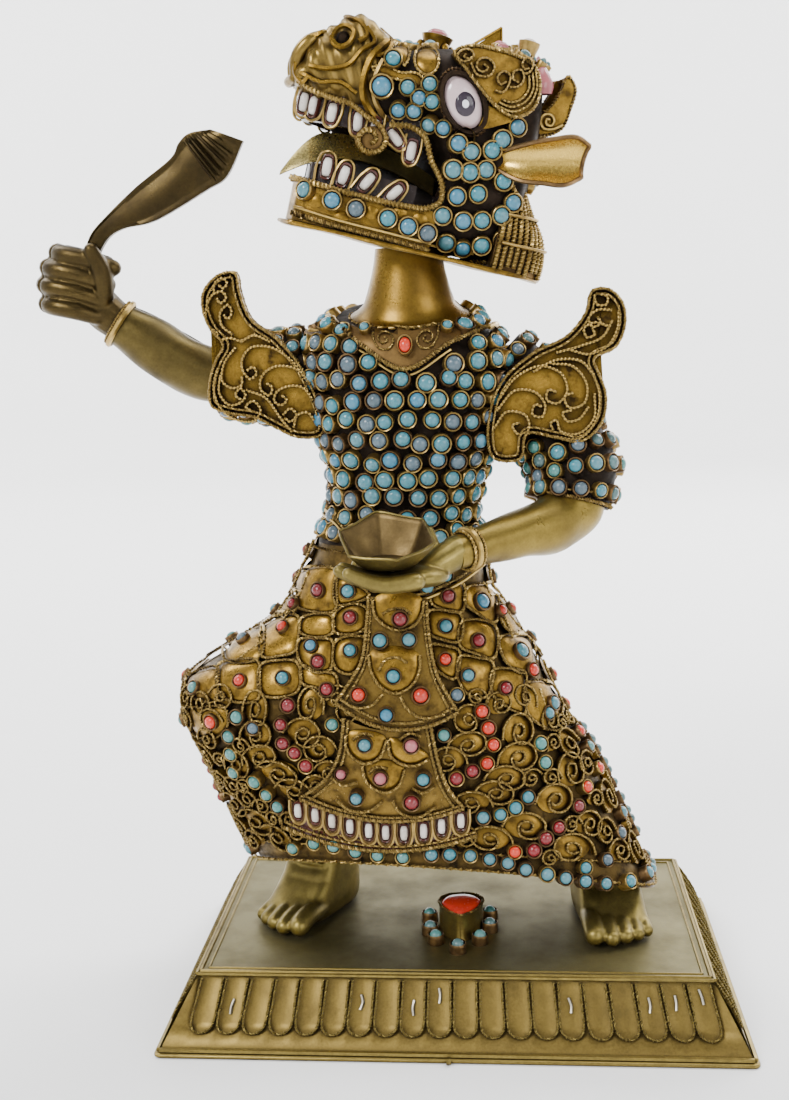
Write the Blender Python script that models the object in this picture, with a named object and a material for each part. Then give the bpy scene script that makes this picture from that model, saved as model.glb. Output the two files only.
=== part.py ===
"""Dragon-headed deity statue of sheet brass, filigree and set stones, on a plinth with petals.

Z is up and the front faces -Y. The origin is the centre of the plinth's flat underside.
On the body near is the side at -X, where the arm is raised, and far the other one. The head is
turned to -X, and there near is its side to the front.
The plinth, the walls and the clearances have sizes of their own. The figure keeps its pose and
carving as shares of its own height: fig() and size() take figure units, 284 to the whole figure.
"""

from math import copysign, cos, pi, radians, sin

import bmesh
import bpy
from mathutils import Matrix, Vector

# Driving dimensions, in metres

FIGURE_HEIGHT = 0.284
PLINTH_TOP_WIDTH = 0.155
PLINTH_TOP_DEPTH = 0.090
PLINTH_FOOT_WIDTH = 0.177
PLINTH_FOOT_DEPTH = 0.112
PLINTH_BODY_HEIGHT = 0.0205
BASE_PLATE_THICKNESS = 0.0012
BASE_PLATE_LIP = 0.0015
PETAL_PITCH = 0.0077
PETAL_TOP_MARGIN = 0.0018
PETAL_BOTTOM_MARGIN = 0.0042
PETAL_RIM = 0.0009
PETAL_HOLLOW = 0.0009
JEWEL_BOX_HEIGHT = 0.0095
BEZEL_RADIUS = 0.0030
BEZEL_HEIGHT = 0.0030
BEZEL_RIM = 0.0009
BEZEL_DOME = 0.0006
SHEET = 0.0012
PLATE = 0.0018
STUD_HEIGHT = 0.0011
STUD_BORDER = 0.0009
SMALL_STUD = 0.8
LOW_STUD = 0.5
WIRE_RADIUS = 0.0011
GAP = 0.0003
BURY = 0.002

# Figure units

FIGURE_UNITS = 284.0
UNIT = FIGURE_HEIGHT / FIGURE_UNITS
PLINTH_BODY_Z = BASE_PLATE_THICKNESS + GAP
PLINTH_TOP_Z = PLINTH_BODY_Z + PLINTH_BODY_HEIGHT

# Colours and finishes: base colour, roughness, metallic

FINISHES = {
    "gilt_brass": ((0.62, 0.42, 0.12), 0.34, 1.0),
    "aged_brass": ((0.33, 0.26, 0.11), 0.48, 0.9),
    "plinth_brass": ((0.24, 0.20, 0.09), 0.50, 0.9),
    "dark_patina": ((0.07, 0.045, 0.025), 0.65, 0.4),
    "turquoise_work": ((0.16, 0.36, 0.42), 0.32, 0.2),
    "coral": ((0.62, 0.09, 0.05), 0.28, 0.0),
    "bone_white": ((0.72, 0.68, 0.60), 0.35, 0.0),
    "pink_stone": ((0.60, 0.28, 0.32), 0.40, 0.0),
    "eye_enamel": ((0.62, 0.52, 0.52), 0.18, 0.0),
}

# Skirt: height, left edge, right edge and half depth of each section, in figure units

SKIRT_SECTIONS = (
    (16, -66.0, 66.0, 32.0),
    (28, -70.5, 58.5, 31.5),
    (42, -75.5, 51.5, 31.0),
    (59, -82.0, 42.5, 31.0),
    (71, -87.4, 34.5, 30.5),
    (77, -88.0, 32.0, 30.0),
    (83, -85.0, 29.5, 28.5),
    (89, -77.0, 26.8, 27.0),
    (95, -67.0, 22.0, 25.5),
    (100, -58.5, 19.0, 24.0),
    (105, -54.0, 16.0, 23.0),
    (110, -50.5, 12.7, 22.0),
    (118, -46.5, 11.0, 21.0),
    (127, -42.6, 8.9, 20.0),
)
SKIRT_ROWS = 9
SKIRT_COLUMNS = 18
SKIRT_TOP = 127
SKIRT_FREE_HEM_TOP = 60
SKIRT_HEM_SLOPE = -0.0687
SKIRT_HEM_MIDDLE = 15.8
SKIRT_HEM_FRONT_RISE = 12.0
SKIRT_POWER = 2.4
SKIRT_HOLLOW = 2.5
SKIRT_RIM_SHARE = 0.94
SKIRT_FRONT_LIMIT = 0.999

# Bodice: the same, with how far the back of the section stands above its front

BODICE_SECTIONS = (
    (127, -42.6, 8.9, 20.0),
    (135, -38.5, 7.5, 19.0),
    (141, -37.0, 8.6, 19.0),
    (149, -37.0, 11.0, 20.0),
    (158, -39.5, 14.0, 22.0),
    (168, -40.5, 15.5, 22.5),
    (178, -42.5, 17.5, 21.5),
    (186, -43.5, 18.5, 20.0),
    (191.5, -42.0, 14.5, 18.5),
    (197.5, -34.0, 7.5, 15.5),
)
BODICE_ROWS = 8
BODICE_COLUMNS = 14
BODICE_POWER = 2.3
BODICE_TILT_FROM = 178
BODICE_TOP = 197.5
BODICE_FRONT_LIMIT = 0.98
NECKLINE_TILT = 4.5

# Neck and head frame

NECK_X = -11.6
HEAD_SEAT = (-12.5, 0.0, 215.9)
HEAD_TURN = radians(12)
HEAD_LIFT = radians(14)
HEAD_ROLL = radians(4)
MOUTH_BACK = -4.3
MUZZLE_FRONT = 20.0
CHIN_PLATE_TOP = 1.3


def fig(x, y, z):
    """A point given in figure units above the plinth's top, in metres."""
    return Vector((x * UNIT, y * UNIT, PLINTH_TOP_Z + z * UNIT))


def size(value):
    """A length in figure units, in metres."""
    return value * UNIT


def in_units(length):
    """A length in metres, in figure units."""
    return length / UNIT


def between(low, high, share):
    return low + (high - low) * share


def read_row(table, at):
    """The row of a table at a height between its rows."""
    if at <= table[0][0]:
        return table[0]
    for lower, upper in zip(table, table[1:]):
        if at <= upper[0]:
            share = (at - lower[0]) / (upper[0] - lower[0])
            return tuple(between(low, high, share) for low, high in zip(lower, upper))
    return table[-1]


def oval_point(angle, half_width, half_depth, power):
    """A point of a rounded rectangle, flatter the higher its power."""
    across = copysign(abs(cos(angle)) ** (2 / power), cos(angle))
    along = copysign(abs(sin(angle)) ** (2 / power), sin(angle))
    return half_width * across, half_depth * along


# Mesh helpers

def finish_material(name):
    colour, roughness, metallic = FINISHES[name]
    material = bpy.data.materials.new(name)
    material.use_nodes = True
    shader = material.node_tree.nodes["Principled BSDF"]
    shader.inputs["Base Color"].default_value = (*colour, 1.0)
    shader.inputs["Roughness"].default_value = roughness
    shader.inputs["Metallic"].default_value = metallic
    return material


def new_object(name, bm, material=None, parent=None, smooth=radians(40)):
    """Turn a bmesh into a named object with its own copy of a finish."""
    bmesh.ops.recalc_face_normals(bm, faces=bm.faces)
    mesh = bpy.data.meshes.new(name)
    bm.to_mesh(mesh)
    bm.free()
    mesh.shade_smooth()
    mesh.set_sharp_from_angle(angle=smooth)
    obj = bpy.data.objects.new(name, mesh)
    bpy.context.scene.collection.objects.link(obj)
    if material:
        mesh.materials.append(finish_material(material))
    if parent:
        obj.parent = parent
    return obj


def make_cutter(name, bm, parent=None):
    """A hidden helper that only cuts or joins its neighbours."""
    obj = new_object(name, bm, parent=parent)
    obj.hide_render = True
    obj.display_type = "WIRE"
    return obj


def use_boolean(target, tool, operation="DIFFERENCE"):
    modifier = target.modifiers.new(f"{operation.lower()}_{tool.name}", "BOOLEAN")
    modifier.operation = operation
    modifier.object = tool
    modifier.solver = "EXACT"


def add_rings(bm, rings, first_cap=True, last_cap=True):
    """Join rings of equal point counts into a closed skin; returns the rings and the side faces."""
    rows = [[bm.verts.new(point) for point in ring] for ring in rings]
    sides = []
    for lower, upper in zip(rows, rows[1:]):
        count = len(lower)
        for j in range(count):
            k = (j + 1) % count
            sides.append(bm.faces.new((lower[j], lower[k], upper[k], upper[j])))
    if first_cap:
        bm.faces.new(rows[0])
    if last_cap:
        bm.faces.new(rows[-1])
    return rows, sides


def lofted(rings):
    bm = bmesh.new()
    add_rings(bm, rings)
    return bm


def raise_faces(bm, faces, border, height):
    """Raise each face inside a border of its own, as a set stone; a minus height sinks it."""
    bmesh.ops.recalc_face_normals(bm, faces=bm.faces)
    bmesh.ops.inset_individual(bm, faces=faces, thickness=border, depth=height, use_even_offset=True)


def add_lattice(bm, rings):
    """A closed skin of staggered diamonds, from rings of which every other is turned half a step."""
    rows = [[bm.verts.new(point) for point in ring] for ring in rings]
    count = len(rows[0])
    last = len(rows) - 1
    diamonds = []
    for i, row in enumerate(rows):
        for j in range(count):
            left, right = row[j], row[(j + 1) % count]
            beside = (j + 1) % count if i % 2 else j
            below = rows[i - 1][beside] if i > 0 else None
            above = rows[i + 1][beside] if i < last else None
            corners = [corner for corner in (left, below, right, above) if corner]
            face = bm.faces.new(corners)
            if len(corners) == 4:
                diamonds.append(face)
    return rows, diamonds


def crease_across(diamonds):
    """Fold plain diamonds along their level diagonal, so that every copy folds alike."""
    for face in diamonds:
        a, b, c, d = face.verts
        pair = (a, c) if abs(a.co.z - c.co.z) < abs(b.co.z - d.co.z) else (b, d)
        bmesh.utils.face_split(face, *pair)


def prism(outline, bottom, top):
    """Two offset copies of an outline given by functions of its points."""
    bm = bmesh.new()
    add_rings(bm, [[bottom(*point) for point in outline], [top(*point) for point in outline]])
    return bm


def tube_rings(centres, radii, sides, flatten=1.0, start_normal=None, end_normal=None):
    """Rings square to a path; flatten scales each ring's height across the path."""
    points = [Vector(point) for point in centres]
    rings = []
    for i, centre in enumerate(points):
        before = points[max(i - 1, 0)]
        after = points[min(i + 1, len(points) - 1)]
        along = (after - before).normalized()
        if i == 0 and start_normal:
            along = Vector(start_normal).normalized()
        if i == len(points) - 1 and end_normal:
            along = Vector(end_normal).normalized()
        across = along.cross(Vector((0, 1, 0))).normalized()
        beside = across.cross(along).normalized()
        radius = radii[i]
        ring = []
        for j in range(sides):
            angle = 2 * pi * j / sides
            ring.append(centre + (across * cos(angle) * flatten + beside * sin(angle)) * radius)
        rings.append(ring)
    return rings


def ball_rings(centre, radii, axes, turns=4, sides=10, start=0.0):
    """Rings of a domed solid from its pole's angle start down to the other pole."""
    rings = []
    for i in range(turns + 1):
        tilt = between(start, pi - start, i / turns)
        ring = []
        for j in range(sides):
            angle = 2 * pi * j / sides
            ring.append(
                centre
                + axes[0] * (radii[0] * sin(tilt) * cos(angle))
                + axes[1] * (radii[1] * sin(tilt) * sin(angle))
                + axes[2] * (radii[2] * cos(tilt))
            )
        rings.append(ring)
    return rings


# Plinth

PETAL_ARC = (0.3 * pi, 0.7 * pi)
PETAL_FAN = 0.45


def plinth_side(bm, foot, top, petal_span):
    """One sloping side between its foot and top corners, left then right: petals in a row.

    The petals fan out by a share of the side's own widening towards its foot.
    """
    top_left, top_right = top
    foot_left, foot_right = foot
    count = max(3, round((top_right.co - top_left.co).length / PETAL_PITCH))
    down = ((foot_left.co + foot_right.co) - (top_left.co + top_right.co)) / 2
    slope_length = down.length
    down.normalize()
    right = (top_right.co - top_left.co).normalized()
    middle = (top_left.co + top_right.co) / 2
    pitch = petal_span / count
    radius = pitch / 2
    straight = slope_length - PETAL_TOP_MARGIN - PETAL_BOTTOM_MARGIN - radius

    widening = (foot_right.co - foot_left.co).length / (top_right.co - top_left.co).length - 1

    def point(across, depth):
        spread = 1 + PETAL_FAN * widening * depth / slope_length
        return bm.verts.new(middle + right * (across * spread) + down * depth)

    start = -petal_span / 2
    tops = [point(start + pitch * i, PETAL_TOP_MARGIN) for i in range(count + 1)]
    shoulders = [point(start + pitch * i, PETAL_TOP_MARGIN + straight) for i in range(count + 1)]
    arcs = []
    for i in range(count):
        centre = start + pitch * (i + 0.5)
        arc = []
        for angle in PETAL_ARC:
            drop = PETAL_TOP_MARGIN + straight + radius * sin(angle)
            arc.append(point(centre - radius * cos(angle), drop))
        arcs.append(arc)
    petals = []
    for i in range(count):
        loop = [tops[i], tops[i + 1], shoulders[i + 1], *reversed(arcs[i]), shoulders[i]]
        petals.append(bm.faces.new(loop))
    lower_edge = [shoulders[0]]
    for i in range(count):
        lower_edge += [*arcs[i], shoulders[i + 1]]
    bm.faces.new([foot_left, *lower_edge, foot_right])
    bm.faces.new([top_left, top_right, *reversed(tops)])
    bm.faces.new([top_left, tops[0], shoulders[0], foot_left])
    bm.faces.new([top_right, foot_right, shoulders[-1], tops[-1]])
    return petals


def make_plinth():
    """The closed sheet box: sloping sides with petals and a flat top."""
    bm = bmesh.new()

    def corners(width, depth, z):
        signs = ((-1, -1), (1, -1), (1, 1), (-1, 1))
        return [bm.verts.new((sx * width / 2, sy * depth / 2, z)) for sx, sy in signs]

    foot = corners(PLINTH_FOOT_WIDTH, PLINTH_FOOT_DEPTH, PLINTH_BODY_Z)
    top = corners(PLINTH_TOP_WIDTH, PLINTH_TOP_DEPTH, PLINTH_TOP_Z)
    petals = []
    for i in range(4):
        k = (i + 1) % 4
        span = (top[k].co - top[i].co).length - 2 * PETAL_RIM
        petals += plinth_side(bm, (foot[i], foot[k]), (top[i], top[k]), span)
    bm.faces.new(top)
    bm.faces.new(foot)
    raise_faces(bm, petals, PETAL_RIM, -PETAL_HOLLOW)
    return new_object("plinth", bm, "plinth_brass", smooth=radians(25))


def make_base_plate():
    """The thin plate that closes the plinth below and stands out as a lip all round."""
    half_width = PLINTH_FOOT_WIDTH / 2 + BASE_PLATE_LIP
    half_depth = PLINTH_FOOT_DEPTH / 2 + BASE_PLATE_LIP
    bm = bmesh.new()
    bmesh.ops.create_cube(bm, size=1.0)
    bmesh.ops.scale(bm, vec=(2 * half_width, 2 * half_depth, BASE_PLATE_THICKNESS), verts=bm.verts)
    bmesh.ops.translate(bm, vec=(0, 0, BASE_PLATE_THICKNESS / 2), verts=bm.verts)
    upright = [edge for edge in bm.edges if abs(edge.verts[0].co.z - edge.verts[1].co.z) > GAP]
    bmesh.ops.bevel(bm, geom=upright, offset=BASE_PLATE_LIP, segments=2, affect="EDGES")
    return new_object("base_plate", bm, "aged_brass")


# Jewel on the plinth

JEWEL_CENTRE = (1.8, -12.5)
JEWEL_OUTLINE = (
    (-7.2, 3.2), (-4.4, 6.4), (4.4, 6.4), (7.2, 3.2), (5.6, -2.6), (1.6, -9.6), (-1.6, -9.6), (-5.6, -2.6),
)
JEWEL_STONE_SINK = 0.8
JEWEL_RING = (10.4, 14.2)
JEWEL_RING_COUNT = 7
JEWEL_RING_TURN = (170, 370)


def make_plinth_jewel():
    """A tall box bezel with a sunk coral, tip forward."""
    centre_x, centre_y = JEWEL_CENTRE
    foot = PLINTH_TOP_Z + GAP
    bm = prism(
        JEWEL_OUTLINE,
        lambda x, y: Vector((size(centre_x + x), size(centre_y + y), foot)),
        lambda x, y: Vector((size(centre_x + x), size(centre_y + y), foot + JEWEL_BOX_HEIGHT)),
    )
    lid = max(bm.faces, key=lambda face: face.calc_center_median().z)
    raise_faces(bm, [lid], SHEET, -size(JEWEL_STONE_SINK))
    new_object("plinth_coral_setting", bm, "coral")


def make_plinth_bezels():
    """Small round stones in bezels, in a horseshoe about the box bezel's tip."""
    centre_x, centre_y = JEWEL_CENTRE
    sides = 8
    foot = PLINTH_TOP_Z + GAP
    turns = [2 * pi * (j + 0.5) / sides for j in range(sides)]
    for i in range(JEWEL_RING_COUNT):
        angle = radians(between(*JEWEL_RING_TURN, i / (JEWEL_RING_COUNT - 1)))
        x = size(centre_x + JEWEL_RING[0] * cos(angle))
        y = size(centre_y + JEWEL_RING[1] * sin(angle))
        outline = [(x + BEZEL_RADIUS * cos(turn), y + BEZEL_RADIUS * sin(turn)) for turn in turns]
        bm = lofted([[Vector((*spot, z)) for spot in outline] for z in (foot, foot + BEZEL_HEIGHT)])
        lid = max(bm.faces, key=lambda face: face.calc_center_median().z)
        raise_faces(bm, [lid], BEZEL_RIM, BEZEL_DOME)
        new_object(f"plinth_bezel_{i + 1}", bm, "turquoise_work")


# Skirt

def hem_height(x, y):
    """The hem dips to the sides, and runs lower to the right."""
    front = max(0.0, -y / SKIRT_SECTIONS[0][3])
    return SKIRT_HEM_MIDDLE + SKIRT_HEM_SLOPE * x + SKIRT_HEM_FRONT_RISE * front ** 1.5


def skirt_point(height, angle, spread=0.0, drop=0.0):
    """A point of the skirt's skin, in figure units; spread moves it out and drop lowers the hem."""
    _, left, right, half_depth = read_row(SKIRT_SECTIONS, height)
    centre = (left + right) / 2
    x, y = oval_point(angle, (right - left) / 2 + spread, half_depth + spread, SKIRT_POWER)
    x += centre
    hem_row = SKIRT_SECTIONS[0][0]
    if height < SKIRT_FREE_HEM_TOP:
        share = (height - hem_row) / (SKIRT_FREE_HEM_TOP - hem_row)
        height = between(hem_height(x, y) - drop, SKIRT_FREE_HEM_TOP, share)
    return x, y, height


def skirt_front(x, z):
    """How far forward the skirt's skin lies at a place, in figure units."""
    hem_row = SKIRT_SECTIONS[0][0]
    height = z
    if z < SKIRT_FREE_HEM_TOP:
        hem = hem_height(x, -SKIRT_SECTIONS[0][3] * SKIRT_RIM_SHARE)
        share = (z - hem) / (SKIRT_FREE_HEM_TOP - hem)
        height = between(hem_row, SKIRT_FREE_HEM_TOP, share)
    _, left, right, half_depth = read_row(SKIRT_SECTIONS, height)
    across = min(SKIRT_FRONT_LIMIT, abs(x - (left + right) / 2) / ((right - left) / 2))
    return -half_depth * (1 - across ** SKIRT_POWER) ** (1 / SKIRT_POWER)


def skirt_rings(rows, columns, spread=0.0, drop=0.0, lift=0.0):
    hem_row = SKIRT_SECTIONS[0][0]
    rings = []
    for i in range(rows + 1):
        height = between(hem_row, SKIRT_TOP, i / rows)
        shift = 0.5 if i % 2 else 0.0
        ring = []
        for j in range(columns):
            x, y, z = skirt_point(height, 2 * pi * (j + shift) / columns, spread, drop)
            ring.append(fig(x, y, z + (lift if i == rows else 0.0)))
        rings.append(ring)
    return rings


def under_skirt(bm, hem):
    """Close the skirt below with a shallow hollow behind its rim."""
    centre = sum((vert.co for vert in hem), Vector()) / len(hem)
    rise = Vector((0, 0, size(SKIRT_HOLLOW)))
    inner = [bm.verts.new(centre + (vert.co - centre) * SKIRT_RIM_SHARE + rise) for vert in hem]
    count = len(hem)
    for j in range(count):
        k = (j + 1) % count
        bm.faces.new((hem[j], hem[k], inner[k], inner[j]))
    middle = bm.verts.new(centre + rise)
    for j in range(count):
        bm.faces.new((inner[j], inner[(j + 1) % count], middle))


def make_skirt():
    """The skirt: a hollow-looking bell of staggered set cells, flat where the apron lies on it."""
    bm = bmesh.new()
    rows, cells = add_lattice(bm, skirt_rings(SKIRT_ROWS, SKIRT_COLUMNS))
    bm.faces.new(rows[-1])
    under_skirt(bm, rows[0])
    covered = [face for face in cells if under_apron(face)]
    raised = [face for face in cells if face not in covered]
    crease_across(covered)
    raise_faces(bm, raised, STUD_BORDER, STUD_HEIGHT)
    return new_object("skirt", bm, "aged_brass")


def cell_spots(face):
    """The corners of a cell and the middles of its edges, in figure units."""
    spots = []
    corners = [vert.co for vert in face.verts]
    for before, corner in zip(corners[-1:] + corners[:-1], corners):
        for spot in (corner, (before + corner) / 2):
            spots.append((spot.x / UNIT, spot.y / UNIT, (spot.z - PLINTH_TOP_Z) / UNIT))
    return spots


def under_apron(face):
    """Whether a cell reaches behind the apron, with a margin."""
    for x, y, z in cell_spots(face):
        if y > 0 or z > APRON_TOP + COVER_MARGIN or z < APRON_FOOT - APRON_SAG - COVER_MARGIN:
            continue
        share = (APRON_TOP - z) / (APRON_TOP - APRON_FOOT)
        left = between(APRON_TOP_EDGES[0], APRON_FOOT_EDGES[0], share) - COVER_MARGIN
        right = between(APRON_TOP_EDGES[1], APRON_FOOT_EDGES[1], share) + COVER_MARGIN
        if left < x < right:
            return True
    return False


def skirt_cutter(name, clearance):
    """The skirt's plain form grown by a clearance, for what stands under it or against it."""
    grow = in_units(clearance)
    bm = bmesh.new()
    rings = skirt_rings(SKIRT_ROWS, SKIRT_COLUMNS, spread=grow, drop=grow, lift=grow)
    rows, cells = add_lattice(bm, rings)
    bm.faces.new(rows[-1])
    under_skirt(bm, rows[0])
    crease_across(cells)
    return make_cutter(name, bm)


# Apron

APRON_TOP = 113.3
APRON_TOP_EDGES = (-26.1, -0.8)
APRON_FOOT = 39.5
APRON_FOOT_EDGES = (-49.1, 5.7)
APRON_TIERS = {
    "apron_upper": (0.0, 0.44, 4, 3),
    "apron_lower": (0.44, 0.845, 5, 3),
    "apron_fringe": (0.845, 1.0, 10, 1),
}
APRON_SAG = 6.5
APRON_SAG_FULL = 0.3
COVER_MARGIN = 2.0


def apron_place(share, across):
    """A place on the apron, share down and across it, in figure units."""
    left = between(APRON_TOP_EDGES[0], APRON_FOOT_EDGES[0], share)
    right = between(APRON_TOP_EDGES[1], APRON_FOOT_EDGES[1], share)
    x = between(left, right, across)
    sag = APRON_SAG * min(1.0, share / APRON_SAG_FULL) * (1 - (2 * across - 1) ** 2)
    z = between(APRON_TOP, APRON_FOOT, share) - sag
    return x, z


def draped_slab(bm, place, surface, columns, rows, bury, thickness):
    """A slab that follows a surface, its back buried in it for a cut; returns its front faces."""
    front = []
    back = []
    for i in range(rows + 1):
        front_row = []
        back_row = []
        for j in range(columns + 1):
            x, z = place(i / rows, j / columns)
            y = surface(x, z)
            front_row.append(bm.verts.new(fig(x, y, z) - Vector((0, thickness, 0))))
            back_row.append(bm.verts.new(fig(x, y, z) + Vector((0, bury, 0))))
        front.append(front_row)
        back.append(back_row)
    faces = []
    for i in range(rows):
        for j in range(columns):
            for grid in (front, back):
                face = bm.faces.new((grid[i][j], grid[i][j + 1], grid[i + 1][j + 1], grid[i + 1][j]))
                if grid is front:
                    faces.append(face)
    for j in range(columns):
        bm.faces.new((front[0][j], front[0][j + 1], back[0][j + 1], back[0][j]))
        bm.faces.new((front[rows][j], front[rows][j + 1], back[rows][j + 1], back[rows][j]))
    for i in range(rows):
        bm.faces.new((front[i][0], front[i + 1][0], back[i + 1][0], back[i][0]))
        bm.faces.new((front[i][columns], front[i + 1][columns], back[i + 1][columns], back[i][columns]))
    return faces


def make_apron(skirt_tool):
    """Two tiers of set scales and a band of pale inlays below them."""
    for name, (top, foot, columns, rows) in APRON_TIERS.items():
        seam = in_units(GAP) / (APRON_TOP - APRON_FOOT)
        start = top + seam if top else top

        def place(down, across, start=start, foot=foot):
            return apron_place(between(start, foot, down), across)

        bm = bmesh.new()
        faces = draped_slab(bm, place, skirt_front, columns, rows, BURY, GAP + PLATE)
        raise_faces(bm, faces, STUD_BORDER * SMALL_STUD, STUD_HEIGHT * SMALL_STUD)
        tier = new_object(name, bm, "bone_white" if name == "apron_fringe" else "gilt_brass")
        use_boolean(tier, skirt_tool)


# Bodice, neckline plate and neck

def bodice_point(height, angle, spread=0.0):
    _, left, right, half_depth = read_row(BODICE_SECTIONS, height)
    centre = (left + right) / 2
    x, y = oval_point(angle, (right - left) / 2 + spread, half_depth + spread, BODICE_POWER)
    lean = max(0.0, (height - BODICE_TILT_FROM) / (BODICE_TOP - BODICE_TILT_FROM))
    return x + centre, y, height + NECKLINE_TILT * lean ** 2 * y / half_depth


def bodice_front(x, z):
    _, left, right, half_depth = read_row(BODICE_SECTIONS, z + neckline_drop(z))
    across = min(BODICE_FRONT_LIMIT, abs(x - (left + right) / 2) / ((right - left) / 2))
    return -half_depth * (1 - across ** BODICE_POWER) ** (1 / BODICE_POWER)


def neckline_drop(z):
    """How far the tilted rows have come down at the front."""
    lean = max(0.0, (z - BODICE_TILT_FROM) / (BODICE_TOP - BODICE_TILT_FROM))
    return NECKLINE_TILT * lean ** 2


def bodice_rings(rows, columns, spread=0.0, lift=0.0, drop=0.0):
    foot = BODICE_SECTIONS[0][0]
    rings = []
    for i in range(rows + 1):
        height = between(foot, BODICE_TOP, i / rows)
        shift = 0.5 if i % 2 else 0.0
        ring = []
        for j in range(columns):
            x, y, z = bodice_point(height, 2 * pi * (j + shift) / columns, spread)
            if i == rows:
                z += lift
            if i == 0:
                z -= drop
            ring.append(fig(x, y, z))
        rings.append(ring)
    return rings


def make_bodice():
    """The close-set turquoise bodice, its top tilted down to the front for the neck."""
    bm = bmesh.new()
    seam = in_units(GAP)
    rows, cells = add_lattice(bm, bodice_rings(BODICE_ROWS, BODICE_COLUMNS, drop=-seam))
    bm.faces.new(rows[0])
    bm.faces.new(rows[-1])
    covered = [face for face in cells if under_neck_plate(face)]
    raised = [face for face in cells if face not in covered]
    crease_across(covered)
    raise_faces(bm, raised, STUD_BORDER, STUD_HEIGHT)
    return new_object("bodice", bm, "turquoise_work")


NECKLINE_PLATE_ENDS = (-29.5, 6.5)
NECKLINE_PLATE_TOP = 194.0
NECKLINE_PLATE_DIP = 3.0
NECKLINE_PLATE_TIP = 180.5
NECKLINE_PLATE_END = 3.0


def neck_plate_place(down, across):
    """The plate between the neckline and the V of the necklace."""
    x = between(NECKLINE_PLATE_ENDS[0], NECKLINE_PLATE_ENDS[1], across)
    middle = abs(2 * across - 1)
    top = NECKLINE_PLATE_TOP - NECKLINE_PLATE_DIP * (1 - middle ** 2)
    foot = between(NECKLINE_PLATE_TIP, NECKLINE_PLATE_TOP - NECKLINE_PLATE_END, middle)
    return x, between(top, foot, down)


def under_neck_plate(face):
    """Whether a cell reaches behind the plate at the neckline, with a margin."""
    left, right = NECKLINE_PLATE_ENDS
    for x, y, z in cell_spots(face):
        across = (x - left) / (right - left)
        foot = neck_plate_place(1.0, min(1.0, max(0.0, across)))[1]
        beside = left - COVER_MARGIN < x < right + COVER_MARGIN
        if y < 0 and beside and z > foot - COVER_MARGIN:
            return True
    return False


def make_neckline_plate():
    """The plate below the neck, with its drop-shaped coral, pointed down to the front."""
    bm = bmesh.new()
    faces = draped_slab(bm, neck_plate_place, bodice_front, 6, 2, BURY, GAP + PLATE)
    raise_faces(bm, faces, STUD_BORDER * SMALL_STUD, STUD_HEIGHT * LOW_STUD)
    plate = new_object("neckline_plate", bm, "gilt_brass")
    use_boolean(plate, bodice_cutter("tool_plain_bodice", GAP))
    return plate


def head_matrix():
    """The frame of the head: X to the snout, Y to the near side, Z up through the crown."""
    seat = Matrix.Translation(fig(*HEAD_SEAT))
    turned = seat @ Matrix.Rotation(pi + HEAD_TURN, 4, "Z") @ Matrix.Rotation(-HEAD_LIFT, 4, "Y")
    return turned @ Matrix.Rotation(-HEAD_ROLL, 4, "X")


def chin_plane_height(x, y):
    """Height of the chin plate's underside over a place, in metres."""
    up = head_matrix().to_3x3() @ Vector((0, 0, 1))
    seat = fig(*HEAD_SEAT)
    return seat.z - ((x - seat.x) * up.x + (y - seat.y) * up.y) / up.z


# Height above the bodice's top, half width, half depth and share of the neckline's tilt
NECK_LEVELS = (
    (0.4, 17.0, 13.6, 1.0),
    (2.4, 14.8, 12.6, 0.8),
    (7.5, 12.4, 11.4, 0.35),
    (12.5, 11.0, 10.4, 0.0),
)
NECK_TOP_RADIUS = 10.2
CHIN_GAP = 1.1 * GAP


def make_neck():
    """The neck flares down to the neckline and ends under the chin plate."""
    sides = 14
    angles = [2 * pi * j / sides for j in range(sides)]
    slope = NECKLINE_TILT / BODICE_SECTIONS[-1][3]
    rings = []
    for height, half_width, half_depth, lean in NECK_LEVELS:
        ring = []
        for angle in angles:
            x, y = half_width * cos(angle), half_depth * sin(angle)
            ring.append(fig(NECK_X + x, y, BODICE_TOP + height + slope * lean * y))
        rings.append(ring)
    top = []
    for angle in angles:
        point = fig(NECK_X + NECK_TOP_RADIUS * cos(angle), NECK_TOP_RADIUS * sin(angle), 0)
        point.z = chin_plane_height(point.x, point.y) - CHIN_GAP
        top.append(point)
    rings.append(top)
    return new_object("neck", lofted(rings), "gilt_brass")


# Feet

# Distance from the heel, half width and height of each section
FOOT_SECTIONS = (
    (0, 6.5, 13.0),
    (4, 9.0, 27.0),
    (15, 10.0, 27.0),
    (22, 10.8, 16.5),
    (29, 11.6, 11.0),
    (35, 12.2, 7.6),
    (39, 12.2, 6.0),
    (41, 11.6, 4.0),
)
# Place of the heel, turn, side of the big toe and height of the ankle
FEET = {
    "foot_near": (-40.0, 16.0, radians(-27), 1.0, 27.0),
    "foot_far": (47.0, 13.0, radians(8), -1.0, 20.0),
}
TOE_POINTS = 11
TOES_FROM = 27
TOES_FULL = 35
TOE_CLEFT = 0.62
TOE_REACH = 1.6
FOOT_ROUNDNESS = 3.2
FOOT_EDGE_SHARE = 0.25
FOOT_SOLE = 1.0


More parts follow.
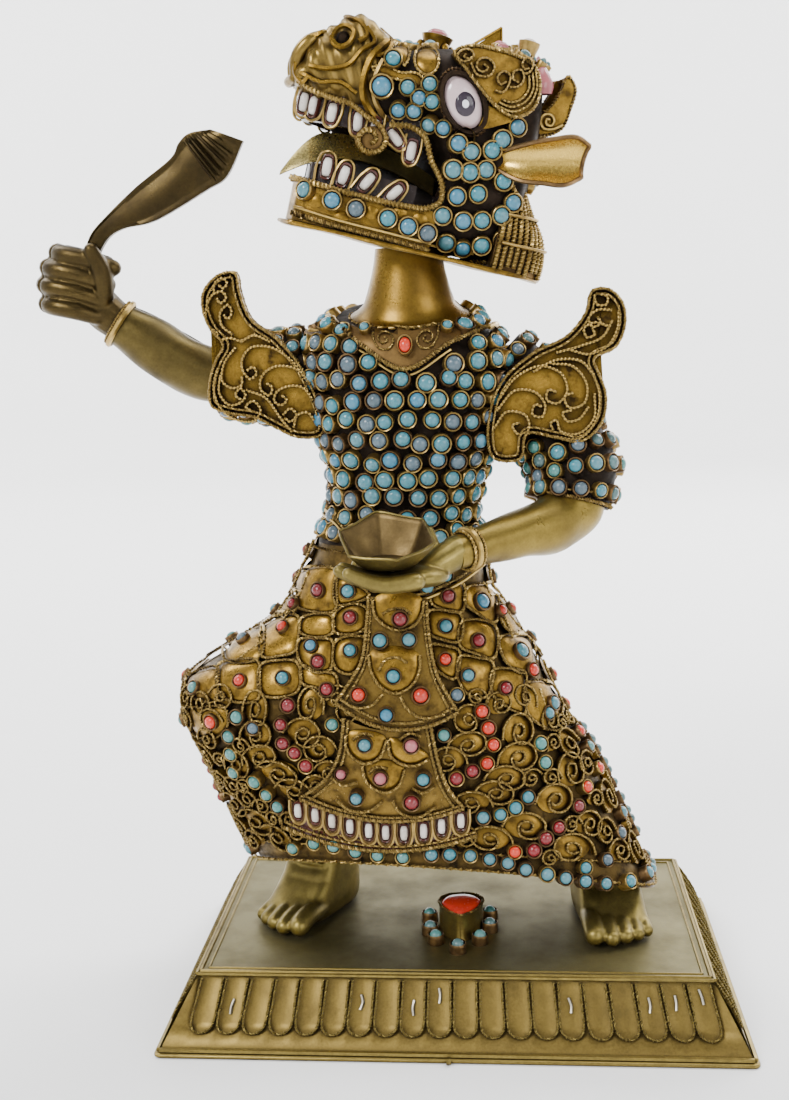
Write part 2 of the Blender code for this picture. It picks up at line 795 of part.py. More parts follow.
def foot_ring(along, half_width, height, toes):
    """One section of a foot, scalloped over the toes; the big toe is the inner one."""
    points = [Vector((half_width, along, 0)), Vector((-half_width, along, 0))]
    for j in range(TOE_POINTS):
        across = -1 + 2 * j / (TOE_POINTS - 1)
        dome = (1 - abs(across) ** FOOT_ROUNDNESS) ** 0.5
        share = between(1.0, 1.0 if j % 2 else TOE_CLEFT, toes)
        reach = toes * TOE_REACH if j % 2 else 0.0
        z = max(FOOT_SOLE, height * between(FOOT_EDGE_SHARE, 1.0, dome) * share)
        points.append(Vector((half_width * across, along - reach, z)))
    return points


def make_feet(skirt_tool):
    for name, (x, y, turn, side, ankle) in FEET.items():
        rings = []
        for along, half_width, height in FOOT_SECTIONS:
            toes = max(0.0, min(1.0, (along - TOES_FROM) / (TOES_FULL - TOES_FROM)))
            ring = foot_ring(-along, half_width, min(height, ankle), toes)
            placed = []
            for point in ring:
                spun = Matrix.Rotation(turn, 3, "Z") @ Vector((point.x * side, point.y, point.z))
                spot = fig(x + spun.x, y + spun.y, spun.z)
                placed.append(spot + Vector((0, 0, GAP)))
            rings.append(placed)
        foot = new_object(name, lofted(rings), "aged_brass")
        use_boolean(foot, skirt_tool)


# Arms

# Each limb's path and its radii
NEAR_SLEEVE = (
    ((-33, 4, 179), (-52, 4.5, 178.5), (-66, 4, 178.3), (-73, 3.5, 178.5)),
    (14.5, 13.6, 12.4, 10.4),
)
FAR_SLEEVE = (
    ((15, 4, 181), (26, 3, 172), (34.5, 0, 158), (39.3, -4.4, 146), (37.5, -6, 138.5)),
    (12.5, 13.0, 13.2, 13.4, 12.4),
)
NEAR_FOREARM = (
    ((-82, 3, 181.8), (-94, 1.5, 189.8), (-104.5, 0, 197.0)),
    (8.6, 8.2, 6.6),
)
FAR_FOREARM = (
    ((33.0, -14.5, 133.8), (20.0, -27.0, 131.4), (2.2, -41.5, 128.6)),
    (8.6, 6.6, 4.8),
)
ELBOW_RADII = (8.3, 10.8)
BRACELET_RADII = (7.1, 5.4)
BRACELET_BACK = 1.8
BRACELET_SIDES = 12
BRACELET_FACETS = 4
SLEEVE_SIDES = 10
FOREARM_SIDES = 10


def scaled_path(path):
    centres, radii = path
    return [fig(*centre) for centre in centres], [size(radius) for radius in radii]


def make_sleeve(name, path, bodice_tool, studded_rows):
    """A short sleeve of set stones, cut to the bodice's side."""
    centres, radii = scaled_path(path)
    bm = bmesh.new()
    _, sides = add_rings(bm, tube_rings(centres, radii, SLEEVE_SIDES))
    first = studded_rows[0] * SLEEVE_SIDES
    last = studded_rows[1] * SLEEVE_SIDES
    raise_faces(bm, sides[first:last], STUD_BORDER, STUD_HEIGHT * SMALL_STUD)
    sleeve = new_object(name, bm, "turquoise_work")
    use_boolean(sleeve, bodice_tool)
    return sleeve


def make_forearm(name, sleeve_path, path, elbow_radius):
    """A plain tube of sheet that starts where its sleeve ends."""
    start, along = path_end(sleeve_path, in_units(GAP))
    centres, radii = scaled_path(path)
    centres = [fig(*start), *centres]
    rings = tube_rings(centres, [size(elbow_radius), *radii], FOREARM_SIDES, start_normal=along)
    return new_object(name, lofted(rings), "aged_brass")


def path_end(path, ahead):
    """The end of a limb's path, moved on along it, and the direction there, in figure units."""
    centres, _ = path
    before, end = Vector(centres[-2]), Vector(centres[-1])
    along = (end - before).normalized()
    return end + along * ahead, along


def make_bracelet(name, path, radius):
    """A wire ring about a wrist."""
    centre, along = path_end(path, -BRACELET_BACK)
    sides, facets = BRACELET_SIDES, BRACELET_FACETS
    ring_radius = size(radius) + GAP + WIRE_RADIUS
    across = along.cross(Vector((0, 1, 0))).normalized()
    beside = across.cross(along).normalized()
    bm = bmesh.new()
    rows = []
    for i in range(sides):
        turn = 2 * pi * i / sides
        out = across * cos(turn) + beside * sin(turn)
        row = []
        for j in range(facets):
            roll = 2 * pi * j / facets
            offset = out * (ring_radius + WIRE_RADIUS * cos(roll)) + along * (WIRE_RADIUS * sin(roll))
            row.append(bm.verts.new(fig(*centre) + offset))
        rows.append(row)
    for i in range(sides):
        for j in range(facets):
            k, n = (i + 1) % sides, (j + 1) % facets
            bm.faces.new((rows[i][j], rows[i][n], rows[k][n], rows[k][j]))
    return new_object(name, bm, "gilt_brass")


# Raised hand and knife

FIST_FOOT = (-114.0, -1.0, 198.5)
FIST_TOP = (-117.5, -2.0, 220.0)
FIST_FINGERS = 4
THUMB_PATH = ((-106.5, -6.5, 206.0), (-106.0, -8.5, 212.5), (-108.0, -9.5, 218.0), (-109.0, -9.0, 220.5))
THUMB_RADII = (3.4, 3.4, 2.8, 1.4)
FIST_SIDES = 10
FIST_RADII = (10.0, 8.0)
FIST_CLEFT = 0.84
FIST_END = 0.62
FIST_INNER = 0.94
FIST_BULGE = 1.2
WRIST_RADII = (6.0, 6.4, 5.0)
WRIST_REACH = (0, 4, 9)


def fist_rings(spread=0.0):
    """A fist as a stack of four curled fingers, deeper grooved on the outer side."""
    foot, top = Vector(FIST_FOOT), Vector(FIST_TOP)
    axis = (top - foot).normalized()
    beside = axis.cross(Vector((1, 0, 0))).normalized()
    across = beside.cross(axis).normalized()
    levels = FIST_FINGERS * 2
    rings = []
    for i in range(levels + 1):
        share = i / levels
        bulge = 1.0 if i % 2 else FIST_CLEFT
        if i in (0, levels):
            bulge = FIST_END
        centre = foot + (top - foot) * share
        ring = []
        for j in range(FIST_SIDES):
            angle = 2 * pi * j / FIST_SIDES
            outer = 0.5 - 0.5 * cos(angle)
            scale = between(FIST_INNER, bulge, outer) if 0 < i < levels else bulge
            x = (FIST_RADII[0] + FIST_BULGE * sin(pi * share) + spread) * cos(angle) * scale
            y = (FIST_RADII[1] + spread) * sin(angle) * scale
            point = centre + across * x + beside * y
            ring.append(fig(*point))
        rings.append(ring)
    return rings


def make_fist():
    """The raised hand: curled fingers, thumb and the wrist that meets the forearm."""
    fist = new_object("hand_near", lofted(fist_rings()), "aged_brass")
    start, along = path_end(NEAR_FOREARM, in_units(GAP))
    centres = [fig(*(start + along * reach)) for reach in WRIST_REACH]
    radii = [size(radius) for radius in WRIST_RADII]
    wrist = make_cutter("tool_wrist", lofted(tube_rings(centres, radii, 8, start_normal=along)))
    use_boolean(fist, wrist, "UNION")
    use_boolean(fist, make_cutter("tool_thumb", lofted(thumb_rings())), "UNION")
    return fist


def thumb_rings(spread=0.0):
    centres = [fig(*point) for point in THUMB_PATH]
    return tube_rings(centres, [size(radius + spread) for radius in THUMB_RADII], 8)


KNIFE_OUTLINE = (
    (-111.8, 217.5), (-109.2, 223.5), (-104.3, 228.6), (-94.3, 237.1), (-83.0, 245.1), (-80.1, 249.5),
    (-76.6, 252.3), (-66.2, 252.9), (-60.1, 249.5), (-65.5, 239.5), (-72.1, 235.5), (-83.9, 229.1),
    (-90.8, 226.3), (-98.4, 225.0), (-103.5, 222.5), (-107.0, 217.5),
)
KNIFE_BACK = -5.0
KNIFE_LEAN = -0.06
KNIFE_HEM = 2.2
KNIFE_HOLLOW = 0.35


def make_knife():
    """A flared sheet blade, gripped in the raised hand and turned a little forward at its end."""
    def face_at(x, z, offset):
        lean = (x - KNIFE_OUTLINE[0][0]) * KNIFE_LEAN
        return fig(x, KNIFE_BACK + lean, z) + Vector((0, offset, 0))

    bm = prism(KNIFE_OUTLINE, lambda x, z: face_at(x, z, 0), lambda x, z: face_at(x, z, -PLATE))
    faces = [face for face in bm.faces if len(face.verts) == len(KNIFE_OUTLINE)]
    front = min(faces, key=lambda face: face.calc_center_median().y)
    raise_faces(bm, [front], size(KNIFE_HEM), -PLATE * KNIFE_HOLLOW)
    knife = new_object("knife", bm, "aged_brass")
    clearance = 2 * in_units(GAP)
    use_boolean(knife, make_cutter("tool_fist", lofted(fist_rings(spread=clearance))))
    use_boolean(knife, make_cutter("tool_fist_thumb", lofted(thumb_rings(spread=clearance))))
    return knife


# Lowered hand and cup

CUP_CENTRE = (-16.4, -50.0)
CUP_FOOT = 126.4
CUP_RIM = 134.6
CUP_RIM_RADII = (12.6, 10.6)
CUP_FOOT_RADII = (6.4, 5.6)
CUP_LEAN = 0.22
CUP_CORNERS = 6
CUP_FLARE = 0.7
CUP_FLAT = 0.93
PALM_TOP = 126.0


def make_cup():
    """A six-cornered beaten bowl, open above, leaning to the front."""
    def ring(share, inset):
        flare = share ** CUP_FLARE
        radii = [between(low, high, flare) - inset for low, high in zip(CUP_FOOT_RADII, CUP_RIM_RADII)]
        points = []
        for j in range(2 * CUP_CORNERS):
            angle = pi * (j + 0.5) / CUP_CORNERS
            pull = 1.0 if j % 2 else CUP_FLAT
            x, y = radii[0] * pull * cos(angle), radii[1] * pull * sin(angle)
            z = between(CUP_FOOT, CUP_RIM, share) + CUP_LEAN * y * share
            points.append(fig(CUP_CENTRE[0] + x, CUP_CENTRE[1] + y, z))
        return points

    wall = in_units(SHEET)
    floor = wall / (CUP_RIM - CUP_FOOT)
    outside = [ring(share, 0) for share in (0, 0.5, 1)]
    inside = [ring(share, wall) for share in (1, 0.5, floor)]
    return new_object("cup", lofted(outside + inside), "aged_brass")


PALM_SECTIONS = (
    (-1.6, -44.6, 125.6, 4.2, 4.6),
    (-4.0, -46.2, 124.6, 3.6, 7.0),
    (-9.0, -48.5, 123.7, 3.0, 9.2),
    (-17.0, -50.5, 123.5, 2.5, 9.4),
    (-22.0, -51.2, 124.2, 2.3, 8.8),
    (-27.0, -51.8, 125.4, 1.9, 8.0),
    (-29.2, -52.0, 126.2, 1.2, 7.2),
)
PALM_POINTS = 9
PALM_EDGE_SHARE = 0.25
PALM_ROUNDNESS = 3
FINGERS_FROM = -12
FINGERS_FULL = -20
FINGER_CLEFT = 0.72
FAR_WRIST_RADII = (4.7, 4.4)
FAR_WRIST_REACH = 4.5
FAR_THUMB_PATH = ((-4.2, -42.0, 126.5), (-4.6, -39.4, 130.5), (-5.2, -38.8, 134.0))
FAR_THUMB_RADII = (2.6, 2.2, 1.2)


def make_open_hand():
    """The lowered hand lies open under the cup, its four fingers side by side."""
    rings = []
    for x, y, z, half_height, half_width in PALM_SECTIONS:
        fingers = max(0.0, min(1.0, (FINGERS_FROM - x) / (FINGERS_FROM - FINGERS_FULL)))
        ring = []
        for side in (-1, 1):
            order = range(PALM_POINTS) if side < 0 else reversed(range(PALM_POINTS))
            for j in order:
                across = -1 + 2 * j / (PALM_POINTS - 1)
                dome = max(PALM_EDGE_SHARE, (1 - abs(across) ** PALM_ROUNDNESS) ** 0.5)
                groove = between(1.0, 1.0 if j % 2 else FINGER_CLEFT, fingers)
                height = z + side * half_height * dome * groove
                height = min(height, PALM_TOP)
                ring.append(fig(x, y + half_width * across, height))
        rings.append(ring)
    hand = new_object("hand_far", lofted(rings), "aged_brass")
    start, along = path_end(FAR_FOREARM, in_units(GAP))
    centres = [fig(*start), fig(*(start + along * FAR_WRIST_REACH))]
    radii = [size(radius) for radius in FAR_WRIST_RADII]
    wrist = make_cutter("tool_far_wrist", lofted(tube_rings(centres, radii, 8, start_normal=along)))
    use_boolean(hand, wrist, "UNION")
    centres = [fig(*point) for point in FAR_THUMB_PATH]
    radii = [size(radius) for radius in FAR_THUMB_RADII]
    thumb = make_cutter("tool_far_thumb", lofted(tube_rings(centres, radii, 6)))
    use_boolean(hand, thumb, "UNION")
    return hand


# Shoulder flames

NEAR_FLAME = {
    "outline": (
        (-64.0, 210.6), (-62.9, 205.4), (-59.9, 197.0), (-51.5, 190.2), (-44.6, 181.6), (-40.8, 173.7),
        (-38.8, 161.0), (-46.6, 160.5), (-53.0, 163.5), (-59.2, 166.7), (-67.2, 168.2), (-72.5, 170.3),
        (-72.8, 178.3), (-70.5, 184.7), (-68.3, 188.7), (-72.1, 194.0), (-74.2, 199.9), (-74.0, 204.4),
        (-71.4, 208.2), (-68.0, 210.4),
    ),
    "cells": ((14, 3), (9, 4)),
    "front": (-11.6, 0.02),
}
FAR_FLAME = {
    "outline": (
        (44.2, 202.5), (42.4, 196.6), (37.2, 189.8), (25.8, 183.9), (17.0, 176.2), (13.4, 168.3),
        (15.0, 152.7), (22.1, 153.0), (23.9, 160.2), (32.8, 159.1), (39.8, 157.7), (46.0, 162.5),
        (47.7, 172.1), (45.5, 178.3), (44.2, 181.8), (51.1, 186.0), (53.7, 192.9), (52.8, 198.9),
        (48.5, 202.8),
    ),
    "cells": ((14, 2), (8, 4)),
    "front": (-14.6, 0.13),
}
FLAME_PIVOT = 170.0
FLAME_RIM = 2.0
FLAME_HOLLOW = 0.4


def make_flame(name, flame, tools):
    """A shoulder ornament: a scrolled leaf that ends in a curled tip, hollowed inside its wires."""
    front, lean = flame["front"]

    def place(x, z, offset):
        return fig(x, front + lean * (z - FLAME_PIVOT), z) + Vector((0, offset, 0))

    outline = flame["outline"]
    bm = prism(outline, lambda x, z: place(x, z, PLATE), lambda x, z: place(x, z, 0))
    faces = [face for face in bm.faces if len(face.verts) == len(outline)]
    face = min(faces, key=lambda item: item.calc_center_median().y)
    corners = sorted(face.verts, key=lambda vert: vert.index)
    bm.verts.index_update()
    by_place = {vert: nearest_index(vert, outline) for vert in corners}
    at = {index: vert for vert, index in by_place.items()}
    cells = [face]
    for first, second in flame["cells"]:
        for cell in list(cells):
            if at[first] in cell.verts and at[second] in cell.verts:
                new_cell, _ = bmesh.utils.face_split(cell, at[first], at[second])
                cells.append(new_cell)
                break
    raise_faces(bm, cells, size(FLAME_RIM), -PLATE * FLAME_HOLLOW)
    obj = new_object(name, bm, "gilt_brass")
    for tool in tools:
        use_boolean(obj, tool)
    return obj


def nearest_index(vert, outline):
    x = vert.co.x / UNIT
    z = (vert.co.z - PLINTH_TOP_Z) / UNIT
    distances = [(x - px) ** 2 + (z - pz) ** 2 for px, pz in outline]
    return distances.index(min(distances))


def sleeve_cutter(name, path, clearance):
    centres, radii = scaled_path(path)
    grown = [radius + clearance for radius in radii]
    return make_cutter(name, lofted(tube_rings(centres, grown, SLEEVE_SIDES)))


def bodice_cutter(name, clearance):
    grow = in_units(clearance)
    bm = bmesh.new()
    rings = bodice_rings(BODICE_ROWS, BODICE_COLUMNS, spread=grow, lift=grow, drop=grow)
    rows, cells = add_lattice(bm, rings)
    bm.faces.new(rows[0])
    bm.faces.new(rows[-1])
    crease_across(cells)
    return make_cutter(name, bm)


# Head, in its own frame: X to the snout, Y to the near side, Z up

HEAD_POWER = 3.0
HEAD_SIDES = 14
SKULL_SECTIONS = (
    (-31.5, 12.0, 44.0, 8.0),
    (-29.5, 6.0, 54.0, 13.5),
    (-24.0, 1.6, 61.5, 17.5),
    (-16.0, 1.6, 64.0, 19.2),
    (-10.0, 1.6, 63.0, 19.8),
    (MOUTH_BACK, 1.6, 61.0, 20.0),
)
MUZZLE_SECTIONS = (
    (MOUTH_BACK, 25.0, 61.0, 19.6),
    (2.0, 32.0, 60.0, 18.6),
    (8.0, 34.5, 58.4, 17.0),
    (14.0, 34.0, 57.0, 15.6),
    (MUZZLE_FRONT, 33.0, 58.5, 14.6),
)
NOSE_SECTIONS = (
    (MUZZLE_FRONT, 33.2, 60.0, 14.4),
    (26.0, 34.4, 61.8, 14.2),
    (31.5, 35.6, 61.6, 13.8),
    (37.0, 36.8, 57.6, 13.0),
    (42.0, 38.0, 52.4, 11.0),
    (45.0, 39.6, 47.5, 7.0),
)


def head_point(u, w, v):
    return Vector((size(u), size(w), size(v)))


def head_ring(u, low, high, half_width, spread=0.0, power=HEAD_POWER):
    middle, half_height = (low + high) / 2, (high - low) / 2
    ring = []
    for j in range(HEAD_SIDES):
        angle = 2 * pi * (j + 0.5) / HEAD_SIDES
        w, v = oval_point(angle, half_width + spread, half_height + spread, power)
        ring.append(head_point(u, w, middle + v))
    return ring


def head_rings(sections, spread=0.0, ahead=0.0, behind=0.0):
    """Rings of one part of the head; ahead and behind move its end faces outwards."""
    rings = []
    last = len(sections) - 1
    for i, (u, low, high, half_width) in enumerate(sections):
        shift = -behind if i == 0 else ahead if i == last else 0.0
        rings.append(head_ring(u + shift, low, high, half_width, spread))
    return rings


def make_head_part(name, sections, material, parent, stud_test, behind=0.0):
    bm = bmesh.new()
    _, sides = add_rings(bm, head_rings(sections, behind=behind))
    chosen = [face for face in sides if stud_test(face.calc_center_median() / UNIT)]
    raise_faces(bm, chosen, STUD_BORDER, STUD_HEIGHT * SMALL_STUD)
    return new_object(name, bm, material, parent)


def head_cutter(name, sections, clearance, parent):
    grow = in_units(clearance)
    return make_cutter(name, lofted(head_rings(sections, spread=grow, ahead=grow, behind=grow)), parent)


CHIN_OUTLINE = (
    (-41.0, 0.0), (-40.0, 9.0), (-34.0, 16.0), (-24.0, 19.6), (-4.0, 20.2), (14.0, 18.4), (28.0, 15.6),
    (36.6, 12.4), (38.6, 8.0), (37.6, 0.0),
)


def mirrored(outline):
    """The other half of an outline that starts and ends on the middle line."""
    return list(outline) + [(u, -w) for u, w in reversed(outline[1:-1])]


def make_chin_plate(parent):
    """The flat plate that closes the head below, standing out all round."""
    bm = prism(
        mirrored(CHIN_OUTLINE),
        lambda u, w: head_point(u, w, 0),
        lambda u, w: head_point(u, w, CHIN_PLATE_TOP),
    )
    return new_object("chin_plate", bm, "gilt_brass", parent)


JAW_OUTLINE = (
    (0.0, 19.2), (6.0, 18.4), (13.0, 17.2), (20.0, 16.0), (27.0, 14.8), (33.0, 12.8), (36.6, 9.0),
    (38.0, 3.4),
)
JAW_BACK_HALF_WIDTH = 19.6
JAW_LOW = 1.6
JAW_HIGH = 13.0
JAW_FLOOR = 4.0
JAW_RIM = 3.4
JAW_EDGE = 1.2
JAW_EDGE_INSET = 0.03
JAW_EDGE_PULL = 0.3


def make_jaw(parent):
    """The lower jaw: a band of set stones about a sunk mouth floor."""
    seam = in_units(GAP)
    back = MOUTH_BACK + seam
    front = JAW_OUTLINE[-1][0]
    half = [(back, JAW_BACK_HALF_WIDTH), *JAW_OUTLINE]
    outline = half + [(u, -w) for u, w in reversed(half)]
    bands = ((JAW_LOW, 1), (JAW_LOW + JAW_EDGE, 0), (JAW_HIGH - JAW_EDGE, 0), (JAW_HIGH, 1))
    rings = []
    for v, drawn_in in bands:
        ring = []
        for u, w in outline:
            pull = drawn_in * JAW_EDGE_PULL * max(0.0, u / front)
            ring.append(head_point(u - pull, w * (1 - drawn_in * JAW_EDGE_INSET), v))
        rings.append(ring)
    bm = bmesh.new()
    rows, sides = add_rings(bm, rings)
    lid = max(bm.faces, key=lambda face: face.calc_center_median().z)
    count = len(outline)
    band = [face for face in sides[count:2 * count] if face.calc_center_median().x > size(back + seam)]
    raise_faces(bm, band, STUD_BORDER, STUD_HEIGHT * SMALL_STUD)
    raise_faces(bm, [lid], size(JAW_RIM), -size(JAW_FLOOR))
    return new_object("lower_jaw", bm, "turquoise_work", parent)


TONGUE_SECTIONS = (
    (MOUTH_BACK + 0.6, 20.5, 3.0),
    (10.0, 24.6, 3.4),
    (22.0, 25.6, 3.8),
    (29.0, 24.6, 4.8),
    (35.0, 22.2, 4.8),
    (39.6, 17.8, 2.8),
    (42.0, 14.6, 0.7),
)
TONGUE_TWIST = radians(58)
TONGUE_OFFSET = 2.0
TONGUE_CURL = 0.16


def make_tongue(parent):
    """A plain leaf of sheet that hangs out between the teeth."""
    half_sheet = in_units(PLATE) / 2
    rings = []
    for u, v, half_width in TONGUE_SECTIONS:
        curl = TONGUE_CURL * half_width
        flat_ring = (
            (half_width, curl),
            (0, half_sheet),
            (-half_width, curl),
            (-half_width, curl - half_sheet),
            (0, -half_sheet),
            (half_width, curl - half_sheet),
        )
        ring = []
        for across, up in flat_ring:
            w = across * cos(TONGUE_TWIST) + up * sin(TONGUE_TWIST)
            lift = -across * sin(TONGUE_TWIST) + up * cos(TONGUE_TWIST)
            ring.append(head_point(u, w + TONGUE_OFFSET, v + lift))
        rings.append(ring)
    return new_object("tongue", lofted(rings), "gilt_brass", parent)


def tooth_band(path, low, high, proud):
    """A strip that stands along a path in the head, each of its outer cells a raised tooth."""
    rings = []
    for i, (u, w) in enumerate(path):
        before = path[max(i - 1, 0)]
        after = path[min(i + 1, len(path) - 1)]
        along = Vector((after[0] - before[0], after[1] - before[1], 0)).normalized()
        inward = Vector((-along.y, along.x, 0))
        outer = Vector((u, w, 0))
        inner = outer + inward * TOOTH_THICKNESS
        corners = ((outer, low), (outer, high), (inner, high), (inner, low))
        rings.append([head_point(spot.x, spot.y, v) for spot, v in corners])
    bm = bmesh.new()
    _, sides = add_rings(bm, rings)
    outer_faces = sides[0::4]
    raise_faces(bm, outer_faces, size(TOOTH_BORDER), size(proud))
    return bm


UPPER_TOOTH_PATH = (
    (5.0, 14.2), (11.0, 13.2), (17.0, 12.3), (23.0, 11.7), (29.0, 10.8), (34.5, 8.6), (38.0, 4.0),
)
UPPER_TOOTH_HANG = 3.2
UPPER_TOOTH_ROOT = 7.8
LOWER_TOOTH_PATH = ((5.0, 15.9), (11.5, 14.8), (18.0, 13.7), (24.5, 12.6), (30.0, 11.0))
LOWER_TOOTH_TOP = 19.4
TOOTH_THICKNESS = 2.2
TOOTH_BORDER = 0.5
UPPER_TOOTH_PROUD = 0.8
LOWER_TOOTH_PROUD = 0.6


def make_upper_teeth(parent, tools):
    """One row of pale teeth from cheek to cheek, rooted in the muzzle and hanging below its lip."""
    path = list(UPPER_TOOTH_PATH) + [(u, -w) for u, w in reversed(UPPER_TOOTH_PATH)]
    path.reverse()
    lip = NOSE_SECTIONS[0][1]
    bm = tooth_band(path, lip - UPPER_TOOTH_HANG, lip + UPPER_TOOTH_ROOT, UPPER_TOOTH_PROUD)
    teeth = new_object("upper_teeth", bm, "bone_white", parent)
    for tool in tools:
        use_boolean(teeth, tool)


def make_lower_teeth(parent):
    low = JAW_HIGH + in_units(GAP)
    for name, side in (("lower_teeth_near", 1), ("lower_teeth_far", -1)):
        path = [(u, side * w) for u, w in LOWER_TOOTH_PATH]
        if side > 0:
            path.reverse()
        bm = tooth_band(path, low, LOWER_TOOTH_TOP, LOWER_TOOTH_PROUD)
        new_object(name, bm, "bone_white", parent)


BROW_OUTLINE = (
    (1.7, 57.4), (-2.3, 60.0), (-9.0, 60.6), (-16.0, 60.4), (-22.0, 58.6), (-24.8, 53.6), (-24.0, 47.4),
    (-20.0, 44.0), (-14.0, 45.2), (-8.4, 49.0), (-3.0, 53.2),
)
BROW_REACH = (13.0, 22.0)
BROW_FOOT = 44.0
BROW_LEAN = 0.06
BROW_RIM = 1.6
BROW_HOLLOW = 0.5
EYE_CENTRE = (-4.2, 44.6)
EYE_RADII = (6.4, 7.0)
EYE_STEPS = ((14.0, 1.0), (19.6, 1.0), (20.6, 0.8), (21.2, 0.45))
EYE_SLANT = 0.35


def side_name(side):
    return "near" if side > 0 else "far"


def make_brows(parent, tools):
    """A filigree leaf over each eye, seated on the head."""
    for side in (1, -1):
        low, high = BROW_REACH
        bm = prism(
            BROW_OUTLINE,
            lambda u, v: head_point(u, side * low, v),
            lambda u, v: head_point(u, side * (high - BROW_LEAN * (v - BROW_FOOT)), v),
        )
        lid = max(bm.faces, key=lambda face: side * face.calc_center_median().y)
        raise_faces(bm, [lid], size(BROW_RIM), -PLATE * BROW_HOLLOW)
        brow = new_object(f"brow_{side_name(side)}", bm, "gilt_brass", parent)
        for tool in tools:
            use_boolean(brow, tool)


def make_eyes(parent, tools):
    """A slanting oval eye on each side, domed."""
    sides = 12
    for side in (1, -1):
        rings = []
        for reach, share in EYE_STEPS:
            ring = []
            for j in range(sides):
                angle = 2 * pi * j / sides
                du, dv = EYE_RADII[0] * share * cos(angle), EYE_RADII[1] * share * sin(angle)
                u = EYE_CENTRE[0] + du + EYE_SLANT * dv
                ring.append(head_point(u, side * reach, EYE_CENTRE[1] + dv))
            rings.append(ring)
        eye = new_object(f"eye_{side_name(side)}", lofted(rings), "eye_enamel", parent)
        for tool in tools:
            use_boolean(eye, tool)


EAR_SECTIONS = (
    (-19.0, 31.6, 17.0, 2.6, 0.8),
    (-24.0, 32.2, 21.0, 5.0, 1.6),
    (-31.0, 34.0, 23.6, 6.2, 2.0),
    (-38.0, 35.6, 25.4, 6.4, 1.6),
    (-41.6, 36.4, 26.0, 4.4, 0.8),
)


def make_ears(parent, tools):
    """A leaf-shaped trough of sheet that stands out behind each cheek."""
    thickness = in_units(PLATE)
    for side in (1, -1):
        rings = []
        for u, v, w, half_height, depth in EAR_SECTIONS:
            front = [
                (v + half_height, w + depth),
                (v + half_height * 0.5, w + depth * 0.2),
                (v - half_height * 0.4, w),
                (v - half_height, w + depth * 0.7),
            ]
            back = [(height, reach - thickness) for height, reach in reversed(front)]
            rings.append([head_point(u, side * reach, height) for height, reach in front + back])
        ear = new_object(f"ear_{side_name(side)}", lofted(rings), "gilt_brass", parent)
        for tool in tools:
            use_boolean(ear, tool)


# Front, back and half width of the horn's foot and tip
HORN_FOOT = (-4.6, -16.6, 3.4)
HORN_TIP = (-14.4, -15.4, 0.5)
HORN_LEVELS = (58.0, 63.5, 72.6)


def horn_ring(outline, height):
    front, back, half_width = outline
    corners = ((front, half_width), (back, half_width), (back, -half_width), (front, -half_width))
    return [head_point(u, w, height) for u, w in corners]


def make_horn(parent, tools):
    """The plain three-cornered spike behind the brows."""
    outlines = (HORN_FOOT, HORN_FOOT, HORN_TIP)
    rings = [horn_ring(outline, height) for outline, height in zip(outlines, HORN_LEVELS)]
    horn = new_object("horn", lofted(rings), "gilt_brass", parent)
    for tool in tools:
        use_boolean(horn, tool)


# Centre, radii and finish of each stone
CROWN_STONES = {
    "forehead_jewel": ((5.0, 0.0, 55.5), (5.0, 5.0, 9.4), "pink_stone"),
    "crown_bezel_near": ((-21.5, 6.0, 61.0), (3.4, 3.4, 6.0), "turquoise_work"),
    "crown_bezel_far": ((-21.5, -6.0, 61.0), (3.4, 3.4, 6.0), "turquoise_work"),
    "back_jewel": ((-28.4, 0.0, 57.8), (3.7, 4.6, 6.2), "pink_stone"),
}
STONE_POLE = 0.35


def make_crown_stones(parent, tools):
    """Domed stones set along the middle of the head."""
    axes = (Vector((1, 0, 0)), Vector((0, 1, 0)), Vector((0, 0, 1)))
    for name, (centre, radii, material) in CROWN_STONES.items():
        reach = [size(radius) for radius in radii]
        rings = ball_rings(head_point(*centre), reach, axes, turns=4, sides=8, start=STONE_POLE)
        stone = new_object(name, lofted(rings), material, parent)
        for tool in tools:
            use_boolean(stone, tool)


BACK_LEAF_OUTLINE = (
    (-24.0, 41.0), (-30.0, 42.0), (-36.4, 45.4), (-38.0, 52.0), (-37.4, 59.0), (-35.0, 61.0),
    (-33.6, 56.0), (-31.0, 50.0), (-24.0, 46.0),
)
BACK_LEAF_HALF_WIDTH = 8.0


def make_back_leaf(parent, tools):
    """The cupped leaf at the back of the head, behind the pink stone."""
    bm = prism(
        BACK_LEAF_OUTLINE,
        lambda u, v: head_point(u, -BACK_LEAF_HALF_WIDTH, v),
        lambda u, v: head_point(u, BACK_LEAF_HALF_WIDTH, v),
    )
    leaf = new_object("back_leaf", bm, "gilt_brass", parent)
    for tool in tools:
        use_boolean(leaf, tool)


MANE_SECTIONS = (
    (1.8, -40.0, 15.0),
    (7.0, -40.0, 15.4),
    (13.0, -38.0, 15.4),
    (19.0, -33.6, 14.6),
    (24.5, -29.8, 12.6),
)
MANE_FRONT = -20.0
MANE_FRONT_SHARE = 0.8
MANE_COLUMNS = 9
MANE_BEND = 3.0
MANE_NOTCH = 0.8


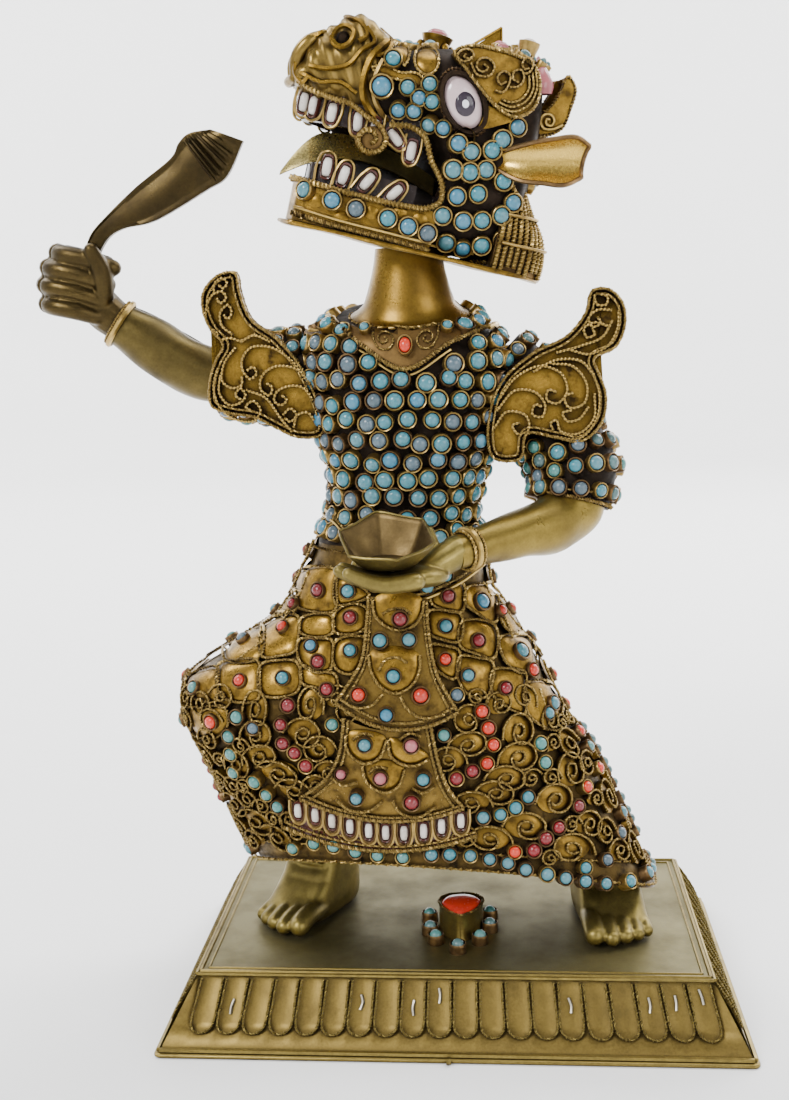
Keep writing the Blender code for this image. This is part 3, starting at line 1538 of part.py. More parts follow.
def make_mane(parent, tools):
    """The band of upright wires at the back of the cheeks."""
    rings = []
    for v, back, half_width in MANE_SECTIONS:
        ring = [head_point(MANE_FRONT, half_width * MANE_FRONT_SHARE, v)]
        for j in range(MANE_COLUMNS + 1):
            across = 1 - 2 * j / MANE_COLUMNS
            bend = MANE_BEND * across ** 2
            notch = MANE_NOTCH if j % 2 else 0.0
            ring.append(head_point(back + bend + notch, half_width * across, v))
        ring.append(head_point(MANE_FRONT, -half_width * MANE_FRONT_SHARE, v))
        rings.append(ring)
    mane = new_object("mane", lofted(rings), "gilt_brass", parent)
    for tool in tools:
        use_boolean(mane, tool)


SIDE_FROM = 8
CHEEK_BAND = (6, 38)
CHEEK_BACK = -24
MUZZLE_BAND = (36, 57)
NOSTRIL_FROM = (38, 3, 46)


def on_cheek(place):
    """Where the skull carries stones: its sides below the eyes."""
    on_side = abs(place.y) > SIDE_FROM and place.x > CHEEK_BACK
    return on_side and CHEEK_BAND[0] < place.z < CHEEK_BAND[1]


def on_muzzle_side(place):
    return abs(place.y) > SIDE_FROM and MUZZLE_BAND[0] < place.z < MUZZLE_BAND[1]


def on_nostril(place):
    u, w, v = NOSTRIL_FROM
    return place.x > u and abs(place.y) > w and place.z > v


def make_head():
    """Every piece of the head hangs on one empty that holds its turn and lift."""
    frame = bpy.data.objects.new("head_frame", None)
    bpy.context.scene.collection.objects.link(frame)
    frame.matrix_world = head_matrix()
    seam = in_units(GAP)
    make_head_part("skull", SKULL_SECTIONS, "turquoise_work", frame, on_cheek)
    make_head_part("muzzle", MUZZLE_SECTIONS, "turquoise_work", frame, on_muzzle_side, behind=-seam)
    make_head_part("nose", NOSE_SECTIONS, "gilt_brass", frame, on_nostril, behind=-seam)
    clear = GAP + STUD_HEIGHT * SMALL_STUD
    skull_tool = head_cutter("tool_skull", SKULL_SECTIONS, clear, frame)
    muzzle_tool = head_cutter("tool_muzzle", MUZZLE_SECTIONS, clear, frame)
    nose_tool = head_cutter("tool_nose", NOSE_SECTIONS, GAP, frame)
    make_chin_plate(frame)
    make_jaw(frame)
    make_tongue(frame)
    make_upper_teeth(frame, (muzzle_tool, nose_tool))
    make_lower_teeth(frame)
    make_brows(frame, (skull_tool, muzzle_tool))
    make_eyes(frame, (skull_tool, muzzle_tool))
    make_ears(frame, (skull_tool,))
    make_horn(frame, (skull_tool,))
    make_crown_stones(frame, (skull_tool, muzzle_tool))
    make_back_leaf(frame, (skull_tool,))
    make_mane(frame, (skull_tool,))


ARM_CLEARANCE_STUDS = 1.4


def make_arms():
    """Sleeves, forearms, hands and what they hold."""
    clear = GAP + ARM_CLEARANCE_STUDS * STUD_HEIGHT
    bodice_tool = bodice_cutter("tool_bodice", clear)
    make_sleeve("sleeve_near", NEAR_SLEEVE, bodice_tool, (0, 2))
    make_sleeve("sleeve_far", FAR_SLEEVE, bodice_tool, (1, 3))
    near_tool = sleeve_cutter("tool_near_sleeve", NEAR_SLEEVE, clear)
    far_tool = sleeve_cutter("tool_far_sleeve", FAR_SLEEVE, clear)
    make_flame("flame_near", NEAR_FLAME, (near_tool, bodice_tool))
    make_flame("flame_far", FAR_FLAME, (far_tool, bodice_tool))
    make_forearm("forearm_near", NEAR_SLEEVE, NEAR_FOREARM, ELBOW_RADII[0])
    make_forearm("forearm_far", FAR_SLEEVE, FAR_FOREARM, ELBOW_RADII[1])
    make_bracelet("bracelet_near", NEAR_FOREARM, BRACELET_RADII[0])
    make_bracelet("bracelet_far", FAR_FOREARM, BRACELET_RADII[1])
    make_fist()
    make_knife()
    make_open_hand()
    make_cup()


def clear_scene():
    for obj in list(bpy.data.objects):
        bpy.data.objects.remove(obj, do_unlink=True)


def main():
    clear_scene()
    make_base_plate()
    make_plinth()
    make_plinth_jewel()
    make_plinth_bezels()
    make_skirt()
    skirt_tool = skirt_cutter("tool_skirt", GAP)
    make_feet(skirt_tool)
    make_apron(skirt_tool)
    make_bodice()
    make_neckline_plate()
    make_neck()
    make_arms()
    make_head()
    bpy.context.view_layer.update()


main()
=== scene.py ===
"""Looks of the dragon-headed deity statue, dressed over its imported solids.

Lengths in the tables are millimetres in the figure's frame: X and Y from the plinth's middle,
Z above the plinth's top. The head has a frame of its own: U to the snout, W to the viewer's side
and V up. Shapes are gathered as numpy arrays and turned into metres when a piece is made.
"""

import math
import random

import bmesh
import bpy
import numpy as np
from mathutils import Matrix, Vector
from mathutils.bvhtree import BVHTree


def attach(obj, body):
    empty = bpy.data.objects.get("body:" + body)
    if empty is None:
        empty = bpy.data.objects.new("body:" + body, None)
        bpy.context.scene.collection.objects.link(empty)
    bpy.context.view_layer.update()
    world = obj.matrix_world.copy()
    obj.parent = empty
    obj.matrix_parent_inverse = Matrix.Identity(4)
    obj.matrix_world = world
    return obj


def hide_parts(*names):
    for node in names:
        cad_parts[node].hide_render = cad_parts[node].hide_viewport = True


bl_info = {
    "name": "Dragon-headed deity statue",
    "version": (1, 0, 0),
    "blender": (4, 5, 0),
    "location": "View3D > Sidebar > Statue",
    "description": "Dresses the packed statue in wirework, stones and patina",
    "category": "Object",
}

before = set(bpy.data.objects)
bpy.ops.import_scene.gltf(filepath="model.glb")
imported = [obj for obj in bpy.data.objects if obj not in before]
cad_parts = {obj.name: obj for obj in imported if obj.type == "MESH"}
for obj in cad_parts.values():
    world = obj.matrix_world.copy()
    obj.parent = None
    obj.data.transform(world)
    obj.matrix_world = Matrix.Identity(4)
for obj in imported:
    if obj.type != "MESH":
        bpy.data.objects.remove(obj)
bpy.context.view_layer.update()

MM = 0.001
PLINTH_HEIGHT = 22.0
TAU = 2 * math.pi
# How far outside the figure a straight cast starts, and how far the camera stands from it.
OUTSIDE = 300
CAMERA_REACH = 425
RING_ANGLES = np.linspace(-math.pi / 2, 1.5 * math.pi, 240, endpoint=False)


# Settings

class StatueSizes(bpy.types.PropertyGroup):
    """Sizes of the wirework and stones, in millimetres."""
    wire: bpy.props.FloatProperty(
        name="Wire", description="Radius of the twisted border wires", default=0.62, min=0.1, max=2.0)
    fine_wire: bpy.props.FloatProperty(
        name="Fine wire", description="Radius of the filigree wires", default=0.48, min=0.1, max=2.0)
    twist: bpy.props.FloatProperty(
        name="Twist", description="Length of one turn of a twisted wire", default=2.3, min=0.5, max=9.0)
    stone: bpy.props.FloatProperty(
        name="Stone", description="Radius of a bodice stone in its bezel", default=3.1, min=0.5, max=6.0)
    bezel: bpy.props.FloatProperty(
        name="Bezel", description="Height of a bezel's collar", default=1.7, min=0.2, max=5.0)


class StatueColours(bpy.types.PropertyGroup):
    """Main colours of the statue."""
    gilt: bpy.props.FloatVectorProperty(
        name="Gilt", description="Bright gilt brass", subtype="COLOR", default=(0.46, 0.31, 0.085))
    brass: bpy.props.FloatVectorProperty(
        name="Brass", description="Aged sheet brass", subtype="COLOR", default=(0.29, 0.19, 0.045))
    plinth: bpy.props.FloatVectorProperty(
        name="Plinth", description="Olive brass of the plinth", subtype="COLOR", default=(0.165, 0.14, 0.055))
    turquoise: bpy.props.FloatVectorProperty(
        name="Turquoise", description="Bluest turquoise", subtype="COLOR", default=(0.038, 0.18, 0.225))
    coral: bpy.props.FloatVectorProperty(
        name="Coral", description="Coral stones", subtype="COLOR", default=(0.58, 0.04, 0.016))


def sizes():
    return bpy.context.scene.statue_sizes


def colours():
    return bpy.context.scene.statue_colours


# Gathering of meshes

def grid_faces(rows, columns, closed=True, looped=False):
    """Faces between rows of points; closed joins the ends of each row, looped the last row to the first."""
    faces = []
    for i in range(rows if looped else rows - 1):
        for j in range(columns if closed else columns - 1):
            k, n = (j + 1) % columns, (i + 1) % rows
            faces.append((i * columns + j, i * columns + k, n * columns + k, n * columns + j))
    return faces


class Shape:
    """Points, faces and finishes gathered for one piece."""

    def __init__(self):
        self.points = []
        self.faces = []
        self.finishes = []
        self.count = 0

    def add(self, points, faces, finish):
        """Add faces given by indices into their own points."""
        points = np.asarray(points, float).reshape(-1, 3)
        start = self.count
        self.points.append(points)
        self.faces.extend([tuple(start + i for i in face) for face in faces])
        self.finishes.extend([finish] * len(faces))
        self.count += len(points)

    def add_grid(self, grid, finish, closed=False, caps=(False, False)):
        """A sheet from rows of points; closed joins the ends of each row."""
        grid = np.asarray(grid, float)
        rows, columns = grid.shape[:2]
        faces = grid_faces(rows, columns, closed)
        if caps[0]:
            faces.append(tuple(reversed(range(columns))))
        if caps[1]:
            faces.append(tuple((rows - 1) * columns + j for j in range(columns)))
        self.add(grid, faces, finish)

    def build(self, name, replaced=(), matrix=None, slot=None):
        """Make the piece, ride it on the body and hide the solids it stands for."""
        points = np.concatenate(self.points)
        if matrix is not None:
            turn = np.array(matrix.to_3x3())
            points = points @ turn.T + np.array(matrix.translation)
        points = (points + (0, 0, PLINTH_HEIGHT)) * MM
        names = sorted(set(self.finishes))
        mesh = bpy.data.meshes.new(name)
        mesh.from_pydata(points.tolist(), [], self.faces)
        for finish in names:
            mesh.materials.append(finish_named(finish))
        index = {finish: i for i, finish in enumerate(names)}
        mesh.polygons.foreach_set("material_index", [index[finish] for finish in self.finishes])
        mesh.validate()
        mesh.shade_smooth()
        mesh.set_sharp_from_angle(angle=math.radians(50))
        piece = bpy.data.objects.new(name, mesh)
        bpy.context.scene.collection.objects.link(piece)
        return settle(piece, replaced)


def settle(piece, replaced=()):
    """Ride a finished piece on the one body and hide what it stands for."""
    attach(piece, "root")
    if replaced:
        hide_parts(*replaced)
    return piece


def hermite(knots, values, at):
    """Smooth values between knots, for rows of any shape."""
    knots = np.asarray(knots, float)
    values = np.asarray(values, float)
    at = np.asarray(at, float)
    slopes = np.gradient(values, knots, axis=0)
    k = np.clip(np.searchsorted(knots, at, side="right") - 1, 0, len(knots) - 2)
    shape = (-1,) + (1,) * (values.ndim - 1)
    step = (knots[k + 1] - knots[k]).reshape(shape)
    t = ((at - knots[k]) / (knots[k + 1] - knots[k])).reshape(shape)
    start = (2 * t ** 3 - 3 * t ** 2 + 1) * values[k] + (t ** 3 - 2 * t ** 2 + t) * step * slopes[k]
    end = (3 * t ** 2 - 2 * t ** 3) * values[k + 1] + (t ** 3 - t ** 2) * step * slopes[k + 1]
    return start + end


def smooth_line(points, step=0.7, closed=False):
    """A smooth curve through points of any dimension, in even steps."""
    points = np.asarray(points, float)
    if closed:
        points = np.vstack([points[-2:], points, points[:3]])
    chords = np.linalg.norm(np.diff(points, axis=0), axis=1)
    knots = np.concatenate([[0], np.cumsum(np.maximum(chords, 1e-6))])
    low, high = (knots[2], knots[-3]) if closed else (knots[0], knots[-1])
    count = max(3, int(round((high - low) / step)) + 1)
    line = hermite(knots, points, np.linspace(low, high, count))
    return line[:-1] if closed else line


def unit(vectors):
    lengths = np.linalg.norm(vectors, axis=-1, keepdims=True)
    return vectors / np.maximum(lengths, 1e-9)


def directions(points, closed):
    """The way that a line runs at each of its points."""
    if closed:
        return unit(np.roll(points, -1, 0) - np.roll(points, 1, 0))
    return unit(np.gradient(points, axis=0))


def reaches(points):
    """How far along a line each of its points lies."""
    return np.concatenate([[0], np.cumsum(np.linalg.norm(np.diff(points, axis=0), axis=1))])


def add_wire(shape, points, normals, radius, finish="gilt_wire", twisted=True, closed=False, sides=6):
    """A wire along points, with one normal or one for each; a twisted one is flat and turns as it goes."""
    points = np.asarray(points, float)
    normals = unit(np.asarray(normals, float))
    along = directions(points, closed)
    side = unit(np.cross(normals, along))
    up = np.cross(along, side)
    turns = math.pi * reaches(points) / sizes().twist * 2
    if closed:
        whole = max(1, round(turns[-1] / math.pi)) * math.pi
        turns = turns * whole / (turns[-1] * len(points) / max(1, len(points) - 1))
    flat = 0.58 if twisted else 1.0
    if not twisted:
        turns = turns * 0
    angles = TAU * np.arange(sides) / sides
    x = radius * np.cos(angles)[None, :]
    y = radius * flat * np.sin(angles)[None, :]
    c, s = np.cos(turns)[:, None], np.sin(turns)[:, None]
    across, rise = x * c - y * s, x * s + y * c
    grid = points[:, None, :] + side[:, None, :] * across[..., None] + up[:, None, :] * rise[..., None]
    if closed:
        shape.add(grid, grid_faces(len(points), sides, looped=True), finish)
    else:
        shape.add_grid(grid, finish, closed=True, caps=(True, True))


def on_chart(chart, line):
    """The places and normals that a chart gives along a line."""
    places, normals = zip(*[chart(a, b) for a, b in line])
    return np.array(places), unit(np.array(normals))


def lay(shape, chart, outline, radius, finish="gilt_wire", twisted=True, closed=False, lift=0.5, step=0.75):
    """Lay a wire on a surface along an outline given in the chart's flat coordinates."""
    points, normals = on_chart(chart, smooth_line(outline, step, closed))
    points = points + normals * (lift * radius)
    add_wire(shape, points, normals, radius, finish, twisted, closed, 6 if twisted else 5)


def add_ribbon(shape, points, normals, height, finish, closed=False, thick=0.3, root=0.3):
    """A thin wall of sheet that stands on its edge along a line."""
    side = unit(np.cross(normals, directions(points, closed))) * thick / 2
    top, foot = normals * height, normals * -root
    grid = np.stack([points + side + foot, points + side + top, points - side + top, points - side + foot],
        axis=1)
    if closed:
        grid = np.concatenate([grid, grid[:1]])
    shape.add_grid(grid, finish, closed=True, caps=(not closed, not closed))


def raise_wire(shape, chart, outline, height, radius=None, sheet="gilt_sheet", wire="gilt_wire", closed=False,
        step=0.75):
    """A wall of sheet along an outline, topped with a twisted wire, a fine one if no radius is given."""
    points, normals = on_chart(chart, smooth_line(outline, step, closed))
    add_ribbon(shape, points, normals, height, sheet, closed)
    add_wire(shape, points + normals * height, normals, radius or sizes().fine_wire, wire, True, closed)


def revolve(profile, segments=14):
    """Points and faces of a turned profile about Z; a zero radius closes it."""
    rings = []
    points = []
    faces = []
    for radius, height in profile:
        if radius < 1e-6:
            rings.append([len(points)])
            points.append((0, 0, height))
            continue
        rings.append(list(range(len(points), len(points) + segments)))
        for j in range(segments):
            angle = TAU * j / segments
            points.append((radius * math.cos(angle), radius * math.sin(angle), height))
    for lower, upper in zip(rings, rings[1:]):
        for j in range(segments):
            k = (j + 1) % segments
            if len(upper) == 1:
                faces.append((lower[j], lower[k], upper[0]))
            elif len(lower) == 1:
                faces.append((lower[0], upper[k], upper[j]))
            else:
                faces.append((lower[j], lower[k], upper[k], upper[j]))
    return np.array(points), faces


COLLAR = revolve(((1.04, -1.2), (1.0, 0.55), (1.03, 0.95), (0.97, 1.06), (0.87, 0.98), (0.86, 0.6)))
SEAT = revolve(((0.88, 0.72), (0.62, 0.64)))
DOME = revolve(((0.75, 0.5), (0.74, 0.92), (0.60, 1.26), (0.36, 1.48), (0.14, 1.56), (0, 1.57)))


def add_turned(shape, profile, segments, place, finish):
    """A turned form that stands along Z at a place."""
    points, faces = revolve(profile, segments)
    shape.add(points + place, faces, finish)


def wire_round(shape, skin, rise, radius, count, lift, finish="gilt_wire", twisted=True):
    """A closed wire round a skin at one rise."""
    points, normals = on_chart(skin.place, [(k / count, rise) for k in range(count)])
    add_wire(shape, points + normals * lift, normals, radius, finish, twisted, closed=True)


def frame_at(normal, towards=(0, 0, 1)):
    """Three axes with the last along a normal and the second nearest to a direction."""
    z = unit(np.asarray(normal, float))
    y = np.asarray(towards, float) - z * np.dot(towards, z)
    if np.linalg.norm(y) < 1e-3:
        y = np.array((0.0, 1.0, 0.0)) - z * z[1]
    y = unit(y)
    x = np.cross(y, z)
    return np.stack([x, y, z])


def squared(points, power):
    """Rings about Z drawn out from round towards a box as the power grows."""
    angles = np.arctan2(points[:, 1], points[:, 0])
    share = (np.abs(np.cos(angles)) ** power + np.abs(np.sin(angles)) ** power) ** (-1 / power)
    return points * np.column_stack([share, share, np.ones(len(points))])


def set_stone(shape, place, normal, radius, stone, tall=1.0, stretch=1.0, rim="gilt_rim", towards=(0, 0, 1),
              square=2, out=0.0):
    """A domed stone in its bezel; stretch lengthens it, square boxes it, and out moves it off its place."""
    axes = frame_at(normal, towards)
    scale = np.array((radius, radius * stretch, sizes().bezel * tall))
    seat = np.asarray(place, float) + np.asarray(normal, float) * out
    for (points, faces), finish in ((COLLAR, rim), (SEAT, "bezel_seat"), (DOME, stone)):
        shape.add((squared(points, square) * scale) @ axes + seat, faces, finish)


def superellipse(angles, half_width, half_depth, power):
    c, s = np.cos(angles), np.sin(angles)
    return (half_width * np.sign(c) * np.abs(c) ** (2 / power),
            half_depth * np.sign(s) * np.abs(s) ** (2 / power))


def grid_normals(grid):
    """The outward normals of a grid whose rows are closed rings."""
    across = np.roll(grid, -1, 1) - np.roll(grid, 1, 1)
    return unit(np.cross(across, np.gradient(grid, axis=0)))


class Skin:
    """A smooth surface through rings of points, with places given by turn and rise from 0 to 1."""

    def __init__(self, knots, rings, around=96, up=48):
        rings = np.asarray(rings, float)
        at = np.linspace(knots[0], knots[-1], up)
        dense = hermite(knots, rings, at)
        self.grid = np.array([self.even(ring, around) for ring in dense])
        self.around, self.up = around, up
        self.tree = BVHTree.FromPolygons(self.grid.reshape(-1, 3).tolist(), grid_faces(up, around))
        loop = np.concatenate([self.grid, self.grid[:, :1]], axis=1)
        self.girths = np.linalg.norm(np.diff(loop, axis=1), axis=2).sum(1)
        rises = np.linalg.norm(np.diff(self.grid, axis=0), axis=2).mean(1)
        self.length = rises.sum()

    @staticmethod
    def even(ring, count):
        """The same ring with points evenly spaced along it."""
        loop = np.vstack([ring, ring[:1]])
        reach = reaches(loop)
        at = np.linspace(0, reach[-1], count, endpoint=False)
        return np.stack([np.interp(at, reach, loop[:, i]) for i in range(3)], axis=1)

    def point(self, turn, rise):
        x = (turn % 1.0) * self.around
        y = min(max(rise, 0.0), 1.0) * (self.up - 1)
        i, j = min(int(y), self.up - 2), int(x) % self.around
        k, t, s = (j + 1) % self.around, x - int(x), y - i
        low = self.grid[i, j] * (1 - t) + self.grid[i, k] * t
        high = self.grid[i + 1, j] * (1 - t) + self.grid[i + 1, k] * t
        return low * (1 - s) + high * s

    def place(self, turn, rise):
        """A point and its outward normal."""
        d = 0.006
        across = self.point(turn + d, rise) - self.point(turn - d, rise)
        upward = self.point(turn, min(1.0, rise + d)) - self.point(turn, max(0.0, rise - d))
        return self.point(turn, rise), unit(np.cross(across, upward))

    def girth(self, rise):
        return float(np.interp(rise * (self.up - 1), np.arange(self.up), self.girths))

    def chart(self, turn, rise):
        """A flat chart in millimetres about a place: across along the turn, then along the rise."""
        girth = self.girth(rise)
        return lambda a, b: self.place(turn + a / girth, rise + b / self.length)

    def cast(self, origin, direction):
        """The point and normal that a line hits first, or the nearest ones."""
        direction = Vector(direction)
        hit, normal, _, _ = self.tree.ray_cast(Vector(origin), direction)
        if hit is None:
            reach = OUTSIDE if abs(direction.x) < 1e-6 else CAMERA_REACH
            hit, normal, _, _ = self.tree.find_nearest(Vector(origin) + direction * reach)
        if normal.dot(direction) > 0:
            normal = -normal
        return np.array(hit), np.array(normal)

    def front(self, x, z):
        """The place of the surface seen from the front at X and Z."""
        return self.cast((x, -OUTSIDE, z), (0, 1, 0))

    def sheet(self, shape, finish, inset=0.0, caps=(False, False)):
        """Add the surface itself, moved in by an inset."""
        shape.add_grid(self.grid - grid_normals(self.grid) * inset, finish, closed=True, caps=caps)


# Materials

def node_tree_group(name, inputs, outputs):
    """An empty shader group with named sockets."""
    group = bpy.data.node_groups.new(name, "ShaderNodeTree")
    for kind, label, default in inputs:
        socket = group.interface.new_socket(name=label, in_out="INPUT", socket_type=kind)
        socket.default_value = default
    for kind, label in outputs:
        group.interface.new_socket(name=label, in_out="OUTPUT", socket_type=kind)
    return group, group.nodes.new("NodeGroupInput"), group.nodes.new("NodeGroupOutput")


def add_node(tree, kind, links=(), **values):
    """A node with its properties set and its inputs linked or set by name."""
    node = tree.nodes.new(kind)
    for key, value in values.items():
        setattr(node, key, value)
    for socket, value in links:
        if isinstance(value, bpy.types.NodeSocket):
            tree.links.new(value, node.inputs[socket])
        else:
            node.inputs[socket].default_value = value
    return node


def noise(tree, vector, scale, detail=4.0, rough=0.55):
    links = [("Vector", vector), ("Scale", scale), ("Detail", detail), ("Roughness", rough)]
    return add_node(tree, "ShaderNodeTexNoise", links).outputs["Fac"]


def ramp(tree, value, low, high, to_low=0.0, to_high=1.0):
    links = [("Value", value), ("From Min", low), ("From Max", high), ("To Min", to_low), ("To Max", to_high)]
    return add_node(tree, "ShaderNodeMapRange", links, clamp=True).outputs["Result"]


def mix(tree, factor, first, second, blend="MIX"):
    links = [(0, factor), (6, first), (7, second)]
    return add_node(tree, "ShaderNodeMix", links, data_type="RGBA", blend_type=blend).outputs[2]


def math_node(tree, operation, first, second):
    return add_node(tree, "ShaderNodeMath", [(0, first), (1, second)], operation=operation).outputs[0]


def patina_and_shade_group():
    """Metal that is bright on its open parts and browned in its hollows, as patina and as painted shade,
    blotched and scratched.
    """
    if "PatinaAndShade" in bpy.data.node_groups:
        return bpy.data.node_groups["PatinaAndShade"]
    group, start, end = node_tree_group(
        "PatinaAndShade",
        [("NodeSocketColor", "Bright", (0.8, 0.6, 0.3, 1)),
         ("NodeSocketColor", "Brown", (0.1, 0.06, 0.03, 1)),
         ("NodeSocketFloat", "Openness", 1.0), ("NodeSocketFloat", "Scale", 300.0),
         ("NodeSocketFloat", "Blotches", 0.5), ("NodeSocketFloat", "Roughness", 0.35)],
        [("NodeSocketColor", "Color"), ("NodeSocketFloat", "Roughness"), ("NodeSocketFloat", "Height")])
    place = add_node(group, "ShaderNodeTexCoord").outputs["Object"]
    blotch = noise(group, place, start.outputs["Scale"], 5.0, 0.6)
    fine = noise(group, place, 1400.0, 3.0, 0.6)
    spots = math_node(group, "MULTIPLY", ramp(group, blotch, 0.38, 0.68), start.outputs["Blotches"])
    # Patina and painted shade: the hollows that the occlusion finds are browned in the colour.
    hollow_patina_and_shade = ramp(group, start.outputs["Openness"], 0.30, 0.97, 1.0, 0.0)
    brown = math_node(group, "MAXIMUM", hollow_patina_and_shade, spots)
    colour = mix(group, brown, start.outputs["Bright"], start.outputs["Brown"])
    shade = ramp(group, fine, 0.3, 0.75, 0.82, 1.12)
    colour = mix(group, 1.0, colour, add_node(group, "ShaderNodeCombineColor", [
        ("Red", shade), ("Green", shade), ("Blue", shade)]).outputs["Color"], "MULTIPLY")
    rough = math_node(group, "ADD", start.outputs["Roughness"], math_node(group, "MULTIPLY", brown, 0.28))
    rough = math_node(group, "ADD", rough, ramp(group, fine, 0.35, 0.8, -0.05, 0.08))
    height = math_node(group, "ADD", math_node(group, "MULTIPLY", fine, 0.5), blotch)
    group.links.new(colour, end.inputs["Color"])
    group.links.new(rough, end.inputs["Roughness"])
    group.links.new(height, end.inputs["Height"])
    return group


def stone_group():
    """Polished stone that varies from stone to stone, with veins and fine specks."""
    if "Stone" in bpy.data.node_groups:
        return bpy.data.node_groups["Stone"]
    group, start, end = node_tree_group(
        "Stone",
        [("NodeSocketColor", "First", (0.2, 0.5, 0.6, 1)), ("NodeSocketColor", "Second", (0.3, 0.4, 0.4, 1)),
         ("NodeSocketColor", "Vein", (0.1, 0.06, 0.03, 1)), ("NodeSocketFloat", "Veins", 0.4)],
        [("NodeSocketColor", "Color"), ("NodeSocketFloat", "Roughness"), ("NodeSocketFloat", "Height")])
    place = add_node(group, "ShaderNodeTexCoord").outputs["Object"]
    island = add_node(group, "ShaderNodeNewGeometry").outputs["Random Per Island"]
    cloud = noise(group, place, 420.0, 4.0, 0.6)
    share = math_node(group, "ADD", math_node(group, "MULTIPLY", island, 0.85),
        ramp(group, cloud, 0.35, 0.7, -0.15, 0.25))
    colour = mix(group, share, start.outputs["First"], start.outputs["Second"])
    lines = noise(group, place, 700.0, 6.0, 0.7)
    vein = math_node(group, "MULTIPLY", ramp(group, lines, 0.56, 0.68), start.outputs["Veins"])
    colour = mix(group, vein, colour, start.outputs["Vein"])
    group.links.new(colour, end.inputs["Color"])
    group.links.new(ramp(group, cloud, 0.3, 0.75, 0.12, 0.34), end.inputs["Roughness"])
    group.links.new(lines, end.inputs["Height"])
    return group


def rgba(colour):
    """A colour with full opacity, from its numbers or from its name among the panel's colours."""
    if isinstance(colour, str):
        colour = getattr(colours(), colour)
    return (*colour[:3], 1.0)


def surface(name, group, values, strength, depth):
    """A material whose colour, roughness and relief come from a shader group."""
    material = bpy.data.materials.new(name)
    material.use_nodes = True
    tree = material.node_tree
    shader = tree.nodes["Principled BSDF"]
    work = add_node(tree, "ShaderNodeGroup", values, node_tree=group)
    tree.links.new(work.outputs["Color"], shader.inputs["Base Color"])
    tree.links.new(work.outputs["Roughness"], shader.inputs["Roughness"])
    relief = add_node(tree, "ShaderNodeBump", [
        ("Strength", strength), ("Distance", depth * MM), ("Height", work.outputs["Height"])])
    tree.links.new(relief.outputs["Normal"], shader.inputs["Normal"])
    return material, shader, work


def metal(name, bright, brown, scale, blotches, roughness, reach):
    """Aged metal: hollows within reach, in millimetres, are browned, as patina and as painted shade."""
    values = [("Bright", rgba(bright)), ("Brown", rgba(brown)), ("Scale", scale), ("Blotches", blotches),
              ("Roughness", roughness)]
    material, shader, work = surface(name, patina_and_shade_group(), values, 0.12, 0.3)
    shader.inputs["Metallic"].default_value = 0.92
    tree = material.node_tree
    # Occlusion within the reach browns the colour: patina and painted shade in the hollows.
    hollow = add_node(tree, "ShaderNodeAmbientOcclusion", [("Distance", reach * MM)], samples=6)
    tree.links.new(hollow.outputs["AO"], work.inputs["Openness"])
    return material


def stone(name, first, second, vein, veins, coat=0.25):
    """Polished stone, enamel or bone."""
    values = [("First", rgba(first)), ("Second", rgba(second)), ("Vein", rgba(vein)), ("Veins", veins)]
    material, shader, _ = surface(name, stone_group(), values, 0.05, 0.2)
    shader.inputs["Coat Weight"].default_value = coat
    shader.inputs["Coat Roughness"].default_value = 0.08
    shader.inputs["Specular IOR Level"].default_value = 0.3
    return material


BROWN = (0.055, 0.032, 0.016)
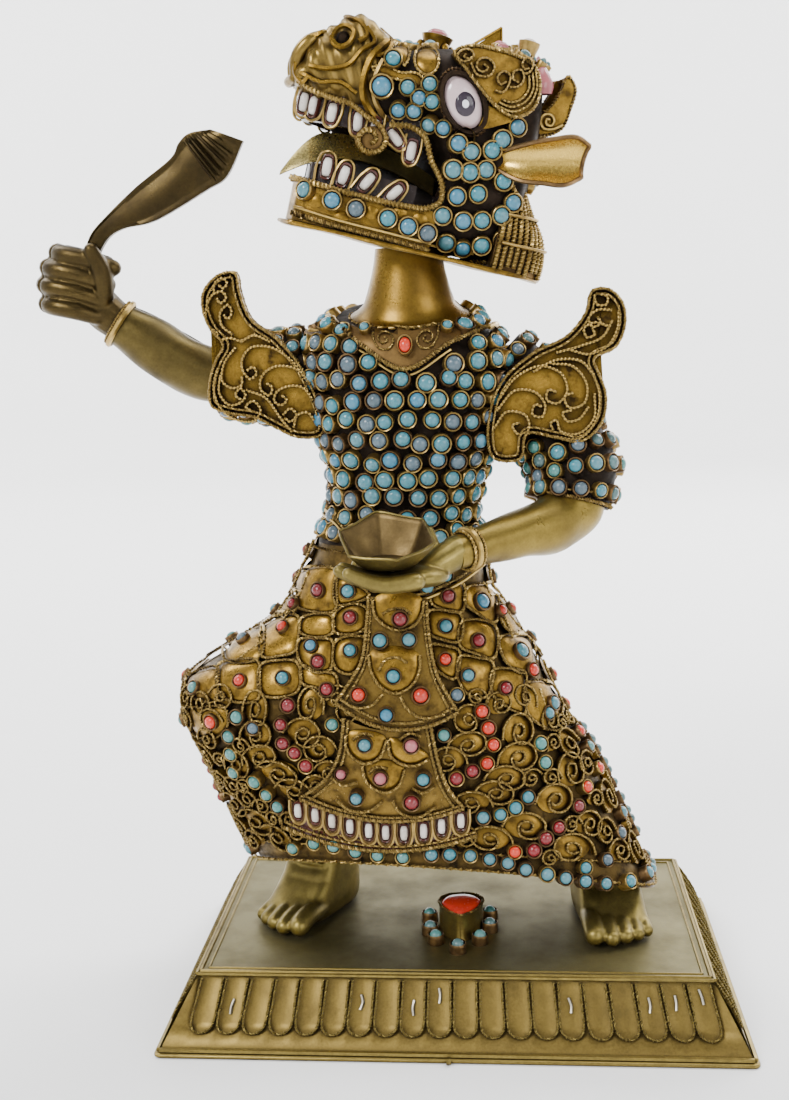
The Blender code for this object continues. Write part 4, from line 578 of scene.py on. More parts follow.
# Each metal: its bright colour and its browned colour, which stands for patina and painted shade, the scale
# and weight of its blotches, its roughness, and the reach of its browned hollows in millimetres. A name
# stands for one of the panel's colours.
METALS = {
    "gilt_wire": ("gilt", BROWN, 500, 0.25, 0.3, 1.1),
    "gilt_rim": ((0.36, 0.24, 0.07), BROWN, 420, 0.4, 0.32, 1.0),
    "gilt_sheet": ((0.31, 0.18, 0.024), (0.022, 0.012, 0.005), 210, 0.85, 0.25, 3.8),
    "brown_sheet": ((0.17, 0.1, 0.03), (0.03, 0.017, 0.008), 130, 0.75, 0.38, 2.4),
    "bodice_ground": ((0.022, 0.014, 0.009), (0.006, 0.005, 0.004), 200, 0.8, 0.55, 2.5),
    "aged_brass": ("brass", (0.07, 0.045, 0.018), 90, 0.55, 0.36, 2.5),
    "foot_sheet": ((0.235, 0.18, 0.048), (0.06, 0.044, 0.014), 70, 0.65, 0.36, 3.2),
    "arm_sheet": ((0.25, 0.175, 0.036), (0.075, 0.05, 0.014), 60, 0.6, 0.3, 2.2),
    "raised_arm_sheet": ((0.105, 0.076, 0.022), (0.032, 0.023, 0.008), 70, 0.65, 0.32, 2.4),
    "fist_sheet": ((0.062, 0.042, 0.013), (0.018, 0.012, 0.005), 90, 0.65, 0.32, 3.0),
    "neck_sheet": ((0.2, 0.118, 0.017), (0.04, 0.022, 0.006), 70, 0.6, 0.25, 2.2),
    "cup_sheet": ((0.17, 0.13, 0.036), (0.06, 0.04, 0.014), 90, 0.65, 0.34, 2.2),
    "cup_inside": ((0.105, 0.07, 0.025), (0.04, 0.026, 0.01), 120, 0.7, 0.36, 5.0),
    "knife_sheet": ((0.05, 0.034, 0.011), (0.012, 0.008, 0.004), 60, 0.75, 0.28, 1.5),
    "flame_ground": ((0.45, 0.265, 0.036), (0.016, 0.009, 0.004), 170, 0.95, 0.2, 5.0),
    "apron_ground": ((0.22, 0.135, 0.028), (0.02, 0.012, 0.005), 210, 0.9, 0.3, 4.0),
    "nose_sheet": ((0.23, 0.15, 0.034), (0.03, 0.018, 0.007), 130, 0.75, 0.28, 4.0),
    "ear_sheet": ((0.66, 0.44, 0.09), (0.22, 0.13, 0.03), 60, 0.35, 0.24, 2.2),
    "tongue_sheet": ((0.44, 0.35, 0.12), (0.17, 0.12, 0.04), 60, 0.35, 0.28, 2.0),
    "plinth_brass": ("plinth", (0.085, 0.07, 0.032), 60, 0.6, 0.44, 3.0),
    "plinth_petals": ((0.21, 0.145, 0.036), (0.045, 0.032, 0.012), 90, 0.6, 0.34, 3.0),
    "plinth_wire": ((0.24, 0.175, 0.045), (0.05, 0.036, 0.014), 200, 0.45, 0.34, 1.6),
    "bezel_brown": ((0.18, 0.108, 0.045), (0.035, 0.02, 0.011), 200, 0.6, 0.38, 1.5),
    "bezel_seat": ((0.09, 0.04, 0.024), (0.03, 0.014, 0.009), 400, 0.6, 0.5, 1.0),
    "skirt_ground": ((0.13, 0.08, 0.02), (0.009, 0.006, 0.003), 260, 1.0, 0.36, 4.6),
    "dark_gap": ((0.03, 0.018, 0.01), (0.01, 0.007, 0.005), 200, 0.5, 0.6, 3.0),
    "solder": ((0.42, 0.38, 0.3), (0.16, 0.13, 0.08), 200, 0.3, 0.35, 1.5),
}
# Each stone: its two colours, the colour and weight of its veins, and its coat.
STONES = {
    "turquoise": ("turquoise", (0.075, 0.185, 0.215), (0.04, 0.03, 0.022), 0.4),
    "blue_turquoise": ((0.038, 0.16, 0.25), (0.07, 0.19, 0.26), (0.04, 0.03, 0.024), 0.35),
    "dull_blue": ((0.085, 0.13, 0.16), (0.06, 0.09, 0.11), (0.04, 0.03, 0.024), 0.5),
    "dull_turquoise": ((0.08, 0.16, 0.16), (0.055, 0.1, 0.1), (0.04, 0.028, 0.02), 0.5),
    "green_turquoise": ((0.05, 0.19, 0.17), (0.085, 0.21, 0.2), (0.05, 0.035, 0.02), 0.4),
    "coral": ("coral", (0.4, 0.026, 0.014), (0.2, 0.03, 0.02), 0.3),
    "crimson": ((0.19, 0.014, 0.018), (0.15, 0.022, 0.024), (0.06, 0.01, 0.01), 0.35),
    "pink_stone": ((0.36, 0.11, 0.12), (0.27, 0.08, 0.09), (0.15, 0.05, 0.045), 0.3),
    "white_inlay": ((0.62, 0.58, 0.53), (0.46, 0.41, 0.35), (0.22, 0.14, 0.1), 0.35),
    "red_brown": ((0.075, 0.02, 0.014), (0.045, 0.014, 0.01), (0.015, 0.007, 0.005), 0.45),
    "eye_white": ((0.52, 0.4, 0.4), (0.48, 0.36, 0.37), (0.3, 0.2, 0.2), 0.2, 1.0),
    "pupil": ((0.03, 0.022, 0.032), (0.02, 0.017, 0.023), (0.01, 0.008, 0.01), 0.3, 0.15),
    # A pale disc painted as a highlight on the pupil.
    "pupil_glow": ((0.75, 0.74, 0.76), (0.7, 0.7, 0.74), (0.5, 0.5, 0.5), 0.05, 1.0),
    # A near-black finish painted as the shade inside the mouth.
    "mouth_dark": ((0.018, 0.009, 0.007), (0.012, 0.007, 0.006), (0.006, 0.005, 0.005), 0.2, 0.0),
}


def finish_named(name):
    """The material of a finish, made on first use."""
    label = "finish_" + name
    known = bpy.data.materials.get(label)
    if known:
        return known
    return metal(label, *METALS[name]) if name in METALS else stone(label, *STONES[name])


# Camera and stage

CAMERA_PLACE = (14.9, -427.0, 217.6)
CAMERA_YAW = 0.0769
CAMERA_PITCH = 0.1686
CAMERA_ROLL = -0.0231
CAMERA_LENS = 44.36


PHOTO_SIZE = (789, 1100)
SENSOR = 36.0


def view_axes():
    """The camera's own directions: across, above and ahead."""
    cy, sy = math.cos(CAMERA_YAW), math.sin(CAMERA_YAW)
    cp, sp = math.cos(CAMERA_PITCH), math.sin(CAMERA_PITCH)
    cr, sr = math.cos(CAMERA_ROLL), math.sin(CAMERA_ROLL)
    level = Vector((-sy, cy, 0))
    right = Vector((cy, sy, 0))
    ahead = level * cp - Vector((0, 0, sp))
    above = level * sp + Vector((0, 0, cp))
    return right * cr + above * sr, above * cr - right * sr, ahead


def view_ray(a, b):
    """The line of sight through a pixel of the photograph, in the figure's millimetres."""
    across, above, ahead = view_axes()
    focal = CAMERA_LENS / SENSOR * PHOTO_SIZE[1]
    way = ahead + across * ((a - PHOTO_SIZE[0] / 2) / focal) - above * ((b - PHOTO_SIZE[1] / 2) / focal)
    return Vector(CAMERA_PLACE) - Vector((0, 0, PLINTH_HEIGHT)), way.normalized()


def make_camera():
    """The photograph's view: a little above, turned slightly left."""
    data = bpy.data.cameras.new("view_camera")
    data.sensor_width = SENSOR
    data.lens = CAMERA_LENS
    data.clip_start, data.clip_end = 0.01, 20.0
    camera = bpy.data.objects.new("view_camera", data)
    bpy.context.scene.collection.objects.link(camera)
    across, above, ahead = view_axes()
    turn = Matrix((across, above, -ahead)).transposed()
    camera.matrix_world = Matrix.Translation(Vector(CAMERA_PLACE) * MM) @ turn.to_4x4()
    bpy.context.scene.camera = camera


# Each lamp: its place and aim in metres, its width, and its power in watts.
LIGHTS = {
    "key_light": ((-0.75, -1.05, 1.05), (0, 0, 0.15), 0.5, 24.0),
    "fill_light": ((0.95, -0.95, 0.55), (0, 0, 0.15), 0.7, 8.0),
    "top_light": ((0.1, 0.1, 1.35), (0, 0, 0.15), 0.7, 9.0),
    "rim_light": ((0.6, 1.0, 0.8), (0, 0, 0.15), 0.6, 8.0),
    "left_backdrop_light": ((-1.0, 0.6, 1.5), (-0.4, 2.3, 0.2), 1.0, 60.0),
    "right_backdrop_light": ((1.0, 0.6, 1.5), (0.4, 2.3, 0.2), 1.0, 60.0),
}
# The floor's radius and height, in metres.
FLOOR_PROFILE = ((0.0, 0.0), (1.6, 0.0), (1.9, 0.05), (2.15, 0.2), (2.3, 0.45), (2.35, 0.8), (2.35, 1.6))


def make_stage():
    """A plain pale floor, swept up far off into a low wall, under soft lamps."""
    points, faces = revolve(FLOOR_PROFILE, 96)
    mesh = bpy.data.meshes.new("floor")
    mesh.from_pydata(points.tolist(), [], [tuple(reversed(face)) for face in faces])
    mesh.shade_smooth()
    material = bpy.data.materials.new("pale_floor")
    material.use_nodes = True
    tree = material.node_tree
    shader = tree.nodes["Principled BSDF"]
    place = add_node(tree, "ShaderNodeTexCoord").outputs["Object"]
    tint = mix(tree, ramp(tree, noise(tree, place, 3.0), 0.3, 0.7), (0.86, 0.86, 0.855, 1),
        (0.88, 0.88, 0.875, 1))
    tree.links.new(tint, shader.inputs["Base Color"])
    shader.inputs["Roughness"].default_value = 0.7
    mesh.materials.append(material)
    floor = bpy.data.objects.new("floor", mesh)
    bpy.context.scene.collection.objects.link(floor)
    for name, (place, aim, width, power) in LIGHTS.items():
        lamp = bpy.data.lights.new(name, "AREA")
        lamp.size = width
        lamp.energy = power
        obj = bpy.data.objects.new(name, lamp)
        obj.location = place
        obj.rotation_euler = (Vector(aim) - Vector(place)).to_track_quat("-Z", "Y").to_euler()
        bpy.context.scene.collection.objects.link(obj)
    world = bpy.data.worlds.new("pale_world")
    world.use_nodes = True
    world.node_tree.nodes["Background"].inputs["Color"].default_value = (0.93, 0.95, 1.0, 1)
    world.node_tree.nodes["Background"].inputs["Strength"].default_value = 0.45
    bpy.context.scene.world = world


# Plinth

TOP_CORNER = (77.5, 45.0)
FOOT_CORNER = (88.5, 56.0)
PLINTH_FOOT = -20.6
PETAL_PITCH = 7.75
PETAL_FAN = 0.45
PETAL_TOP = 1.9
PETAL_SHOULDER = 15.0
PETAL_DEPTH = 1.5
FLANK_BOW = 1.2
LOOSE_PETAL = 14


def plinth_side_chart(turn):
    """A chart of one sloping side: across from its middle, and down its slope."""
    angle = turn * math.pi / 2
    half_top = TOP_CORNER[turn % 2]
    out_top, out_foot = TOP_CORNER[1 - turn % 2], FOOT_CORNER[1 - turn % 2]
    slope = math.hypot(out_foot - out_top, PLINTH_FOOT)
    c, s = math.cos(angle), math.sin(angle)
    widen = FOOT_CORNER[turn % 2] / half_top - 1
    bow = FLANK_BOW if turn % 2 else 0.0

    def chart(a, b, lift=0.0):
        share = b / slope
        x = a * (1 + PETAL_FAN * widen * share)
        y = -(out_top + (out_foot - out_top) * share + bow * math.sin(math.pi * share))
        normal = unit(np.array((0, PLINTH_FOOT, out_foot - out_top)))
        point = np.array((x, y, PLINTH_FOOT * share)) + normal * lift
        turned = np.array((point[0] * c - point[1] * s, point[0] * s + point[1] * c, point[2]))
        return turned, np.array((normal[0] * c - normal[1] * s, normal[0] * s + normal[1] * c, normal[2]))

    return chart, half_top, slope, widen


def petal_line(centre, half, tilt=0.0):
    """The U of one petal, from its top left round to its top right."""
    points = [(-half, PETAL_TOP), (-half, 8.0), (-half, PETAL_SHOULDER - 0.5)]
    for angle in np.linspace(0.12 * math.pi, 0.88 * math.pi, 5):
        points.append((-half * math.cos(angle), PETAL_SHOULDER - 0.5 + half * math.sin(angle)))
    points += [(half, PETAL_SHOULDER - 0.5), (half, 8.0), (half, PETAL_TOP)]
    c, s = math.cos(tilt), math.sin(tilt)
    return [(centre + a * c - (b - 8) * s, 8 + a * s + (b - 8) * c) for a, b in points]


def plinth_side(shape, turn):
    """One side: hollow petals in a row inside twisted wires, on a plain sheet."""
    chart, half_top, slope, widen = plinth_side_chart(turn)
    count = round(2 * half_top / PETAL_PITCH)
    pitch = (2 * half_top - 1.6) / count
    half = pitch / 2 - 0.55
    rows = np.concatenate([[0, 1.2], np.linspace(PETAL_TOP, PETAL_SHOULDER + half + 0.4, 9),
        [slope - 1.6, slope]])
    columns = 9
    edges = [-half_top, *((-count / 2 + i / columns) * pitch for i in range(count * columns + 1)), half_top]
    grid = []
    for b in rows:
        line = []
        share = b / slope
        limit = half_top * (1 + widen * share) / (1 + PETAL_FAN * widen * share)
        for i, a in enumerate(edges):
            if i in (0, len(edges) - 1):
                a = math.copysign(limit, a)
            within = (a / pitch + count / 2) % 1.0 - 0.5
            sunk = 0 < i < len(edges) - 1 and b < PETAL_SHOULDER + half
            line.append(chart(a, b, -PETAL_DEPTH - 0.5 * (1 - 4 * within ** 2) if sunk else -0.25)[0])
        grid.append(line)
    shape.add_grid(grid[::-1], "plinth_petals")
    draw = random.Random(40 + turn)
    for i in range(count):
        centre = (i + 0.5 - count / 2) * pitch
        tilt = 0.05 if turn == 0 and i == LOOSE_PETAL else draw.uniform(-0.012, 0.012)
        line = petal_line(centre, half, tilt)
        raise_wire(shape, lambda a, b: chart(a, b, -PETAL_DEPTH), line, PETAL_DEPTH, 0.5,
                   "plinth_petals", "plinth_wire", step=0.8)
        if draw.random() < 0.3:
            start = draw.uniform(3, 8)
            line = [(centre + draw.uniform(-0.4, 0.4), start + k * 2.2) for k in range(3)]
            lay(shape, lambda a, b: chart(a, b, -PETAL_DEPTH - 0.3), line, 0.45, "solder", twisted=False)
    for b, radius in ((0.6, 0.55), (slope - 0.6, 0.75)):
        limit = half_top * (1 + widen * b / slope) / (1 + PETAL_FAN * widen * b / slope)
        lay(shape, chart, [(-limit, b), (0, b), (limit, b)], radius, "plinth_wire", twisted=False, step=4)


def make_plinth():
    """Top sheet, sides, lip and bottom plate."""
    shape = Shape()
    for turn in range(4):
        plinth_side(shape, turn)
    xs = np.linspace(-TOP_CORNER[0], TOP_CORNER[0], 60)
    ys = np.linspace(-TOP_CORNER[1], TOP_CORNER[1], 36)
    top = [[(x, y, plinth_top(x, y)) for x in xs] for y in ys]
    shape.add_grid(top, "plinth_brass")
    for inset, radius in ((0.4, 0.62), (2.6, 0.42)):
        w, d = TOP_CORNER[0] - inset, TOP_CORNER[1] - inset
        corners = ((-w, -d), (w, -d), (w, d), (-w, d))
        for first, last in zip(corners, (*corners[1:], corners[0])):
            line = np.linspace((*first, 0.0), (*last, 0.0), 40)
            add_wire(shape, line, (0, 0, 1), radius, "plinth_wire", False)
    w, d = FOOT_CORNER[0] + 1.5, FOOT_CORNER[1] + 1.5
    ring = rounded_rectangle(w, d, 2.0)
    levels = ((-22.0, 1.0), (-21.9, 0.3), (-21.5, 0.0), (-21.0, 0.0), (-20.7, 0.3), (-20.5, 1.4))
    plate = [[(x * (1 - inset / w), y * (1 - inset / d), z) for x, y in ring] for z, inset in levels]
    shape.add_grid(plate, "plinth_wire", closed=True, caps=(True, True))
    add_wire(shape, [(-1, -57.8, -20.5), (-1, -58.8, -21.3)], (1, 0, 0), 0.8, "plinth_wire", False)
    shape.build("plinth", ("plinth", "base_plate"), slot="plinth_brass")


def plinth_top(x, y):
    """The top sheet sags a little and rises to its wires."""
    edge = min(TOP_CORNER[0] - abs(x), TOP_CORNER[1] - abs(y))
    waves = 0.10 * math.sin(x * 0.11 + 1.3) * math.cos(y * 0.09) + 0.06 * math.sin(x * 0.23 + y * 0.17)
    return waves * min(1.0, edge / 6) - 0.02


def rounded_rectangle(w, d, radius, steps=4):
    points = []
    for sx, sy, start in ((1, 1, 0), (-1, 1, 90), (-1, -1, 180), (1, -1, 270)):
        for k in range(steps + 1):
            angle = math.radians(start + 90 * k / steps)
            points.append((sx * (w - radius) + radius * math.cos(angle),
                sy * (d - radius) + radius * math.sin(angle)))
    return points


BOX_OUTLINE = (
    (-7.0, 0.3), (-5.4, 4.6), (-1.6, 6.4), (3.8, 6.2), (7.0, 3.0), (6.6, -1.6), (2.4, -8.4), (0.0, -9.9),
    (-2.6, -8.0), (-6.2, -2.8))
# The horseshoe's stones in X and Y.
RING_STONES = (
    (-8.5, -7.6), (-8.0, -17.3), (-5.8, -23.7), (1.3, -29.8), (8.1, -23.4), (11.3, -14.6), (11.2, -5.6))


def make_plinth_jewel():
    """A coral drop in a tall box bezel, in a horseshoe of small stones."""
    shape = Shape()
    outline = smooth_line([(x + 1.9, y - 13.0) for x, y in BOX_OUTLINE], 0.9, closed=True)
    centre = outline.mean(0)

    def ring(share, z):
        return [(*(centre + (point - centre) * share), z) for point in outline]

    walls = [ring(1.06, 0.05), ring(1.0, 1.0), ring(1.0, 7.6), ring(1.05, 8.9), ring(1.0, 9.3),
        ring(0.9, 9.0), ring(0.86, 7.4)]
    shape.add_grid(walls, "plinth_wire", closed=True)
    stone_rings = [ring(0.92, 7.8), ring(0.86, 9.2), ring(0.66, 9.9), ring(0.34, 10.3), ring(0.02, 10.4)]
    shape.add_grid(stone_rings, "coral", closed=True, caps=(False, True))
    rim = np.array(ring(1.02, 9.1))
    add_wire(shape, rim, (0, 0, 1), 0.5, "gilt_rim", closed=True)
    for i, (x, y) in enumerate(RING_STONES):
        finish = "dull_turquoise" if i % 2 else "green_turquoise"
        set_stone(shape, (x, y, 0.9), (0.04 * math.sin(i * 2), 0.05 * math.cos(i), 1), 2.6, finish, tall=1.3,
                  rim="bezel_brown", towards=(0, 1, 0))
    nodes = ["plinth_coral_setting"] + [f"plinth_bezel_{i + 1}" for i in range(7)]
    shape.build("plinth_jewels", nodes, slot="coral")


# Skirt

# Each section: its height, left and right edges, and half depth.
SKIRT_SECTIONS = (
    (16, -66.0, 66.0, 32.0), (28, -70.5, 58.5, 31.5), (42, -75.5, 51.5, 31.0), (59, -82.0, 42.5, 31.0),
    (71, -87.4, 34.5, 30.5), (77, -88.0, 32.0, 30.0), (83, -85.0, 29.5, 28.5), (89, -77.0, 26.8, 27.0),
    (95, -67.0, 22.0, 25.5), (100, -58.5, 19.0, 24.0), (105, -54.0, 16.0, 23.0), (110, -50.5, 12.7, 22.0),
    (118, -46.5, 11.0, 21.0), (127, -42.6, 8.9, 20.0))
SKIRT_POWER = 2.4
FREE_HEM_TOP = 60


def hem_height(x, y):
    """The hem dips to the sides, and runs lower to the right."""
    return 15.8 - 0.0687 * x + 12.0 * np.maximum(0.0, -y / 32.0) ** 1.5


def skirt_skin():
    rings = []
    for z, left, right, depth in SKIRT_SECTIONS:
        x, y = superellipse(RING_ANGLES, (right - left) / 2, depth, SKIRT_POWER)
        x = x + (left + right) / 2
        height = np.full_like(x, z)
        if z < FREE_HEM_TOP:
            share = (z - SKIRT_SECTIONS[0][0]) / (FREE_HEM_TOP - SKIRT_SECTIONS[0][0])
            hem = hem_height(x, y)
            height = hem + (FREE_HEM_TOP - hem) * share
        rings.append(np.stack([x, y, height], axis=1))
    return Skin([row[0] for row in SKIRT_SECTIONS], rings, 160, 72)


SCALE_LINE = (
    (-0.5, 0.52), (-0.49, 0.1), (-0.38, -0.24), (0.0, -0.5), (0.38, -0.24), (0.49, 0.1), (0.5, 0.52))
CURL_LINE = (
    (-0.5, 0.42), (-0.3, -0.1), (0.02, -0.36), (0.36, -0.24), (0.42, 0.08), (0.18, 0.3), (-0.1, 0.22),
    (-0.16, -0.02), (0.04, -0.14), (0.2, 0.02), (0.08, 0.12))
TOOTH_CELL = ((-0.5, 0.5), (-0.5, -0.1), (-0.3, -0.42), (0.0, -0.5), (0.3, -0.42), (0.5, -0.1), (0.5, 0.5))


def scaled(line, width, height, turn=0.0, flip=1):
    c, s = math.cos(turn), math.sin(turn)
    points = [(a * width * flip, b * height) for a, b in line]
    return [(a * c - b * s, a * s + b * c) for a, b in points]


def pillow(shape, chart, width, height, finish, rise=0.8, steps=5, base=0.05, foot=0.0):
    """A small plate bulged in the middle and raised towards its foot, to catch the light in a cell."""
    grid = []
    for i in range(steps):
        line = []
        for j in range(steps):
            a, b = 2 * j / (steps - 1) - 1, 2 * i / (steps - 1) - 1
            u, v = a * math.sqrt(1 - b * b / 2), b * math.sqrt(1 - a * a / 2)
            point, normal = chart(u * width / 2, v * height / 2)
            lift = base + rise * (1 - max(abs(a), abs(b)) ** 2) + foot * (1 - b) / 2
            line.append(point + normal * lift)
        grid.append(line)
    shape.add_grid(grid, finish)


# The rows behind: the height and tallness of scales, and the heights of curls.
SKIRT_SCALE_ROWS = ((122.5, 11.0), (113.0, 11.5), (102.5, 12.0), (91.5, 12.6), (80.0, 13.0), (69.0, 12.6))
SKIRT_CURL_ROWS = (60.5, 52.5, 44.5, 36.5, 28.5)
CURL_CELL = (
    (-0.56, -0.22), (-0.46, 0.16), (-0.18, 0.44), (0.18, 0.46), (0.44, 0.22), (0.46, -0.14), (0.22, -0.42),
    (-0.1, -0.36), (-0.18, -0.06), (-0.02, 0.18), (0.16, 0.1), (0.14, -0.12), (-0.04, -0.2), (-0.12, -0.12))
CHAIN_STONES = ("green_turquoise", "crimson", "coral", "dull_turquoise")

# The close view of the skirt's front: its corner in the photograph's pixels, its enlargement, and how many
# of its units make a millimetre.
CLOSE_CORNER = (170, 540)
CLOSE_SCALE = 3.0
CLOSE_MM = 9.6
CURL_GROWTH = 1.2
FILLER_REACHES = (3.0, 2.1)
# Each plate: its outline, its stone's place, finish and radius in millimetres.
SKIRT_PLATES = (
    (((392, 100), (500, 90), (505, 150), (498, 213), (440, 218), (392, 205)), (455, 152, "crimson", 2.7)),
    (((507, 110), (560, 130), (600, 165), (550, 190), (507, 195)), (540, 153, "turquoise", 2.7)),
    (
        ((790, 150), (830, 138), (872, 130), (880, 172), (872, 215), (820, 210), (780, 185)),
        (828, 167, "crimson", 2.6)),
    (
        ((885, 142), (935, 130), (968, 130), (976, 190), (968, 250), (920, 225), (880, 190)),
        (925, 190, "blue_turquoise", 3.2)),
    (((498, 222), (560, 190), (592, 205), (590, 262), (545, 284), (498, 276)), (545, 232, "crimson", 2.6)),
    (((398, 240), (440, 222), (490, 228), (490, 280), (430, 294), (395, 280)), None),
    (
        ((286, 262), (330, 232), (390, 230), (390, 298), (380, 335), (330, 352), (286, 356)),
        (348, 270, "coral", 2.4)),
    (((166, 320), (220, 280), (280, 264), (281, 345), (270, 358), (166, 356)), (228, 307, "dull_blue", 2.5)),
    (
        ((392, 304), (440, 298), (488, 302), (490, 350), (485, 386), (430, 396), (390, 360)),
        (428, 322, "blue_turquoise", 2.4)),
    (
        ((504, 302), (550, 288), (587, 294), (586, 352), (570, 385), (540, 403), (504, 390)),
        (543, 333, "turquoise", 2.5)),
    (
        ((778, 212), (820, 212), (866, 222), (876, 262), (866, 304), (812, 298), (777, 282)),
        (823, 258, "turquoise", 2.6)),
    (
        ((874, 244), (920, 240), (966, 258), (978, 310), (966, 356), (915, 342), (870, 322)),
        (917, 303, "crimson", 2.6)),
    (
        ((985, 292), (1035, 286), (1072, 300), (1090, 350), (1080, 398), (1040, 398), (1000, 365)),
        (1042, 340, "turquoise", 3.2)),
    (
        ((783, 314), (826, 318), (862, 330), (864, 388), (852, 416), (812, 400), (786, 370)),
        (823, 358, "coral", 2.4)),
    (
        ((870, 348), (920, 354), (962, 366), (964, 420), (944, 472), (900, 468), (872, 440)),
        (890, 405, "turquoise", 2.5)),
    (
        ((968, 388), (1012, 386), (1056, 396), (1060, 460), (1056, 522), (1005, 500), (968, 470)),
        (998, 445, "crimson", 2.5)),
    (
        ((1066, 428), (1110, 422), (1158, 450), (1170, 520), (1162, 572), (1110, 560), (1068, 520)),
        (1135, 492, "turquoise", 2.8)),
    (
        ((157, 375), (205, 365), (270, 368), (274, 420), (268, 478), (215, 488), (161, 470)),
        (218, 427, "coral", 2.5)),
    (
        ((282, 374), (330, 364), (383, 367), (396, 420), (386, 453), (335, 472), (281, 466)),
        (344, 416, "turquoise", 2.6)),
    (
        ((400, 378), (440, 394), (498, 404), (503, 450), (470, 478), (430, 445), (399, 430)),
        (473, 448, "crimson", 2.5)),
    (
        ((57, 420), (100, 394), (148, 387), (150, 440), (146, 483), (95, 480), (60, 460)),
        (85, 447, "green_turquoise", 2.5)),
    (
        ((982, 184), (1020, 192), (1045, 230), (1048, 284), (1010, 276), (984, 240)),
        (1008, 204, "coral", 2.2)),
    (((300, 192), (345, 152), (380, 152), (384, 214), (340, 220), (300, 224)), (345, 180, "crimson", 2.1)),
    (((62, 502), (110, 500), (168, 500), (178, 556), (150, 586), (82, 580)), (135, 540, "coral", 2.8)))
# Each curl: its place, width and height in the close view, its turn and its hand.
SKIRT_CURLS = (
    (260, 505, 62, 92, 0.1, 1), (425, 490, 64, 86, -0.2, -1), (262, 580, 84, 72, 0.2, 1),
    (402, 575, 86, 74, -0.3, 1), (272, 645, 96, 62, 0.3, 1), (450, 622, 78, 66, 0.3, -1),
    (330, 695, 104, 62, -0.4, 1), (378, 745, 92, 60, -0.3, 1), (205, 785, 92, 62, -0.3, 1),
    (265, 838, 108, 70, -0.2, 1), (330, 886, 92, 60, -0.6, 1), (895, 535, 76, 70, 0.3, -1),
    (890, 612, 98, 62, 0.1, 1), (836, 656, 84, 62, -0.1, -1), (1040, 570, 80, 84, 0.0, 1),
    (1040, 650, 100, 72, 0.0, 1), (1005, 712, 98, 60, -0.2, 1), (1190, 612, 70, 84, 0.3, -1),
    (1195, 690, 84, 84, 0.1, 1), (905, 784, 92, 56, 0.0, -1), (975, 755, 92, 58, -0.3, 1),
    (1150, 775, 94, 74, -0.2, 1), (1065, 855, 104, 66, -0.3, 1), (962, 893, 104, 62, -0.2, -1),
    (1205, 922, 108, 70, -0.2, -1), (1305, 770, 80, 88, 0.3, 1), (1385, 925, 76, 88, 0.1, 1),
    (1250, 850, 76, 62, -0.4, 1), (1130, 540, 60, 60, 0.2, 1), (120, 640, 70, 84, 0.2, -1),
    (130, 730, 74, 80, 0.1, 1), (1300, 872, 60, 66, 0.1, -1))
SKIRT_CHAINS = {
    "green_turquoise": (
        (207, 527), (184, 583), (191, 635), (200, 690), (261, 718), (297, 757), (330, 793), (489, 550),
        (820, 583), (1104, 612), (1118, 668), (1245, 625), (376, 917), (437, 903), (495, 912), (560, 928),
        (625, 940), (700, 946)),
    "turquoise": (
        (568, 112), (617, 133), (770, 140), (822, 106), (1069, 768), (1033, 800), (989, 820), (938, 828),
        (785, 938), (840, 938), (901, 942), (958, 953), (1012, 965), (1065, 985), (1128, 1000), (1182, 1012),
        (1240, 1022), (1300, 1030), (1370, 1025), (1423, 1002), (1240, 982), (1343, 820), (1190, 510)),
    "crimson": (
        (358, 496), (337, 550), (343, 605), (378, 633), (412, 672), (858, 712), (905, 690), (1217, 798),
        (1160, 860), (1123, 893), (1088, 928), (447, 366)),
    "coral": (
        (931, 513), (950, 563), (966, 613), (948, 668), (1274, 688), (1240, 742), (1032, 932), (1217, 580),
        (1120, 382)),
    "dull_blue": ((858, 465), (1340, 880), (255, 560), (1302, 960)),
}


def rise_at(skin, turn, z):
    """The rise at which the skin stands at a height, at one turn."""
    heights = np.array([skin.point(turn, k / 24)[2] for k in range(25)])
    return float(np.interp(z, heights, np.linspace(0, 1, 25)))


def close_ray(a, b):
    """The line of sight through a place in the close view."""
    return view_ray(CLOSE_CORNER[0] + a / CLOSE_SCALE, CLOSE_CORNER[1] + b / CLOSE_SCALE)


def close_chart(skin, out=0.0):
    """A chart of a skin as the close view shows it."""
    def chart(a, b):
        place, normal = skin.cast(*close_ray(a, b))
        return place + normal * out, normal
    return chart


def pinned_chart(skin, place, normal, out=0.0):
    """A chart in millimetres about a place on a skin, along its own tangents."""
    across, upward, _ = frame_at(normal)

    def chart(a, b):
        hit, facing, _, _ = skin.tree.find_nearest(Vector(place + across * a + upward * b))
        facing = np.array(facing)
        if np.dot(facing, normal) < 0:
            facing = -facing
        return np.array(hit) + facing * out, facing
    return chart


def in_view(place, normal, least=0.12):
    """Whether a place on the front faces the photograph's camera."""
    sight = unit(np.array(CAMERA_PLACE) - (0, 0, PLINTH_HEIGHT) - place)
    return np.dot(normal, sight) > least


def evened(points, passes=4):
    """A closed row of points with its jags smoothed out."""
    for _ in range(passes):
        points = (np.roll(points, 1, 0) + 2 * points + np.roll(points, -1, 0)) / 4
    return points


